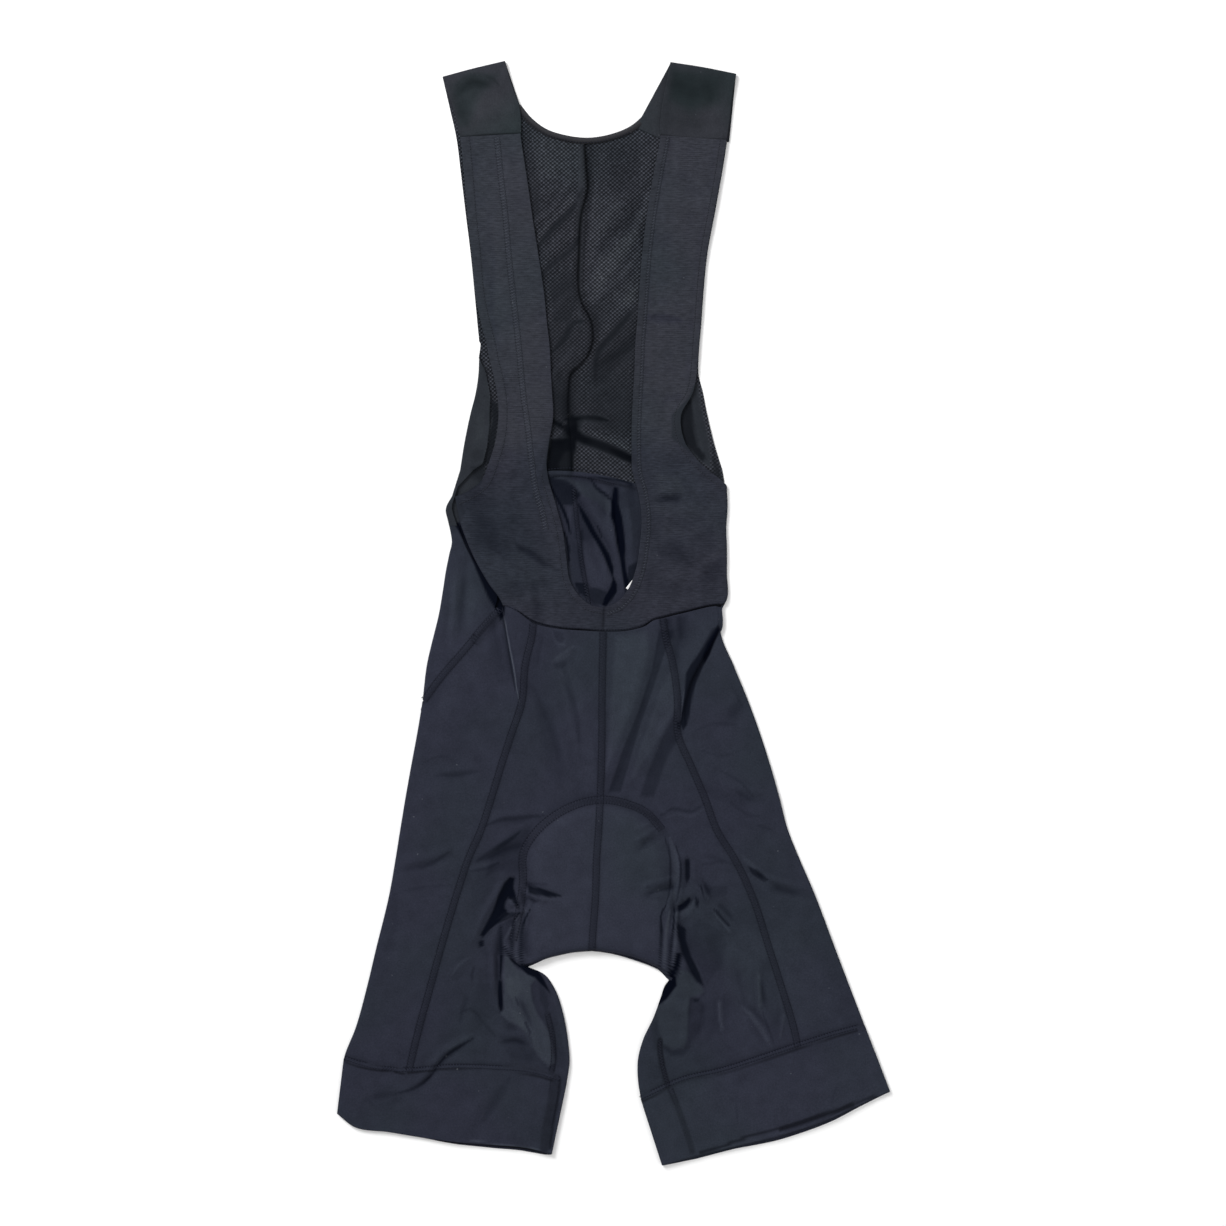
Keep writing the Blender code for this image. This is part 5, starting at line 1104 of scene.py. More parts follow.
    (0, 0.13, 2, 132, -312, 140, -310, 154, -375, 143, -381, 134, -348),
    (-0.2, 0.55, 0.9, 121.5, -227.5, 130.5, -231.5, 139.5, -239.5, 136, -242, 125, -235),
    (0.2, -0.2, 0.9, 112.5, -215, 123.5, -222.5, 128.5, -229.5, 121.5, -227.5),
    (0, 0.13, 2.2, 138, -240, 154, -246, 176, -249, 179, -256, 154, -253),
    (0, 0.12, 2, 78, -159, 93, -168, 114, -174, 129, -168, 114, -165, 93, -158),
    (0, 0.1, 2.6, 165, -168, 174, -179, 168, -195, 156, -186),
    (0, 0.1, 2.6, 110, -78, 118, -80, 111, -98, 98, -104, 102, -89),
)


def flatlock(line, half_width=3.8, lift=0.3, dark=0.28):
    """A flatlock seam: two rows of needle stitches with threads laid across, a little raised and matt."""
    return band(line, half_width, lift, dark)


def leg_lines(left):
    """The seams and folds of one leg, waist to cuff, in the rows that all its panels share."""
    steps = (ROWS_PLEAT, ROWS_THIGH, ROWS_CROTCH, ROWS_LEG)

    def down(line, *levels):
        return joined(*(run(line, a, b, n) for a, b, n in zip(levels, levels[1:], steps[5 - len(levels):])))

    side, seam = ("side_left", "seam_left") if left else ("side_right", "seam_right")
    outline = np.concatenate((np.array(WAIST_SIDE_LEFT if left else WAIST_SIDE_RIGHT)[:-1],
                              column(SHORTS, SHORTS_COLUMNS, side)))
    seam = column(SHORTS, SHORTS_COLUMNS, seam)
    table = PLEAT_LEFT if left else PLEAT_RIGHT
    pleat = column(table, PLEAT_COLUMNS, "x")
    levels = (PLEAT_END_LEFT if left else PLEAT_END_RIGHT, THIGH_END, CROTCH_END)
    lines = {
        "left": left,
        "pleat_table": table,
        "cuff_table": CUFF_LEFT if left else CUFF_RIGHT,
        "centre": joined(run(column(SHORTS, SHORTS_COLUMNS, "centre"), -17.0, CROTCH_Y, ROWS_PLEAT + ROWS_THIGH),
                         smooth(CROTCH[:4][::-1] if left else CROTCH[3:], ROWS_CROTCH + 1)),
        "pleat": run(pleat, 6.0 if left else 5.2, levels[0], ROWS_PLEAT),
        "pleat_out": LEFTWARD if left else PLEAT_OUT_RIGHT,
        "inseam": smooth(INSEAM_LEFT if left else INSEAM_RIGHT, ROWS_LEG + 1),
        "inner_fold": smooth(INNER_LEFT if left else INNER_RIGHT, ROWS_LEG + 1),
    }
    if left:
        lines["seam"] = down(seam, -9.5, *levels, -411.5)
        lines["back"] = joined(smooth(SEAT_SEAM_LEFT, ROWS_PLEAT + 1), down(BACK_SEAM_LEFT, *levels, -408.0))
        lines["fold"] = down(outline, 4.0, *levels, -400.5)
    else:
        lines["seam"] = down(seam, -5.0, *levels, -389.5)
        lines["back"] = down(BACK_SEAM_RIGHT, 1.0, *levels, -381.0)
        lines["fold"] = down(outline, 7.0, *levels, -371.5)
    return lines


def cuff_line(table, start, end, steps, part="seam"):
    """A stretch of a cuff's seam or hem line in front, between two values of x."""
    columns = (CUFF_COLUMNS.index(part + "_x"), CUFF_COLUMNS.index(part + "_y"))
    return run(np.array(table)[:, columns], start, end, steps, axis=0)


def offset(line, distance):
    """A line moved sideways, to its left when the distance is positive."""
    along = unit(np.gradient(np.array(line, float), axis=0))
    return line + distance * np.column_stack((-along[:, 1], along[:, 0]))


LEFT, RIGHT = leg_lines(True), leg_lines(False)
CUFF_SEAMS = [smooth(np.array(table)[:, :2], 60) for table in (CUFF_LEFT, CUFF_RIGHT)]
SEAMS = {
    "centre": flatlock(LEFT["centre"][:-ROWS_CROTCH][::4]),
    "front_left": flatlock(LEFT["seam"][::4]),
    "front_right": flatlock(RIGHT["seam"][::4]),
    "seat": flatlock((-101.5, 3.5, -112.5, -8, -133, -32.5, -156.5, -60, -170, -78.5)),
    "pad_arch": flatlock(PAD_ARCH[:-8], 4.2, 0.4, 0.2),
    "inseam_left": flatlock(offset(LEFT["inseam"][26::4], -2.0), 3.0, 0.3, 0.3),
    "inseam_right": flatlock(RIGHT["inseam"][32::4], 2.6, 0.3, 0.5),
    "cuff_left": flatlock(offset(CUFF_SEAMS[0], 2.8)[::3], 4.6, 0.25, 0.12),
    "cuff_right": flatlock(offset(CUFF_SEAMS[1][::-1], 2.8)[::3], 4.6, 0.25, 0.12),
    "hem_inseam_left": flatlock((-52, -418.5, -54.5, -438.5, -59, -461.5, -61.5, -480.5), 4.8, 0.3, 0.34),
    "hem_inseam_right": flatlock((51.5, -427, 58.5, -445, 65.5, -465, 71, -483.5), 2.9, 0.3, 0.34),
}
# Beside the pad its edge shows through as two narrow rolls with a valley between.
PAD_RIMS = (
    band((-84.5, -252, -83, -266.5, -89, -285.5, -92, -301.5, -84.5, -314), 2.3, 1.0),
    band((-76.5, -252, -75.5, -266.5, -80, -283.5, -83, -301.5, -75.5, -315), 2.0, 0.8),
    band((53, -252, 49.5, -269, 47, -285.5, 47, -308, 48.5, -323), 2.2, 0.9),
    band((61, -252, 57.5, -267.5, 55, -285.5, 54, -308, 56, -326), 2.2, 0.9),
)
CUFF_EDGES = tuple(band(offset(line, away)[::3], 0.8, -0.3, dark)
                   for line in (CUFF_SEAMS[0], CUFF_SEAMS[1][::-1]) for away, dark in ((-1.9, 0.62), (2.6, 0.3)))
# Painted shadow in lines along the cuffs' hems, where the back hem shows below the front one, and beside the left
# cuff's inner seam.
HEM_SHADOWS = (
    band((-158, -474.2, -147, -475.6, -110, -478.8, -76, -481.9, -62, -485.2), 0.9, 0.0, 0.8),
    band((78.5, -485, 94.5, -480.5, 109, -475, 125, -469, 157.5, -461.5), 1.3, -0.3, 0.5),
    band((150.5, -463.5, 168.5, -458, 186.5, -452, 202.5, -446.5, 215, -442), 2.2, -0.5, 0.62),
    band((209.5, -443.5, 222.5, -438.5, 236.5, -434.5), 1.3, -0.3, 0.4),
    band((-47, -419.5, -49.5, -438.5, -54, -461.5, -56.5, -480.5), 1.3, -0.3, 0.42),
)
SHORTS_BANDS = tuple(SEAMS.values()) + PAD_RIMS + CUFF_EDGES + HEM_SHADOWS


def pleat_at(table, y, name):
    """A pleat's depth, drop or x at given values of y; 0 past its ends, except for x."""
    rows = np.array(table)[::-1]
    return np.interp(y, rows[:, 0], rows[:, PLEAT_COLUMNS.index(name)])


def pad_share(xy):
    """1 on the seat pad and 0 off it: a round arch over a straight band, easing out at its edge."""
    across = (xy[..., 0] - PAD_X) / PAD_REACH
    up = np.maximum(xy[..., 1] - PAD_Y, 0) / PAD_RISE
    return ease((1 - np.hypot(across, up)) / 0.3)


def crotch_gap(xy):
    """How far a point lies above the crotch, where the shorts fold under."""
    return xy[..., 1] - CROTCH_Y + CROTCH_BOW * (xy[..., 0] - CROTCH_X) ** 2


def bare_height(xy, pleats=True):
    """Height of the middle of the upper layer without its folds.

    The pad lifts it, rounding off to the crotch's fold as sqrt(1 - (1 - gap)^2); it dips on either
    side of the crotch; and beside a pleat it stands up by the pleat's drop x exp(-(distance / reach)^2).
    """
    gap = crotch_gap(xy)
    level = UPPER + PAD_LIFT * pad_share(xy) * np.sqrt(1 - (1 - np.clip(gap / 4, 0, 1)) ** 2)
    level = level - CROTCH_DIP * (1 - ease(np.abs(gap) / 8)) * (1 - ease((np.abs(xy[..., 0] + 14) - 42) / 16))
    for table, outward in ((PLEAT_LEFT, -1), (PLEAT_RIGHT, 1)) if pleats else ():
        inside = outward * (pleat_at(table, xy[..., 1], "x") - xy[..., 0])
        fading = np.exp(-(np.maximum(inside, 0) / PLEAT_REACH) ** 2) * (inside > -30)
        level = level + pleat_at(table, xy[..., 1], "drop") * fading
    return level


def above(xy, pleats=True):
    """Height of the middle of the shorts' upper layer, folds, seams and all."""
    level = (bare_height(xy, pleats) + sway(xy) + relief(xy, SHORTS_FOLDS) + bands(xy, SHORTS_BANDS, "lift")
             + facets(xy, SHORTS_FACETS, LIFT))
    return np.maximum(level, LOWER + 1.2)


def pleated(edge, outward, depth, high, low, shares):
    """Cloth that turns under at a pleat's edge and back again, as shares of the way across it.

    Across it the cloth moves by width x s + depth x sin(2 pi s), and it falls from high to low
    as s - sin(4 pi s) / (4 pi), steepest at the two turns.
    """
    s = shares[None, :]
    move = PLEAT_WIDTH * s + depth[:, None] * np.sin(2 * np.pi * s)
    move = move - move[:, s[0] <= 0.5].max(axis=1, keepdims=True)
    fall = s - np.sin(4 * np.pi * s) / (4 * np.pi)
    return lifted(edge[:, None] + move[..., None] * outward[:, None], high[:, None] + (low - high)[:, None] * fall)


def side_grid(lines):
    """A side panel: from the front seam, over its pleat, round the outer fold, to the back seam.

    The left one starts at the waist as a narrow piece that lies wholly in front.
    """
    seam, back, fold, table = lines["seam"], lines["back"], lines["fold"], lines["cuff_table"]
    rows = np.arange(len(seam))
    in_front = rows < (ROWS_PLEAT if lines["left"] else 0)
    lower_out = unit(fold - seam)
    lane = np.clip((rows - ROWS_PLEAT) / LANE_ROWS, 0, 1)[:, None]
    pleat_end = np.concatenate((lines["pleat"], np.tile(lines["pleat"][-1:], (len(seam) - ROWS_PLEAT - 1, 1))))
    below = rows > ROWS_PLEAT
    start_gap = np.linalg.norm(lines["pleat"][-1] - seam[ROWS_PLEAT])
    lane_edge = seam + lower_out * (start_gap + (SIDE_LANE - start_gap) * ease(lane))
    edge = np.where(below[:, None], lane_edge, pleat_end)
    edge_out = unit(lines["pleat_out"] + (lower_out - lines["pleat_out"]) * ease(lane))
    depth = pleat_at(lines["pleat_table"], edge[:, 1], "depth") * ~below
    outward = unit(fold - back + 1e-9)
    outward[in_front] = unit(back - edge)[in_front]
    brink = np.where(in_front[:, None], back - outward * FRONT_TAIL, fold - outward * BRINK)
    turn = np.where(in_front, 0.0, 1.0)
    width = np.where(in_front, FRONT_TAIL, np.pi * TURN_RADIUS + np.linalg.norm(brink - back, axis=1))
    if lines["left"]:
        share = CROSSING + (1 - CROSSING) * ease((rows - ROWS_PLEAT) / CROSSING_ROWS)
        turn = np.where(in_front, 0.0, share)
        width = np.where(~in_front & (share < TURNED_OVER), np.pi * TURN_RADIUS * share, width)
        settled = ease((rows[~in_front, None] - ROWS_PLEAT) / 12)
        outward[~in_front] = unit(outward[~in_front] * settled + 0.02 * LEFTWARD + LEFTWARD * (1 - settled))
        brink = np.where(in_front[:, None], brink, fold - outward * BRINK)
    zero = np.zeros(len(rows))
    probe = pleated(edge, edge_out, depth, zero, zero, PLEAT_SHARES)
    start, end = probe[:, 0, :2], probe[:, -1, :2]
    pleat = pleated(edge, edge_out, depth, above(start), above(end, pleats=False), PLEAT_SHARES)
    front = spread(seam, start, SEAM_COLUMNS, run(WAIST, seam[0, 0], start[0, 0], SEAM_COLUMNS, axis=0),
                   cuff_line(table, seam[-1, 0], start[-1, 0], SEAM_COLUMNS))
    beyond = spread(end, brink, SIDE_COLUMNS, bottom=cuff_line(table, end[-1, 0], brink[-1, 0], SIDE_COLUMNS))
    outer_level = above(beyond, pleats=False)
    turned = curl(brink, outward, outer_level[:, -1], turn, width, UNDER_COLUMNS, down=True)
    return np.concatenate((lifted(front, above(front)), pleat[:, 1:-1], lifted(beyond, outer_level), turned), axis=1)


def front_grid(lines):
    """A front panel: from the centre seam, the crotch and the inseam out to the front seam."""
    inner, seam = joined(lines["centre"], lines["inseam"]), lines["seam"]
    flat = spread(inner, seam, FRONT_COLUMNS, run(WAIST, inner[0, 0], seam[0, 0], FRONT_COLUMNS, axis=0),
                  cuff_line(lines["cuff_table"], inner[-1, 0], seam[-1, 0], FRONT_COLUMNS))
    return lifted(flat, above(flat))


def outward_of(line, inside):
    """Unit vectors square to a line, pointing away from the inside points."""
    along = unit(np.gradient(line, axis=0))
    square = np.column_stack((along[:, 1], -along[:, 0]))
    return square * np.sign(np.sum(square * (line - inside), axis=1))[:, None]


def half_turn(fold, outward, level):
    """The middle of a fold from the upper layer's level to the lower one, radius x (cos a, sin a) about its axis."""
    centre = fold - outward * BRINK
    angle = np.linspace(np.pi / 2, -np.pi / 2, TURN_STEPS + 2)[1:-1][None, :]
    out = centre[:, None] + outward[:, None] * TURN_RADIUS * np.cos(angle)[..., None]
    rise = (UPPER + LOWER) / 2 + TURN_RADIUS * np.sin(angle) + (level - UPPER)[:, None] * (0.5 + angle / np.pi)
    return lifted(out, rise)


def inner_leg_grid(lines):
    """An inner leg panel: from the inseam in front, round the inner fold, to the back seam."""
    inseam, fold, back = lines["inseam"], lines["inner_fold"], lines["back"][-ROWS_LEG - 1:]
    outward = outward_of(fold, back)
    brink = fold - outward * BRINK
    over, under = spread(inseam, brink, SEAM_COLUMNS), spread(brink, back, INNER_COLUMNS)
    level = above(over)
    return np.concatenate((lifted(over, level), half_turn(fold, outward, level[:, -1]), lifted(under, LOWER)), axis=1)


def weave_group():
    """Fine stretch jersey: upright columns of stitches 0.9 mm apart, sin(2 pi x / pitch), broken up by noise."""
    tree, given, result = new_group("jersey", ("Tone", "Height"), Pitch=0.9)
    place = node(tree, "SeparateXYZ", {0: given["Point"]}).outputs
    x = maths(tree, "DIVIDE", maths(tree, "MULTIPLY", place["X"], 2000 * math.pi), given["Pitch"])
    wave = maths(tree, "SINE", x)
    fuzz = maths(tree, "SUBTRACT", noise(tree, given["Point"], 900.0), 0.5)
    broken = maths(tree, "ADD", maths(tree, "MULTIPLY", wave, 0.25), maths(tree, "MULTIPLY", fuzz, 1.5))
    tree.links.new(maths(tree, "MULTIPLY_ADD", broken, 0.5, 0.5), result["Tone"])
    tree.links.new(wave, result["Height"])
    return tree


lycra = fabric("lycra", weave_group(), (0.0222, 0.0244, 0.0376), (0.0206, 0.0248, 0.0350), 0.5, 0.00005, 0.58)

# Each panel's flat size in metres, its area in square metres and what it lies on.
SHORTS_CUTS = {
    "front_left": ((0.137, 0.464), 0.0413, "seat_left_cloth", "seat_pad_foam", "inner_leg_left_cloth",
                   "side_left_cloth"),
    "front_right": ((0.158, 0.470), 0.0423, "seat_right_cloth", "seat_pad_foam", "inner_leg_right_cloth",
                    "side_right_cloth"),
    "side_left": ((0.102, 0.440), 0.0373, "seat_left_cloth", "floor"),
    "side_right": ((0.106, 0.425), 0.0377, "seat_right_cloth", "floor"),
    "inner_leg_left": ((0.176, 0.118), 0.0169, "floor"),
    "inner_leg_right": ((0.207, 0.113), 0.0159, "floor"),
}
shorts_grids, shorts = {}, {}
for panel, panel_grid in (("front", front_grid), ("side", side_grid), ("inner_leg", inner_leg_grid)):
    for side, lines in (("left", LEFT), ("right", RIGHT)):
        name = f"{panel}_{side}"
        shorts_grids[name] = panel_grid(lines)
        shorts[name] = cloth(name, shorts_grids[name], lycra, SHORTS_BANDS, SHORTS_SHADES, SHORTS_FACETS)
        if name != "front_left":         # which waits for its thread
            laid(shorts[name], "lycra", *SHORTS_CUTS[name])

# ---------------------------------------------------------------- the seat
# Two lycra panels meet at the centre back seam. The left one turns over the side fold on to the
# front above the hip. Seen through the bib's opening they lie in deep folds under the waist seam.

SEAT_FOLDS = (
    (3.5, 5.6, 4.8, 0.6, 0.3, -45, 119.5, -32.5, 111.5, -20.5, 97, -10, 80, -2, 64),
    (3, 4, 4, 0.4, 0.3, -12.5, 113.5, -2, 101.5, -1, 83.5, 2.5, 61, 6.5, 42.5),
    (3.2, 4, 4.8, 0.3, 0.3, 10, 110.5, 14.5, 88, 17, 65.5, 16, 43),
    (2.7, 4.8, 4, 0.2, 0.3, -47.5, 101.5, -38.5, 83.5, -28, 61, -19, 37),
    (2.2, 3.2, 3.2, 0.2, 0.3, -15.5, 61, -8, 46, -4.5, 29.5),
    (-3.2, 2.4, 2.4, 0.6, 0.4, -32.5, 104.5, -20, 80, -6.5, 60.5, 1, 40.5, 2.5, 29.5),
    (-2.2, 2, 2, 0.3, 0.3, -20, 119, -11.5, 110.5, -3.5, 101),
    (-3.5, 2.8, 2.8, 0.5, 0.5, 1, 113.5, 2.5, 94.5, 5.5, 73, 10, 42.5, 12.5, 23.5),
    (-2.4, 2.4, 2.4, 0.8, 0.3, -61, 123.5, -51.5, 110, -43, 91, -38.5, 73),
    (-1.6, 2, 2, 0.3, 0.3, -42.5, 68.5, -40.5, 56.5, -38.5, 46),
    (-1.1, 2, 2, 0.3, 0.3, -16, 80, -11, 67.5),
)
# Painted shade in the seat's folds seen through the bib's opening: strength, half width, line.
SEAT_SHADES = (
    (0.9, 1.6, -58, 117, -51, 104, -45, 93, -40.5, 81, -38, 70.5),
    (0.85, 1.3, -44, 73.5, -40.5, 60.5, -40, 42),
    (0.7, 1.4, -19, 118.5, -13.5, 111, -7.5, 107.5, -1, 99.5),
    (0.55, 0.8, -14.5, 79.5, -12, 73.5, -9.5, 66.5),
    (0.3, 3, -28, 74, -29, 55, -28, 35),
)
# The seat's facets: a slow painted shade over the opening, painted shade in its hollows and painted highlights (below
# 0) on its crests.
SEAT_FACETS = (
    (0, 0.08, 10, -66, 129, 38, 129, 38, -24, -66, -24),
    (-0.4, 0.58, 1, -60, 124, -52.5, 121, -40.5, 119, -33.5, 112.5, -28, 106.5, -33, 102.5, -36.5, 96.5, -45, 97, -51,
     106.5, -56.5, 115.5),
    (0.5, -0.3, 1.2, -40, 119.5, -23.5, 119.5, -17.5, 114, -9, 105.5, -1.5, 100.5, -1.5, 91, -3.5, 88, -13.5, 99.5, -28,
     106, -33.5, 112.5),
    (-0.9, 0.9, 0.9, -32.5, 100, -28, 94.5, -22, 85.5, -16, 74, -9, 62.5, -3, 52.5, 0.5, 40.5, 0, 30.5, -3.5, 39.5, -8,
     51, -14, 62, -21, 73.5, -27, 85, -31, 95),
    (-1, 0.96, 0.9, 0.5, 113, 4.5, 113, 5, 98, 8, 86.5, 10, 72, 11, 60.5, 10.5, 49, 12, 37.5, 14.5, 26, 11, 19, 8.5,
     34.5, 6.5, 49, 3.5, 63.5, 1, 79.5, -2.5, 88, -1.5, 99.5),
    (-0.6, 0.95, 0.9, 0.5, 32.5, 3.5, 26, 3.5, 19, -1.5, 11.5, -6.5, 6, -9.5, 7.5, -6.5, 16, -2, 24.5),
    (-0.2, 0.46, 1, -22, 23, -12, 22, -5.5, 19, -7.5, 11.5, -9.5, 7, -18, 8, -22, 13),
    (-0.3, 0.68, 1, -35.5, 28, -22.5, 26, -22.5, 13, -31, 18),
    (0.3, -0.16, 1.4, -27.5, 63.5, -19.5, 60.5, -9, 49, -2, 34.5, -2, 27.5, -7.5, 22.5, -20.5, 24, -23.5, 34.5, -26,
     47.5),
    (0, 0.22, 1.4, -36.5, 95, -29.5, 92.5, -23.5, 81, -16, 66.5, -28, 65, -35, 66.5, -38, 81),
    (0, 0.12, 2, -38, 65, -28, 64, -26, 48, -24, 35, -22, 24, -35, 28, -39, 40),
    (0.2, -0.08, 1.6, -9, 88, -2, 86.5, 1.5, 78, 4, 60.5, 6.5, 40.5, 9, 26, 4, 27.5, 0.5, 40.5, -3.5, 53.5, -9, 66.5),
    (-0.3, 0.55, 1, 13.5, 42, 24, 47.5, 21, 34.5, 15.5, 25, 13.5, 29),
    (0, 0.2, 1.6, 5, 108, 18, 112.5, 21, 98, 15.5, 94, 7.5, 94),
    (0, 0.75, 0.8, -23.5, 123, -2, 121.5, 9.5, 119.5, 18, 116.5, 18, 113.5, 9.5, 117, -2, 119.5, -22, 121),
)
WAIST_RIDGE = band((-69.5, 123.5, -61, 125.5, -41.5, 127, -17, 124, 4.5, 119, 24.5, 116), 4.0, 1.2)
SEAT_BANDS = (
    WAIST_RIDGE,
    band((-61, 122, -41.5, 123, -17, 119.5, 4.5, 115, 20.5, 112.5), 1.1, 0.0, 0.45),
    band((-61, 128.5, -41.5, 130, -17, 127, 4.5, 122, 20.5, 119.5), 0.9, 0.0, 0.35),
    flatlock(smooth(SEAT_CENTRE, 60), 2.6, 0.25, 0.2),
)


def seat_level(flat):
    """Height of the middle of the seat: flat, but for the folds seen in the bib's opening."""
    return np.maximum(LOWER + relief(flat, SEAT_FOLDS) + bands(flat, SEAT_BANDS, "lift"), LOWER)


SEAT_TOP_ROWS, SEAT_COLUMNS, SEAT_HEM_COLUMNS = 44, 84, 36

edge = joined(smooth(SEAT_FRONT_LEFT, SEAT_TOP_ROWS + 1), LEFT["back"][:-ROWS_LEG])
rows = np.arange(len(edge))
turned_rows = SEAT_TOP_ROWS + ROWS_PLEAT
in_front = rows <= turned_rows + 4
outline = smooth(np.concatenate((WAIST_SIDE_LEFT[:-1], column(SHORTS, SHORTS_COLUMNS, "side_left"))), 700)
side_x = np.interp(-edge[:, 1], -outline[:, 1], outline[:, 0])
fold = np.where(in_front[:, None], np.column_stack((side_x, edge[:, 1])), edge)
brink = fold - LEFTWARD * np.where(in_front, BRINK, FRONT_TAIL)[:, None]
share = CROSSING * (1 - ease((rows - turned_rows) / CROSSING_ROWS))
turn = np.where(rows < turned_rows, 1.0, np.where(in_front, share, 0.0))
width = np.where(rows < turned_rows, np.pi * TURN_RADIUS + np.linalg.norm(brink - edge, axis=1),
                 np.where(in_front, np.maximum(np.pi * TURN_RADIUS * share, BRINK), FRONT_TAIL))
over = curl(brink, np.tile(LEFTWARD, (len(rows), 1)), np.full(len(rows), LOWER), turn, width, SEAT_HEM_COLUMNS)
front_part = over[:, BENDS:]
past_turn = ease(np.arange(1, SEAT_HEM_COLUMNS - BENDS + 1) / 6)[None, :] * (rows < turned_rows)[:, None]
front_part[..., 2] += (above(front_part[..., :2], pleats=False) - UPPER) * past_turn
centre = smooth(SEAT_CENTRE, len(rows))
top = run(BACK_WAIST, brink[0, 0], centre[0, 0], SEAT_COLUMNS, axis=0)
crotch = smooth(np.concatenate((brink[-1:], LEFT["inner_fold"][:1], np.array(CROTCH[1:4]))), SEAT_COLUMNS + 1)
flat = spread(brink, centre, SEAT_COLUMNS, top, crotch)
across = np.linspace(0.0, 1.0, SEAT_COLUMNS + 1)[None, :]
level = LOWER + (seat_level(flat) - LOWER) * ease(across * 6)
grid = np.concatenate((over[:, ::-1], lifted(flat, level)), axis=1)
seat_left = cloth("seat_left", grid, lycra, SHORTS_BANDS[:5] + SEAT_BANDS, SEAT_SHADES, SHORTS_FACETS + SEAT_FACETS)
laid(seat_left, "lycra", (0.186, 0.437), 0.0657, "floor")

edge = joined(smooth(SEAT_SIDE_RIGHT, SEAT_TOP_ROWS + 1), RIGHT["back"][:-ROWS_LEG])
centre = smooth(SEAT_CENTRE, len(edge))
top = run(BACK_WAIST, centre[0, 0], edge[0, 0], SEAT_COLUMNS, axis=0)
crotch = smooth(np.concatenate((np.array(CROTCH[3:7]), RIGHT["inner_fold"][:1], edge[-1:])), SEAT_COLUMNS + 1)
flat = spread(centre, edge, SEAT_COLUMNS, top, crotch)
seat_right = cloth("seat_right", lifted(flat, seat_level(flat)), lycra, SEAT_BANDS, SEAT_SHADES, SEAT_FACETS)
laid(seat_right, "lycra", (0.191, 0.453), 0.0558, "floor")

# ---------------------------------------------------------------- the cuffs
# Each leg ends in a wide cuff of doubled lycra, sewn on all round with a flatlock seam. It lies as
# a flattened tube; its back hem shows a little below the front one, behind a gap painted dark with shadow.

CUFF_WALL, CUFF_ROWS = 1.2, 34
HEM_RISE = 0.35          # how much of the drop of its back hem a cuff's front hem stands up
# How far the back hem lies below the front one, against x.
HEM_DROPS = {
    "left": ((-248, 0.0), (-170, 0.4), (-140, 2.2), (-100, 3.2), (-75, 3.6), (-62, 2.5), (-55, 0.6)),
    "right": ((44, 0.5), (58, 2.0), (75, 3.2), (110, 2.6), (150, 4.0), (200, 3.6), (235, 1.2), (249, 0.2)),
}


def cuff(side, table):
    """A flattened tube that starts where the leg's panels end, all round, and runs straight to the hem."""
    name = "cuff_" + side
    panels = [shorts_grids[f"{panel}_{side}"][-1] for panel in ("side", "inner_leg", "front")]
    ring = np.concatenate((panels[0], panels[1][::-1][1:], panels[2][1:-1]))
    rows = np.array(table)
    outer, inner = ring[np.argmin(ring[:, 0])], ring[np.argmax(ring[:, 0])]
    if rows[0, 0] > rows[-1, 0]:
        outer, inner = inner, outer
    share = (ring[:, 0] - outer[0]) / (inner[0] - outer[0])
    hem = smooth(rows[:, 2:], 300)
    where = np.linspace(0.0, 1.0, len(hem))
    ends = np.array([np.interp(share, where, hem[:, k]) for k in (0, 1)]).T
    back = ring[:, 2] < LOWER + 0.6
    drop = np.interp(ends[:, 0], *np.array(HEM_DROPS[side]).T)
    ends[:, 1] -= drop * back
    ends = np.column_stack((ends, np.where(back, LOWER + 0.1, ring[:, 2] + HEM_RISE * drop)))
    down = np.linspace(0.0, 1.0, CUFF_ROWS)[:, None, None]
    grid = (1 - down) * ring + down * ends
    flat = grid[..., :2]
    lift = relief(flat, SHORTS_FOLDS) + bands(flat, SHORTS_BANDS, "lift") + sway(flat)
    in_front = ease((ring[:, 2] - 1.1) / 0.5) * ~back
    grid[..., 2] += in_front * ease(down[..., 0] * 6) * (lift + UPPER - ring[:, 2])
    return cloth(name, grid, lycra, SHORTS_BANDS, SHORTS_SHADES, SHORTS_FACETS, wall=CUFF_WALL, ring=True)


laid(cuff("left", CUFF_LEFT), "lycra", (0.407, 0.070), 0.0258, "floor")
laid(cuff("right", CUFF_RIGHT), "lycra", (0.434, 0.074), 0.0302, "floor")

# ---------------------------------------------------------------- the seat pad
# A moulded foam pad is sewn inside the seat and the crotch. It lies between the two layers and
# lifts the front; only its outline shows through the lycra.

PAD_HALF, PAD_TOP, PAD_END = 60.0, -171.0, -280.0
PAD_ROUNDING = 6.0       # from the pad's top to where its arch would close
PAD_THIN, PAD_THICK = 0.8, 6.0


def foam_material():
    """Open-cell foam under brushed jersey: a fine cell pattern, matt."""
    made, tree, shader, point = new_material("foam", 0.9)
    cells = node(tree, "TexVoronoi", {"Vector": point, "Scale": 900.0}).outputs["Distance"]
    tone = ranged(tree, cells, 0.0, 0.8, 0.025, 0.055)
    coloured(tree, shader, grey(tree, tone, maths(tree, "MULTIPLY", tone, 1.15)), cells, 0.0003)
    return made


def slab(name, grid, thickness, material):
    """A closed pad: a grid's middle surface with half the thickness given at each point on either side."""
    index = np.arange(thickness.size).reshape(thickness.shape)
    loop = border(index)
    a, b = loop[:-1], loop[1:]
    rise = np.stack((0 * thickness, 0 * thickness, thickness / 2), axis=2)
    points = np.concatenate(((grid + rise).reshape(-1, 3), (grid - rise).reshape(-1, 3)))
    sides = np.column_stack((a, b, b + thickness.size, a + thickness.size))
    faces = np.concatenate((quads(index)[:, ::-1], quads(index) + thickness.size, sides))
    return mesh_object(name + "_foam", points, faces, material, {})


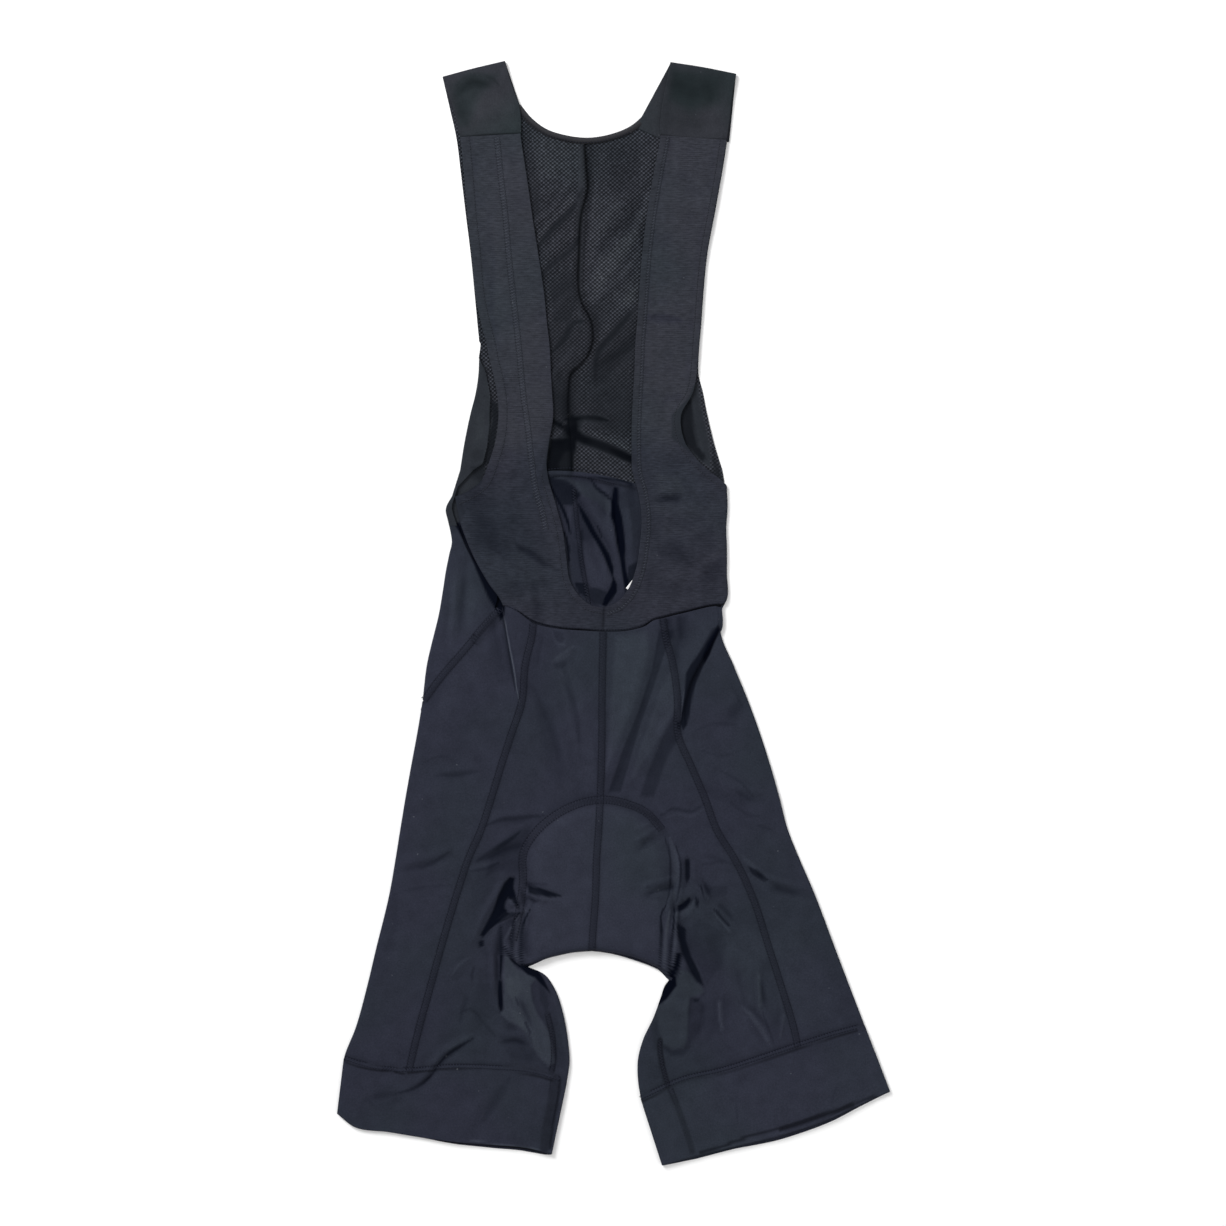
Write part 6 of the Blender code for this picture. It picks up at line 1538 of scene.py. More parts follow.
down = np.linspace(0.0, 1.0, 56)[:, None]
across = np.linspace(-1.0, 1.0, 60)[None, :]
y = PAD_TOP + (PAD_END - PAD_TOP) * down ** 1.5 + 0 * across
half = PAD_HALF * np.sqrt(1 - np.clip((y - PAD_Y) / (PAD_TOP + PAD_ROUNDING - PAD_Y), 0, 1) ** 2)
x = PAD_X + across * half
y = y - CROTCH_BOW * (x - PAD_X) ** 2 * ease(down)
flat = np.stack((x, y), axis=2)
pad_top = np.minimum(bare_height(flat, pleats=False) - 0.6, above(flat, pleats=False)) - WALL
pad_thick = np.clip(pad_top - (LOWER + WALL / 2), PAD_THIN, PAD_THICK)
pad_middle = LOWER + WALL / 2 + 0.1 + pad_thick / 2
seat_pad = slab("seat_pad", lifted(flat, pad_middle), pad_thick, foam_material())
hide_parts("seat_pad")

# ---------------------------------------------------------------- the care label
# A small folded satin label is sewn into the seat; one corner shows under the bib's opening.

LABEL_SIZE, LABEL_CENTRE, LABEL_TURN = (20.0, 34.0), (31.4, 19.8), math.radians(52.0)
LABEL_LEVEL, LABEL_WAVE, LABEL_WALL = 2.0, 0.15, 0.5


def satin_material():
    """White satin ribbon: fine crosswise threads 0.4 mm apart."""
    made, tree, shader, point = new_material("satin", 0.4)
    threads = node(tree, "TexWave", {"Vector": point, "Scale": 400.0, "Distortion": 1.0}).outputs["Fac"]
    coloured(tree, shader, grey(tree, ranged(tree, threads, 0.0, 1.0, 0.72, 0.86)), threads, 0.00003)
    return made


u, v = np.meshgrid(np.linspace(-0.5, 0.5, 16), np.linspace(-0.5, 0.5, 24))
x = LABEL_CENTRE[0] + LABEL_SIZE[0] * u * math.cos(LABEL_TURN) - LABEL_SIZE[1] * v * math.sin(LABEL_TURN)
y = LABEL_CENTRE[1] + LABEL_SIZE[0] * u * math.sin(LABEL_TURN) + LABEL_SIZE[1] * v * math.cos(LABEL_TURN)
grid = lifted(np.stack((x, y), axis=2), LABEL_LEVEL + LABEL_WAVE * np.sin(6 * v))
laid(cloth("care_label", grid, satin_material(), wall=LABEL_WALL), "satin", (0.020, 0.034), None, "seat_right_cloth")

# ---------------------------------------------------------------- the braces and the bib
# One ribbed knit piece for each side: a wide brace that runs down into half of the bib. The edges
# are turned in and stitched; the two halves meet under the opening. The left one lies folded under
# along the hip in a long pleat, and the right one turns over the side fold to the back.

ARMHOLE_LEFT = ((-106, 151), (-112.5, 131.5), (-118, 119), (-129.5, 110), (-141.5, 104.5))
ARMHOLE_RIGHT = ((65.5, 151), (78, 135), (86.5, 127.5), (94.5, 121.5), (102.5, 114))
BRACE_END_LEFT = ((-58, 151), (-60, 133), (-58.5, 121.5), (-52, 99), (-45, 72), (-42, 48.5), (-38.5, 28), (-29.5, 14.5),
                  (-20, 7), (-8, 5))
BRACE_END_RIGHT = ((17, 151), (18, 126), (22.5, 110), (26, 85.5), (24.5, 62), (20.5, 38), (14, 21.5), (3.5, 9.5),
                   (-8, 5))
BIB_BACK_RIGHT = ((98, 114), (96, 99), (92, 74.5), (85.5, 47.5), (81, 20.5), (78.5, 1))

BIB_FOLDS = (
    # the left half
    (-1.7, 3.2, 3.2, 0.2, 0.2, -85.5, 61, -76.5, 55, -65.5, 46, -55, 38.5),
    (1.5, 4, 4, 0.2, 0.2, -82, 67.5, -71, 60.5, -60.5, 51.5, -51.5, 42.5),
    (1.5, 6.4, 6.4, 0.2, 0.2, -128.5, 94.5, -114.5, 91, -101.5, 82, -94.5, 70),
    (-1.4, 5.6, 5.6, 0.2, 0.2, -123.5, 83.5, -110.5, 76.5, -101.5, 65.5),
    (-1.2, 5.6, 5.6, 0.2, 0.2, -114.5, 65.5, -101.5, 55, -89, 47.5),
    (1.4, 6.4, 6.4, 0.2, 0.2, -110.5, 42.5, -96.5, 35, -82, 29.5),
    (-1, 4, 4, 0.2, 0.2, -97, 118, -91, 123.5, -83.5, 128.5),
    (1.2, 4.8, 4.8, 0.2, 0.2, -94.5, 109, -85.5, 114.5, -74.5, 116),
    (1.2, 7.2, 7.2, 0.1, 0.1, -83.5, 101.5, -73, 96.5, -61, 83.5),
    (-1, 4.8, 4.8, 0.1, 0.1, -76.5, 20.5, -65.5, 26, -51.5, 22.5),
    (1, 5.6, 5.6, 0.1, 0.1, -83.5, 11.5, -69.5, 13.5, -52, 8),
    (-1, 4, 4, 0.1, 0.4, -68.5, 11.5, -65.5, 1, -64, -11),
    # the right half
    (-1.7, 2.4, 2.4, 0.2, 0.2, 38, 100, 46, 101.5, 56, 103.5, 61, 99),
    (1.5, 3.2, 3.2, 0.2, 0.2, 38.5, 106, 47.5, 108, 57.5, 108),
    (1.4, 6.4, 6.4, 0.1, 0.1, 56.5, 88, 69.5, 92.5, 83.5, 91),
    (-1, 4.8, 4.8, 0.1, 0.1, 46, 83.5, 60.5, 79, 73, 73),
    (1.4, 5.6, 5.6, 0.1, 0.1, 62, 61, 74.5, 55, 82, 46),
    (-1.4, 6.4, 6.4, 0.1, 0.1, 33.5, 55, 49.5, 58.5, 67.5, 53),
    (1.2, 6.4, 6.4, 0.1, 0.1, 42.5, 25, 53, 29.5, 69.5, 37),
    (-1.2, 6.4, 6.4, 0.1, 0.1, 80, 29.5, 89, 37, 98, 47.5),
    (1, 6.4, 6.4, 0.1, 0.1, 49.5, 1, 69.5, 10, 89, 14.5),
    (-0.8, 3.2, 3.2, 0.1, 0.1, 31.5, 43, 33.5, 29.5, 29, 15.5),
    (1, 4, 4, 0.1, 0.1, 78.5, 119.5, 87.5, 110.5, 94.5, 101.5),
    # the braces
    (1, 9.6, 9.6, 0.1, 0.1, -101.5, 389.5, -100, 317.5, -94.5, 245.5),
    (-0.8, 6.4, 6.4, 0.1, 0.1, -112.5, 362.5, -109, 290.5, -103.5, 227.5),
    (0.8, 8, 8, 0.1, 0.1, 63, 398.5, 56.5, 317.5, 51.5, 245.5),
    (-0.8, 3.2, 4.8, 0.1, 0.1, 31.5, 265.5, 44, 265.5, 60.5, 263),
    (0.8, 4, 4, 0.1, 0.1, 31.5, 271, 46, 272, 62, 269),
    (-0.7, 6.4, 6.4, 0.1, 0.1, 42.5, 196, 53, 193.5, 64, 199),
    (1, 8, 8, 0.1, 0.1, 38, 164.5, 44, 146.5, 53, 128.5),
    (-0.8, 5.6, 5.6, 0.1, 0.1, 24.5, 155.5, 29.5, 128.5, 35, 106),
    (0.8, 7.2, 7.2, 0.1, 0.1, -97, 191.5, -91, 164.5, -83.5, 137.5),
)
# The flat facets of the braces and the bib, with their painted shade and painted highlights (below 0).
BIB_FACETS = (
    # slow painted shade and light over the bib's halves
    (0, 0.17, 12, -136, 125, -66, 123, -61, 57, -129, 57),
    (0, -0.05, 10, 33, 105, 104, 105, 104, 46, 33, 46),
    (0, 0.1, 6, 33, 48, 104, 48, 104, 17, 33, 17),
    (0, 0.07, 8, -48, 21, 24, 21, 26, -17, -48, -17),
    # the braces are painted lighter than the bib, as if nearer the light
    (0, -0.2, 16, -165, 453, -66, 453, -51, 156, -156, 129),
    (0, -0.2, 16, 15, 453, 132, 453, 132, 147, 6, 156),
    # shallow dents, with painted shade and painted highlights
    (-0.2, 0.2, 2.6, -87, 62, -69, 55, -48, 40, -50, 37, -69, 48, -85, 57),
    (-0.3, 0.14, 6, -130, 78, -102, 68, -84, 57, -98, 50, -123, 60),
    (0.2, -0.1, 5, -105, 118, -73, 111, -73, 86, -102, 89),
    (-0.2, 0.12, 5, -134, 118, -120, 111, -105, 93, -120, 82, -138, 96),
    (-0.3, 0.25, 2, 37, 104, 47, 102, 57, 98, 62, 104, 60, 107, 52, 105),
    (0.2, -0.12, 3, 39, 125, 60, 122, 64, 109, 42, 109),
    (-0.2, 0.14, 3.5, 39, 60, 68, 68, 89, 78, 93, 57, 68, 46, 42, 50),
    (0.2, -0.1, 3.5, 46, 46, 68, 42, 93, 53, 93, 35, 60, 24, 42, 32),
    (-0.2, 0.13, 3, 32, 93, 46, 86, 42, 64, 29, 71),
    (-0.2, 0.15, 2.5, -73, 28, -66, 21, -66, -4, -71, -8, -74, 14),
    (-0.1, 0.12, 3, -102, 24, -84, 28, -76, 14, -98, 12),
)
# Painted shade along creases of the bib and the braces: strength, half width, line.
BIB_SHADES = (
    (0.14, 4, -86, 60, -75, 54, -61, 42),
    (0.08, 12, -122, 84, -111, 75, -96, 66),
    (0.18, 2.5, 38, 100, 46, 102, 58, 103),
    (0.18, 3, 29, 266, 44, 266, 62, 263),
    (0.12, 14, 42, 58, 65, 55),
    (0.16, 9, 80, 30, 89, 37, 98, 48),
)


YOKE_FRONT_LEFT, YOKE_FRONT_RIGHT = 430.5, 429.0      # where the braces' inner edges meet the yokes
BRACE_END = 151.0                                    # where the armholes start to curve out
IN_LEFT = joined(torso("in_left", YOKE_FRONT_LEFT, BRACE_END, 60), smooth(BRACE_END_LEFT, 40))
IN_RIGHT = joined(torso("in_right", YOKE_FRONT_RIGHT, BRACE_END, 60), smooth(BRACE_END_RIGHT, 40))
OUT_LEFT = joined(torso("out_left", 427.5, BRACE_END, 60), smooth(ARMHOLE_LEFT, 14))
OUT_RIGHT = joined(torso("out_right", 425.0, BRACE_END, 60), smooth(ARMHOLE_RIGHT, 14))
CENTRE_SEAM = ((-8, 5), (-9, -17))
# Hems turned in along the edges, a band as wide to either side, of which half lies on the cloth; and two seams, the one
# at the waist sunk and painted dark with shadow along it.
BIB_BANDS = (
    band(torso("in_left", YOKE_FRONT_LEFT, BRACE_END, 60), 24.0, 0.45),
    band(smooth(BRACE_END_LEFT[:6], 30), 16.0, 0.35),
    band(IN_LEFT[55:], 5.5, 0.5, 0.06),
    band(IN_RIGHT, 6.5, 0.45, 0.08),
    band(OUT_LEFT, 8.0, 0.45, 0.06),
    band(OUT_RIGHT, 6.0, 0.45, 0.06),
    band(CENTRE_SEAM, 1.6, -0.5, 0.35),
    band(WAIST, 1.4, -1.0, 0.9),
)


def bib_level(xy):
    """Height of the middle of the braces and the bib: folds, hems and the fall to the waist seam."""
    return np.maximum(bare_height(xy) + sway(xy) + relief(xy, BIB_FOLDS) + bands(xy, BIB_BANDS, "lift")
                      + facets(xy, BIB_FACETS, LIFT), UPPER - 0.6)


def rib_group():
    """Rib knit: crosswise ribs, sin(2 pi y / pitch), seen as short broken dashes where the stitches catch the light."""
    tree, given, result = new_group("rib", ("Tone", "Height"), Pitch=1.7)
    point = given["Point"]
    place = node(tree, "SeparateXYZ", {0: point}).outputs
    bend = maths(tree, "MULTIPLY", noise(tree, point, 14.0, 0.0), 4.0)
    y = maths(tree, "MULTIPLY_ADD", place["Y"], 1000.0, bend)
    wave = maths(tree, "SINE", maths(tree, "DIVIDE", maths(tree, "MULTIPLY", y, 2 * math.pi), given["Pitch"]))
    stretched = node(tree, "Mapping", {"Vector": point, "Scale": (150.0, 640.0, 1.0)}).outputs[0]
    dashes = maths(tree, "SUBTRACT", noise(tree, stretched, 1.0, 1.0), 0.5)
    strength = ranged(tree, noise(tree, point, 35.0, 1.0), 0.35, 0.65)
    ribs = maths(tree, "MULTIPLY", wave, maths(tree, "MULTIPLY", strength, 0.34))
    broken = maths(tree, "ADD", ribs, maths(tree, "MULTIPLY", dashes, 2.6))
    tree.links.new(maths(tree, "MULTIPLY_ADD", broken, 0.5, 0.5), result["Tone"])
    tree.links.new(maths(tree, "MULTIPLY", wave, maths(tree, "MULTIPLY_ADD", strength, 0.7, 0.3)), result["Height"])
    return tree


rib = fabric("rib", rib_group(), (0.0233, 0.0248, 0.0348), (0.0201, 0.0236, 0.0325), 0.7, 0.00006, 0.65,
             highlight_tint=(1.0, 1.02, 0.6))
ROWS_BRACE, ROWS_ARM, ROWS_BIB, ROWS_OPENING, ROWS_CENTRE = 140, 24, 64, 77, 13
BIB_COLUMNS, BIB_HEM_COLUMNS = 52, 18
PLEAT_ROWS = 12          # the rows over which the pleat starts

inner = joined(torso("in_left", YOKE_FRONT_LEFT, BRACE_END, ROWS_BRACE), smooth(BRACE_END_LEFT, ROWS_OPENING),
               smooth(CENTRE_SEAM, ROWS_CENTRE))
arm = joined(torso("out_left", 427.5, BRACE_END, ROWS_BRACE), smooth(ARMHOLE_LEFT, ROWS_ARM + 1))
edge = joined(arm, run(column(PLEAT_LEFT, PLEAT_COLUMNS, "x"), 104.5, 6.0, ROWS_BIB))
mix = ease((np.arange(len(edge)) - len(arm) + 1) / PLEAT_ROWS)[:, None]
edge_out = unit(unit(edge - inner) * (1 - mix) + LEFTWARD * mix)
depth = np.where(mix[:, 0] > 0, pleat_at(PLEAT_LEFT, edge[:, 1], "depth"), 0)
zero = np.zeros(len(edge))
reach = 0.25 + 0.75 * mix[:, 0]
probe = pleated(edge, edge_out, depth, zero, zero, HALF_SHARES)
start = edge + (probe[:, 0, :2] - edge) * reach[:, None]
hidden = pleated(edge, edge_out, depth, bib_level(start), np.full(len(edge), UPPER), HALF_SHARES)
hidden[..., :2] = edge[:, None] + (hidden[..., :2] - edge[:, None]) * reach[:, None, None]
hidden[..., 2] = bib_level(start)[:, None] + (hidden[..., 2] - bib_level(start)[:, None]) * mix
flat = spread(inner, start, BIB_COLUMNS, bottom=run(WAIST, inner[-1, 0], start[-1, 0], BIB_COLUMNS, axis=0))
grid = np.concatenate((lifted(flat, bib_level(flat)), hidden[:, 1:]), axis=1)
bib_left = cloth("bib_left", grid, rib, BIB_BANDS, BIB_SHADES, BIB_FACETS)

inner = joined(torso("in_right", YOKE_FRONT_RIGHT, BRACE_END, ROWS_BRACE), smooth(BRACE_END_RIGHT, ROWS_OPENING),
               smooth(CENTRE_SEAM, ROWS_CENTRE))
arm = joined(torso("out_right", 425.0, BRACE_END, ROWS_BRACE), smooth(ARMHOLE_RIGHT, ROWS_ARM + 1))
fold = joined(arm, run(WAIST_SIDE_RIGHT, 114.0, 7.0, ROWS_BIB))
back = joined(arm, run(BIB_BACK_RIGHT, 114.0, 1.0, ROWS_BIB))
tip = len(arm) - 1
rows = np.arange(len(fold))
outward = unit(fold - np.where((rows <= tip)[:, None], inner, back) + 1e-9)
brink = fold - outward * np.where(rows < tip, FRONT_TAIL, BRINK)[:, None]
share = CROSSING + (1 - CROSSING) * ease((rows - tip) / CROSSING_ROWS)
turn = np.where(rows < tip, 0.0, share)
full_width = np.pi * TURN_RADIUS + np.linalg.norm(brink - back, axis=1)
width = np.where(rows < tip, FRONT_TAIL, np.where(share < TURNED_OVER, np.pi * TURN_RADIUS * share, full_width))
flat = spread(inner, brink, BIB_COLUMNS, bottom=run(WAIST, inner[-1, 0], brink[-1, 0], BIB_COLUMNS, axis=0))
level = bib_level(flat)
turned = curl(brink, outward, level[:, -1], turn, width, BIB_HEM_COLUMNS, down=True)
grid = np.concatenate((lifted(flat, level), turned), axis=1)
bib_right = cloth("bib_right", grid, rib, BIB_BANDS, BIB_SHADES, BIB_FACETS)
laid(bib_right, "rib", (0.140, 0.463), 0.0302, "back_mesh_right_cloth", "seat_right_cloth")

# ---------------------------------------------------------------- the shoulder yokes
# Smooth knit yokes carry the braces over the shoulders to the mesh back. They are sewn to the
# braces with plain narrow seams and lie dented where the folds at the shoulders relax.

YOKE_FOLDS = (
    (-1.8, 3, 4.2, 0.2, 0.2, -139.5, 463.5, -134, 470.5, -125, 476, -114.5, 474.5, -105.5, 475),
    (1.8, 5.1, 3.4, 0.2, 0.2, -136, 475, -125, 481.5, -114.5, 480.5, -101.5, 480.5),
    (1.2, 6.8, 6.8, 0.1, 0.1, -121.5, 461.5, -116, 451, -112.5, 440),
    (-0.9, 6, 6, 0.1, 0.1, -139.5, 461.5, -136, 451, -134, 442),
    (-1.8, 7.6, 7.6, 0.3, 0.3, 49.5, 476, 64, 470.5, 80, 467, 94.5, 465.5),
    (1.5, 6.8, 6.8, 0.3, 0.3, 56.5, 485, 73, 482.5, 91, 479.5),
    (1, 6.8, 6.8, 0.3, 0.3, 49.5, 456.5, 69.5, 452.5, 89, 450),
    (-0.8, 4.2, 4.2, 0.1, 0.1, 83.5, 478, 87.5, 466, 89, 454.5),
)
# Painted shade in the yokes' dents and creases: strength, half width, line.
YOKE_SHADES = (
    (0.26, 2.4, -141, 474, -134, 481, -122, 483, -109, 481, -102, 474),
    (0.1, 7, -141, 465, -136, 472, -125, 476, -111, 472),
    (0.14, 5, -135, 464, -133, 451, -132, 440),
)
# Slow painted shade and painted light over the yokes.
YOKE_FACETS = (
    (0, 0.1, 10, 50, 492, 114, 492, 114, 426, 33, 426),
    (0, 0.12, 7, 53, 485, 98, 482, 100, 464, 78, 458, 57, 460),
    (0, 0.12, 7, 46, 496, 69, 492, 78, 435, 42, 431),
    (0, -0.1, 6, 78, 453, 102, 453, 100, 431, 78, 431),
    (0, -0.1, 6, -129, 464, -93, 467, -86, 436, -125, 435),
)
YOKE_SEAM_LEFT, YOKE_SEAM_RIGHT = ((-137, 427.5), (-110, 429.6), (-83, 430.5)), ((43, 429), (72, 426), (102, 425))
YOKE_SEAMS = (
    *(band(line, 1.1, -0.6, 0.5) for line in (YOKE_SEAM_LEFT, YOKE_SEAM_RIGHT)),
    *(band(line, 5.0, 0.3, 0.05) for line in ((-153, 482.5, -146.5, 454.5, -139.5, 427.5),
                                              (110, 488, 105.5, 458, 102.5, 426.5),
                                              (-97, 496, -89, 465.5, -83, 432), (52, 495, 47, 469, 42.5, 428.5))),
)
YOKE_ROWS, OVER_COLUMNS, UNDER_YOKE_COLUMNS = 41, 32, 24


def yoke(name, front_seam, shoulder, back_seam, outer, inner, back_level):
    """A yoke: from its seam in front, over the shoulder, to its seam on the back."""
    front, fold, back = (smooth(line, YOKE_ROWS) for line in (front_seam, shoulder, back_seam))
    outward = outward_of(fold, front)
    brink = fold - outward * BRINK
    over = spread(front, brink, OVER_COLUMNS, *(smooth((front[k], *line, brink[k]), OVER_COLUMNS + 1)
                                                for k, line in ((0, outer), (-1, inner))))
    under = spread(brink, back, UNDER_YOKE_COLUMNS)
    level = UPPER + sway(over) + relief(over, YOKE_FOLDS) + bands(over, YOKE_SEAMS, "lift")
    level = np.maximum(level, UPPER - 1.2)
    below = LOWER + (back_level - LOWER) * ease(np.linspace(0, 1, UNDER_YOKE_COLUMNS + 1))[None, :]
    grid = np.concatenate((lifted(over, level), half_turn(fold, outward, level[:, -1]),
                           lifted(under, np.broadcast_to(below, under.shape[:2]))), axis=1)
    return cloth(name, grid, smooth_knit, YOKE_SEAMS, YOKE_SHADES, YOKE_FACETS)


smooth_knit = fabric("smooth_knit", weave_group(), (0.0265, 0.0282, 0.0350), (0.0190, 0.0252, 0.0288), 0.5, 0.00006,
                     0.6, deep=(0.0040, 0.0068, 0.0078))
yoke_left = yoke("yoke_left", YOKE_SEAM_LEFT, ((-153, 482.5), (-127, 489.5), (-97.5, 496.5)),
                 ((-146.5, 454.5), (-84, 456.5)), ((-142, 450),), ((-83, 443.5), (-84.5, 456.5), (-89, 468)), LOWER)
yoke_right = yoke("yoke_right", YOKE_SEAM_RIGHT, ((52, 495.5), (83.5, 490.5), (110.5, 485)),
                  ((21, 436.5), (52, 424), (104, 424)), ((43, 443.5), (44.5, 455.5), (47, 469)),
                  ((104.5, 443.5), (107, 465.5)), LOWER + 1.0)
laid(yoke_left, "rib", (0.111, 0.063), 0.0059, "back_mesh_left_cloth", "floor")
laid(yoke_right, "rib", (0.139, 0.086), 0.0091, "back_mesh_right_cloth", "floor")

# ---------------------------------------------------------------- the neck binding
# A folded binding closes the neck edge of the mesh back, stitched through along its lower edge.

# Its profile, from the mesh's face over the neck edge and back: distance inwards and height.
NECK_PROFILE = ((-0.3, 0.4), (-0.8, 1.1), (-0.3, 2.0), (1.0, 2.35), (2.8, 2.3), (4.0, 2.1), (4.4, 1.6))
BINDING_LEVEL, BINDING_STEPS = 0.45, 150

edge = smooth(NECK + ((38, 460),), BINDING_STEPS)
inwards = -outward_of(edge, edge + (0.0, -20.0))
profile = smooth(NECK_PROFILE, 22)
across = edge[:, None] + inwards[:, None] * profile[None, :, :1]
# It dips where it runs in under the right yoke.
dip = 1 - 0.6 * ease((np.linspace(0.0, 1.0, BINDING_STEPS)[:, None] - 0.8) / 0.07)
grid = lifted(across, BINDING_LEVEL + (profile[:, 1] - BINDING_LEVEL) * dip)
binding_knit = fabric("binding_knit", weave_group(), (0.0340, 0.0335, 0.0385), (0.0300, 0.0305, 0.0345), 0.5, 0.00006,
                      0.6)
# Painted shade along the binding's inner edge, where it meets the mesh.
neck_binding = cloth("neck_binding", grid, binding_knit, (band(edge + 4.4 * inwards, 2.6, dark=0.34),), wall=0.7)
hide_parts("neck_binding")

# ---------------------------------------------------------------- the stitching
# Dark polyester thread. Flatlock seams have a row of short needle stitches along each side and
# threads laid across between them; hems have a narrow cover stitch.

PITCH, DASH = 2.6, 1.7           # from one needle stitch to the next, and how much of that shows
THREAD, COVER = 0.26, 0.18       # radii of the needle threads and of the threads laid across


def thread_material(name, colour):
    """Twisted thread, the plies 0.3 mm apart."""
    made, tree, shader, point = new_material(name, 0.7)
    plies = node(tree, "TexWave", {"Vector": point, "Scale": 500.0, "Distortion": 2.0}).outputs["Fac"]
    tone = ranged(tree, plies, 0.0, 1.0, 0.7, 1.2)
    lit = node(tree, "VectorMath", {0: colour, "Scale": tone}, operation="SCALE").outputs[0]
    shader.inputs["Specular IOR Level"].default_value = 0.05
    coloured(tree, shader, lit, plies, 0.00005)
    return made


def threads(start, end, radius):
    """Straight four-sided bits of thread between pairs of points: their points and faces."""
    along = unit(end - start)
    side = unit(np.cross(along, (0.0, 0.0, 1.0)))
    up = np.cross(side, along)
    corners = np.stack([radius * (a * side + b * up) for a, b in ((-1, -1), (1, -1), (1, 1), (-1, 1))], axis=1)
    points = np.concatenate((start[:, None] + corners, end[:, None] + corners), axis=1)
    box = np.array(((0, 1, 5, 4), (1, 2, 6, 5), (2, 3, 7, 6), (3, 0, 4, 7), (3, 2, 1, 0), (4, 5, 6, 7)))[:, ::-1]
    return points.reshape(-1, 3), (box[None] + 8 * np.arange(len(start))[:, None, None]).reshape(-1, 4)


def needle_stitches(path, half_width):
    """The ends of the dashes along a path: one row on it, or one row at a half width to either side."""
    for sign in ((1, -1) if half_width else (0,)):
        row = offset(path, sign * half_width)
        step = (row[1:] - row[:-1]) * 0.5
        yield row[:-1] + step * (1 - DASH / PITCH), row[:-1] + step * (1 + DASH / PITCH)


def cover_stitches(path, half_width, kind):
    """The ends of the threads laid across a path: to and fro, or only every other one when they are slanted."""
    a, b = offset(path, half_width * 0.95), offset(path, -half_width * 0.95)
    between = b[:-1] + 0.5 * (b[1:] - b[:-1])
    return ((a[:-1], between), (between, a[1:]))[:1 if kind == "slanted" else 2]


def stitched(name, seams, surface, material, cover_material):
    """The threads of some seams: an object of needle stitches and one of the threads laid across, where there are any.

    A seam is its line, its half width and whether it is covered; surface gives the cloth's middle height.
    """
    needle, cover = [], []
    for line, half_width, covered in seams:
        length = np.linalg.norm(np.diff(np.array(line, float), axis=0), axis=1).sum()
        count = max(3, int(length / PITCH))
        path = smooth(line, count + 1) if len(line) > 2 else np.linspace(line[0], line[-1], count + 1)
        needle += needle_stitches(path, half_width)
        if covered:
            cover += cover_stitches(path, half_width, covered)
    made = []
    for label, pairs, radius, finish in (("needle", needle, THREAD, material), ("cover", cover, COVER, cover_material)):
        if pairs:
            ends = [np.concatenate(points) for points in zip(*pairs)]
            start, end = (np.column_stack((p, surface(p) + (WALL / 2 + radius * 0.5))) for p in ends)
            made.append(mesh_object(f"{name}_{label}", *threads(start, end, radius), finish, {}))
    return made


thread = thread_material("thread", (0.0258, 0.0287, 0.0465))
cover_thread = thread_material("cover_thread", (0.0225, 0.0252, 0.0392))
dark_thread = thread_material("dark_thread", (0.0105, 0.0122, 0.0205))

shorts_rows = [(seam["line"], seam["half_width"] - 1.0, True)
               for label, seam in SEAMS.items() if not label.startswith("cuff")]
cuff_rows = [(offset(SEAMS[label]["line"], -1.4), 1.6, True) for label in ("cuff_left", "cuff_right")]
trimmings = (stitched("shorts_thread", shorts_rows, above, dark_thread, cover_thread)
             + stitched("cuff_thread", cuff_rows, above, dark_thread, thread))
laid(shorts["front_left"], "lycra", *SHORTS_CUTS["front_left"], trimmings=trimmings)

# The row down the middle of the left brace.
BRACE_ROW = ((-104.5, 427.5), (-101.5, 397), (-97, 358), (-93.5, 317.5), (-89.5, 281.5), (-85, 241), (-81, 198),
             (-76.5, 165.5), (-73.5, 137.5), (-69.5, 110.5), (-63, 88), (-60.5, 74.5))
bib_rows = [
    (BRACE_ROW, 2.4, "slanted"),
    (offset(IN_LEFT, -5.2)[66:], 0.0, False),
    (offset(IN_RIGHT, 6.2), 1.3, "slanted"),
    (offset(OUT_LEFT, 7.2), 0.0, False),
    (offset(OUT_RIGHT, -5.4), 0.0, False),
]
brace_thread = thread_material("brace_thread", (0.028, 0.031, 0.040))
pale_thread = thread_material("pale_thread", (0.066, 0.073, 0.094))
waist_rows = [(offset(run(WAIST, -97.0, 96.0, 60, axis=0), 1.9), 0.0, False)]
trimmings = (stitched("bib_thread", bib_rows, bib_level, brace_thread, pale_thread)
             + stitched("waist_thread", waist_rows, bib_level, dark_thread, dark_thread))
laid(bib_left, "rib", (0.111, 0.470), 0.0286, "back_mesh_left_cloth", "seat_left_cloth", trimmings=trimmings)


MESH_FROM, MESH_SEAM_LEVEL = 128.0, LOWER + 1.75     # above this level the lower layer is mesh, and its seam's height


def back_level(xy):
    """Height of the middle of the lower layer where its seams are stitched."""
    return np.where(xy[..., 1] > MESH_FROM, MESH_SEAM_LEVEL, seat_level(xy))


back_rows = [
    (offset(WAIST_RIDGE["line"], 3.4)[1:-1], 0.0, False),
    (offset(WAIST_RIDGE["line"], -3.4)[1:-1], 0.0, False),
    (run(SEAT_CENTRE, 112.0, -10.0, 60), 1.6, True),
    (offset(smooth(NECK, 60), -3.6)[:48], 0.0, False),
]
trimmings = [neck_binding, *stitched("back_thread", back_rows, back_level, dark_thread, cover_thread)]
laid(back_mesh_right, "mesh", (0.149, 0.378), 0.0398, "floor", trimmings=trimmings)

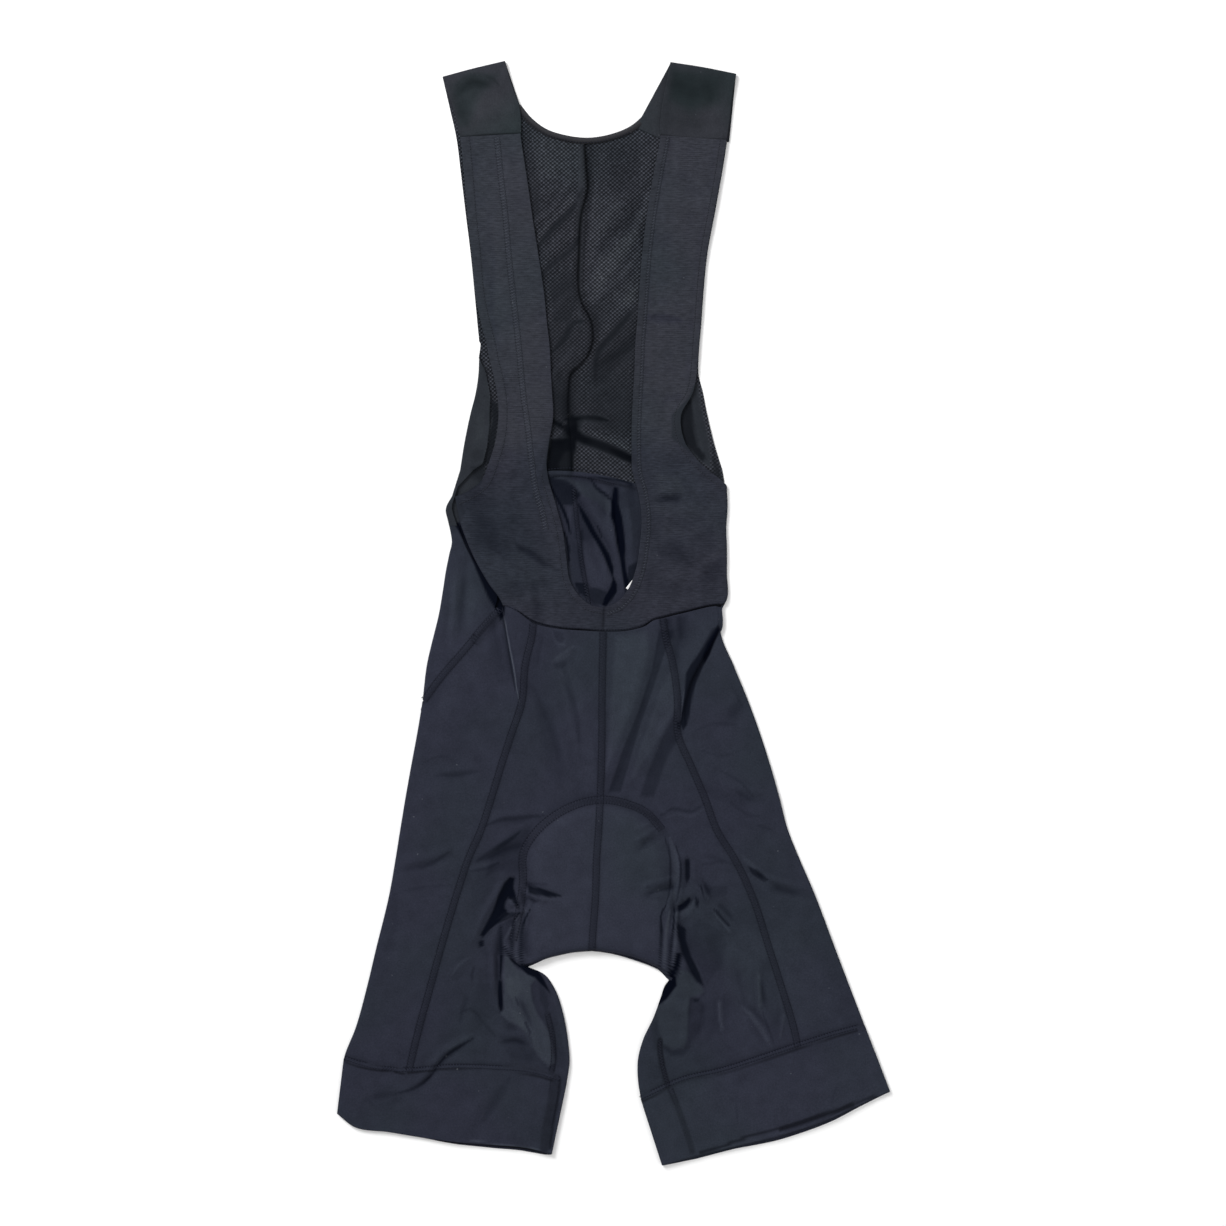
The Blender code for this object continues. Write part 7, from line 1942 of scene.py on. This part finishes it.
# ---------------------------------------------------------------- the floor, the light and the camera
# A plain white studio floor under large soft lights, seen from straight above.

CAMERA_HEIGHT, LENS, SENSOR = 2.605, 85.0, 36.0      # metres, and millimetres for the lens
FLOOR_HALF, SKY = 4.0, 0.36                          # half the floor's side in metres, and the room's own light


def floor_material():
    """White seamless paper with a barely visible unevenness."""
    made, tree, shader, point = new_material("paper", 0.8)
    coloured(tree, shader, grey(tree, ranged(tree, noise(tree, point, 3.0), 0.0, 1.0, 0.965, 0.98)))
    return made


mesh = bpy.data.meshes.new("floor")
mesh.from_pydata([(FLOOR_HALF * x, FLOOR_HALF * y, 0) for x, y in ((-1, -1), (1, -1), (1, 1), (-1, 1))], [],
                 ((0, 1, 2, 3),))
mesh.materials.append(floor_material())
floor = bpy.data.objects.new("floor", mesh)
bpy.context.scene.collection.objects.link(floor)

# Soft boxes, all turned to the middle: where each stands, its side and its power.
LIGHTS = (
    ("key", (-1.7, 1.8, 1.9), 1.3, 92.0),
    ("top", (0.0, 0.3, 2.9), 2.2, 22.0),
    ("fill", (2.2, -1.6, 1.9), 2.0, 22.0),
)
for name, place, size, power in LIGHTS:
    lamp = bpy.data.lights.new(name, "AREA")
    lamp.shape, lamp.size, lamp.size_y, lamp.energy = "RECTANGLE", size, size, power
    light = bpy.data.objects.new(name, lamp)
    light.location = place
    x, y, z = -np.array(place)
    light.rotation_euler = (math.atan2(math.hypot(x, y), -z), 0.0, math.atan2(y, x) - math.pi / 2)
    bpy.context.scene.collection.objects.link(light)

world = bpy.data.worlds.new("studio")
world.use_nodes = True
sky = world.node_tree.nodes["Background"].inputs
sky["Color"].default_value, sky["Strength"].default_value = (1.0, 1.0, 1.0, 1.0), SKY
bpy.context.scene.world = world
bpy.context.scene.view_settings.view_transform = "Standard"

lens = bpy.data.cameras.new("camera")
lens.lens, lens.sensor_width = LENS, SENSOR
camera = bpy.data.objects.new("camera", lens)
camera.location = (0.0, 0.0, CAMERA_HEIGHT)
bpy.context.scene.collection.objects.link(camera)
bpy.context.scene.camera = camera
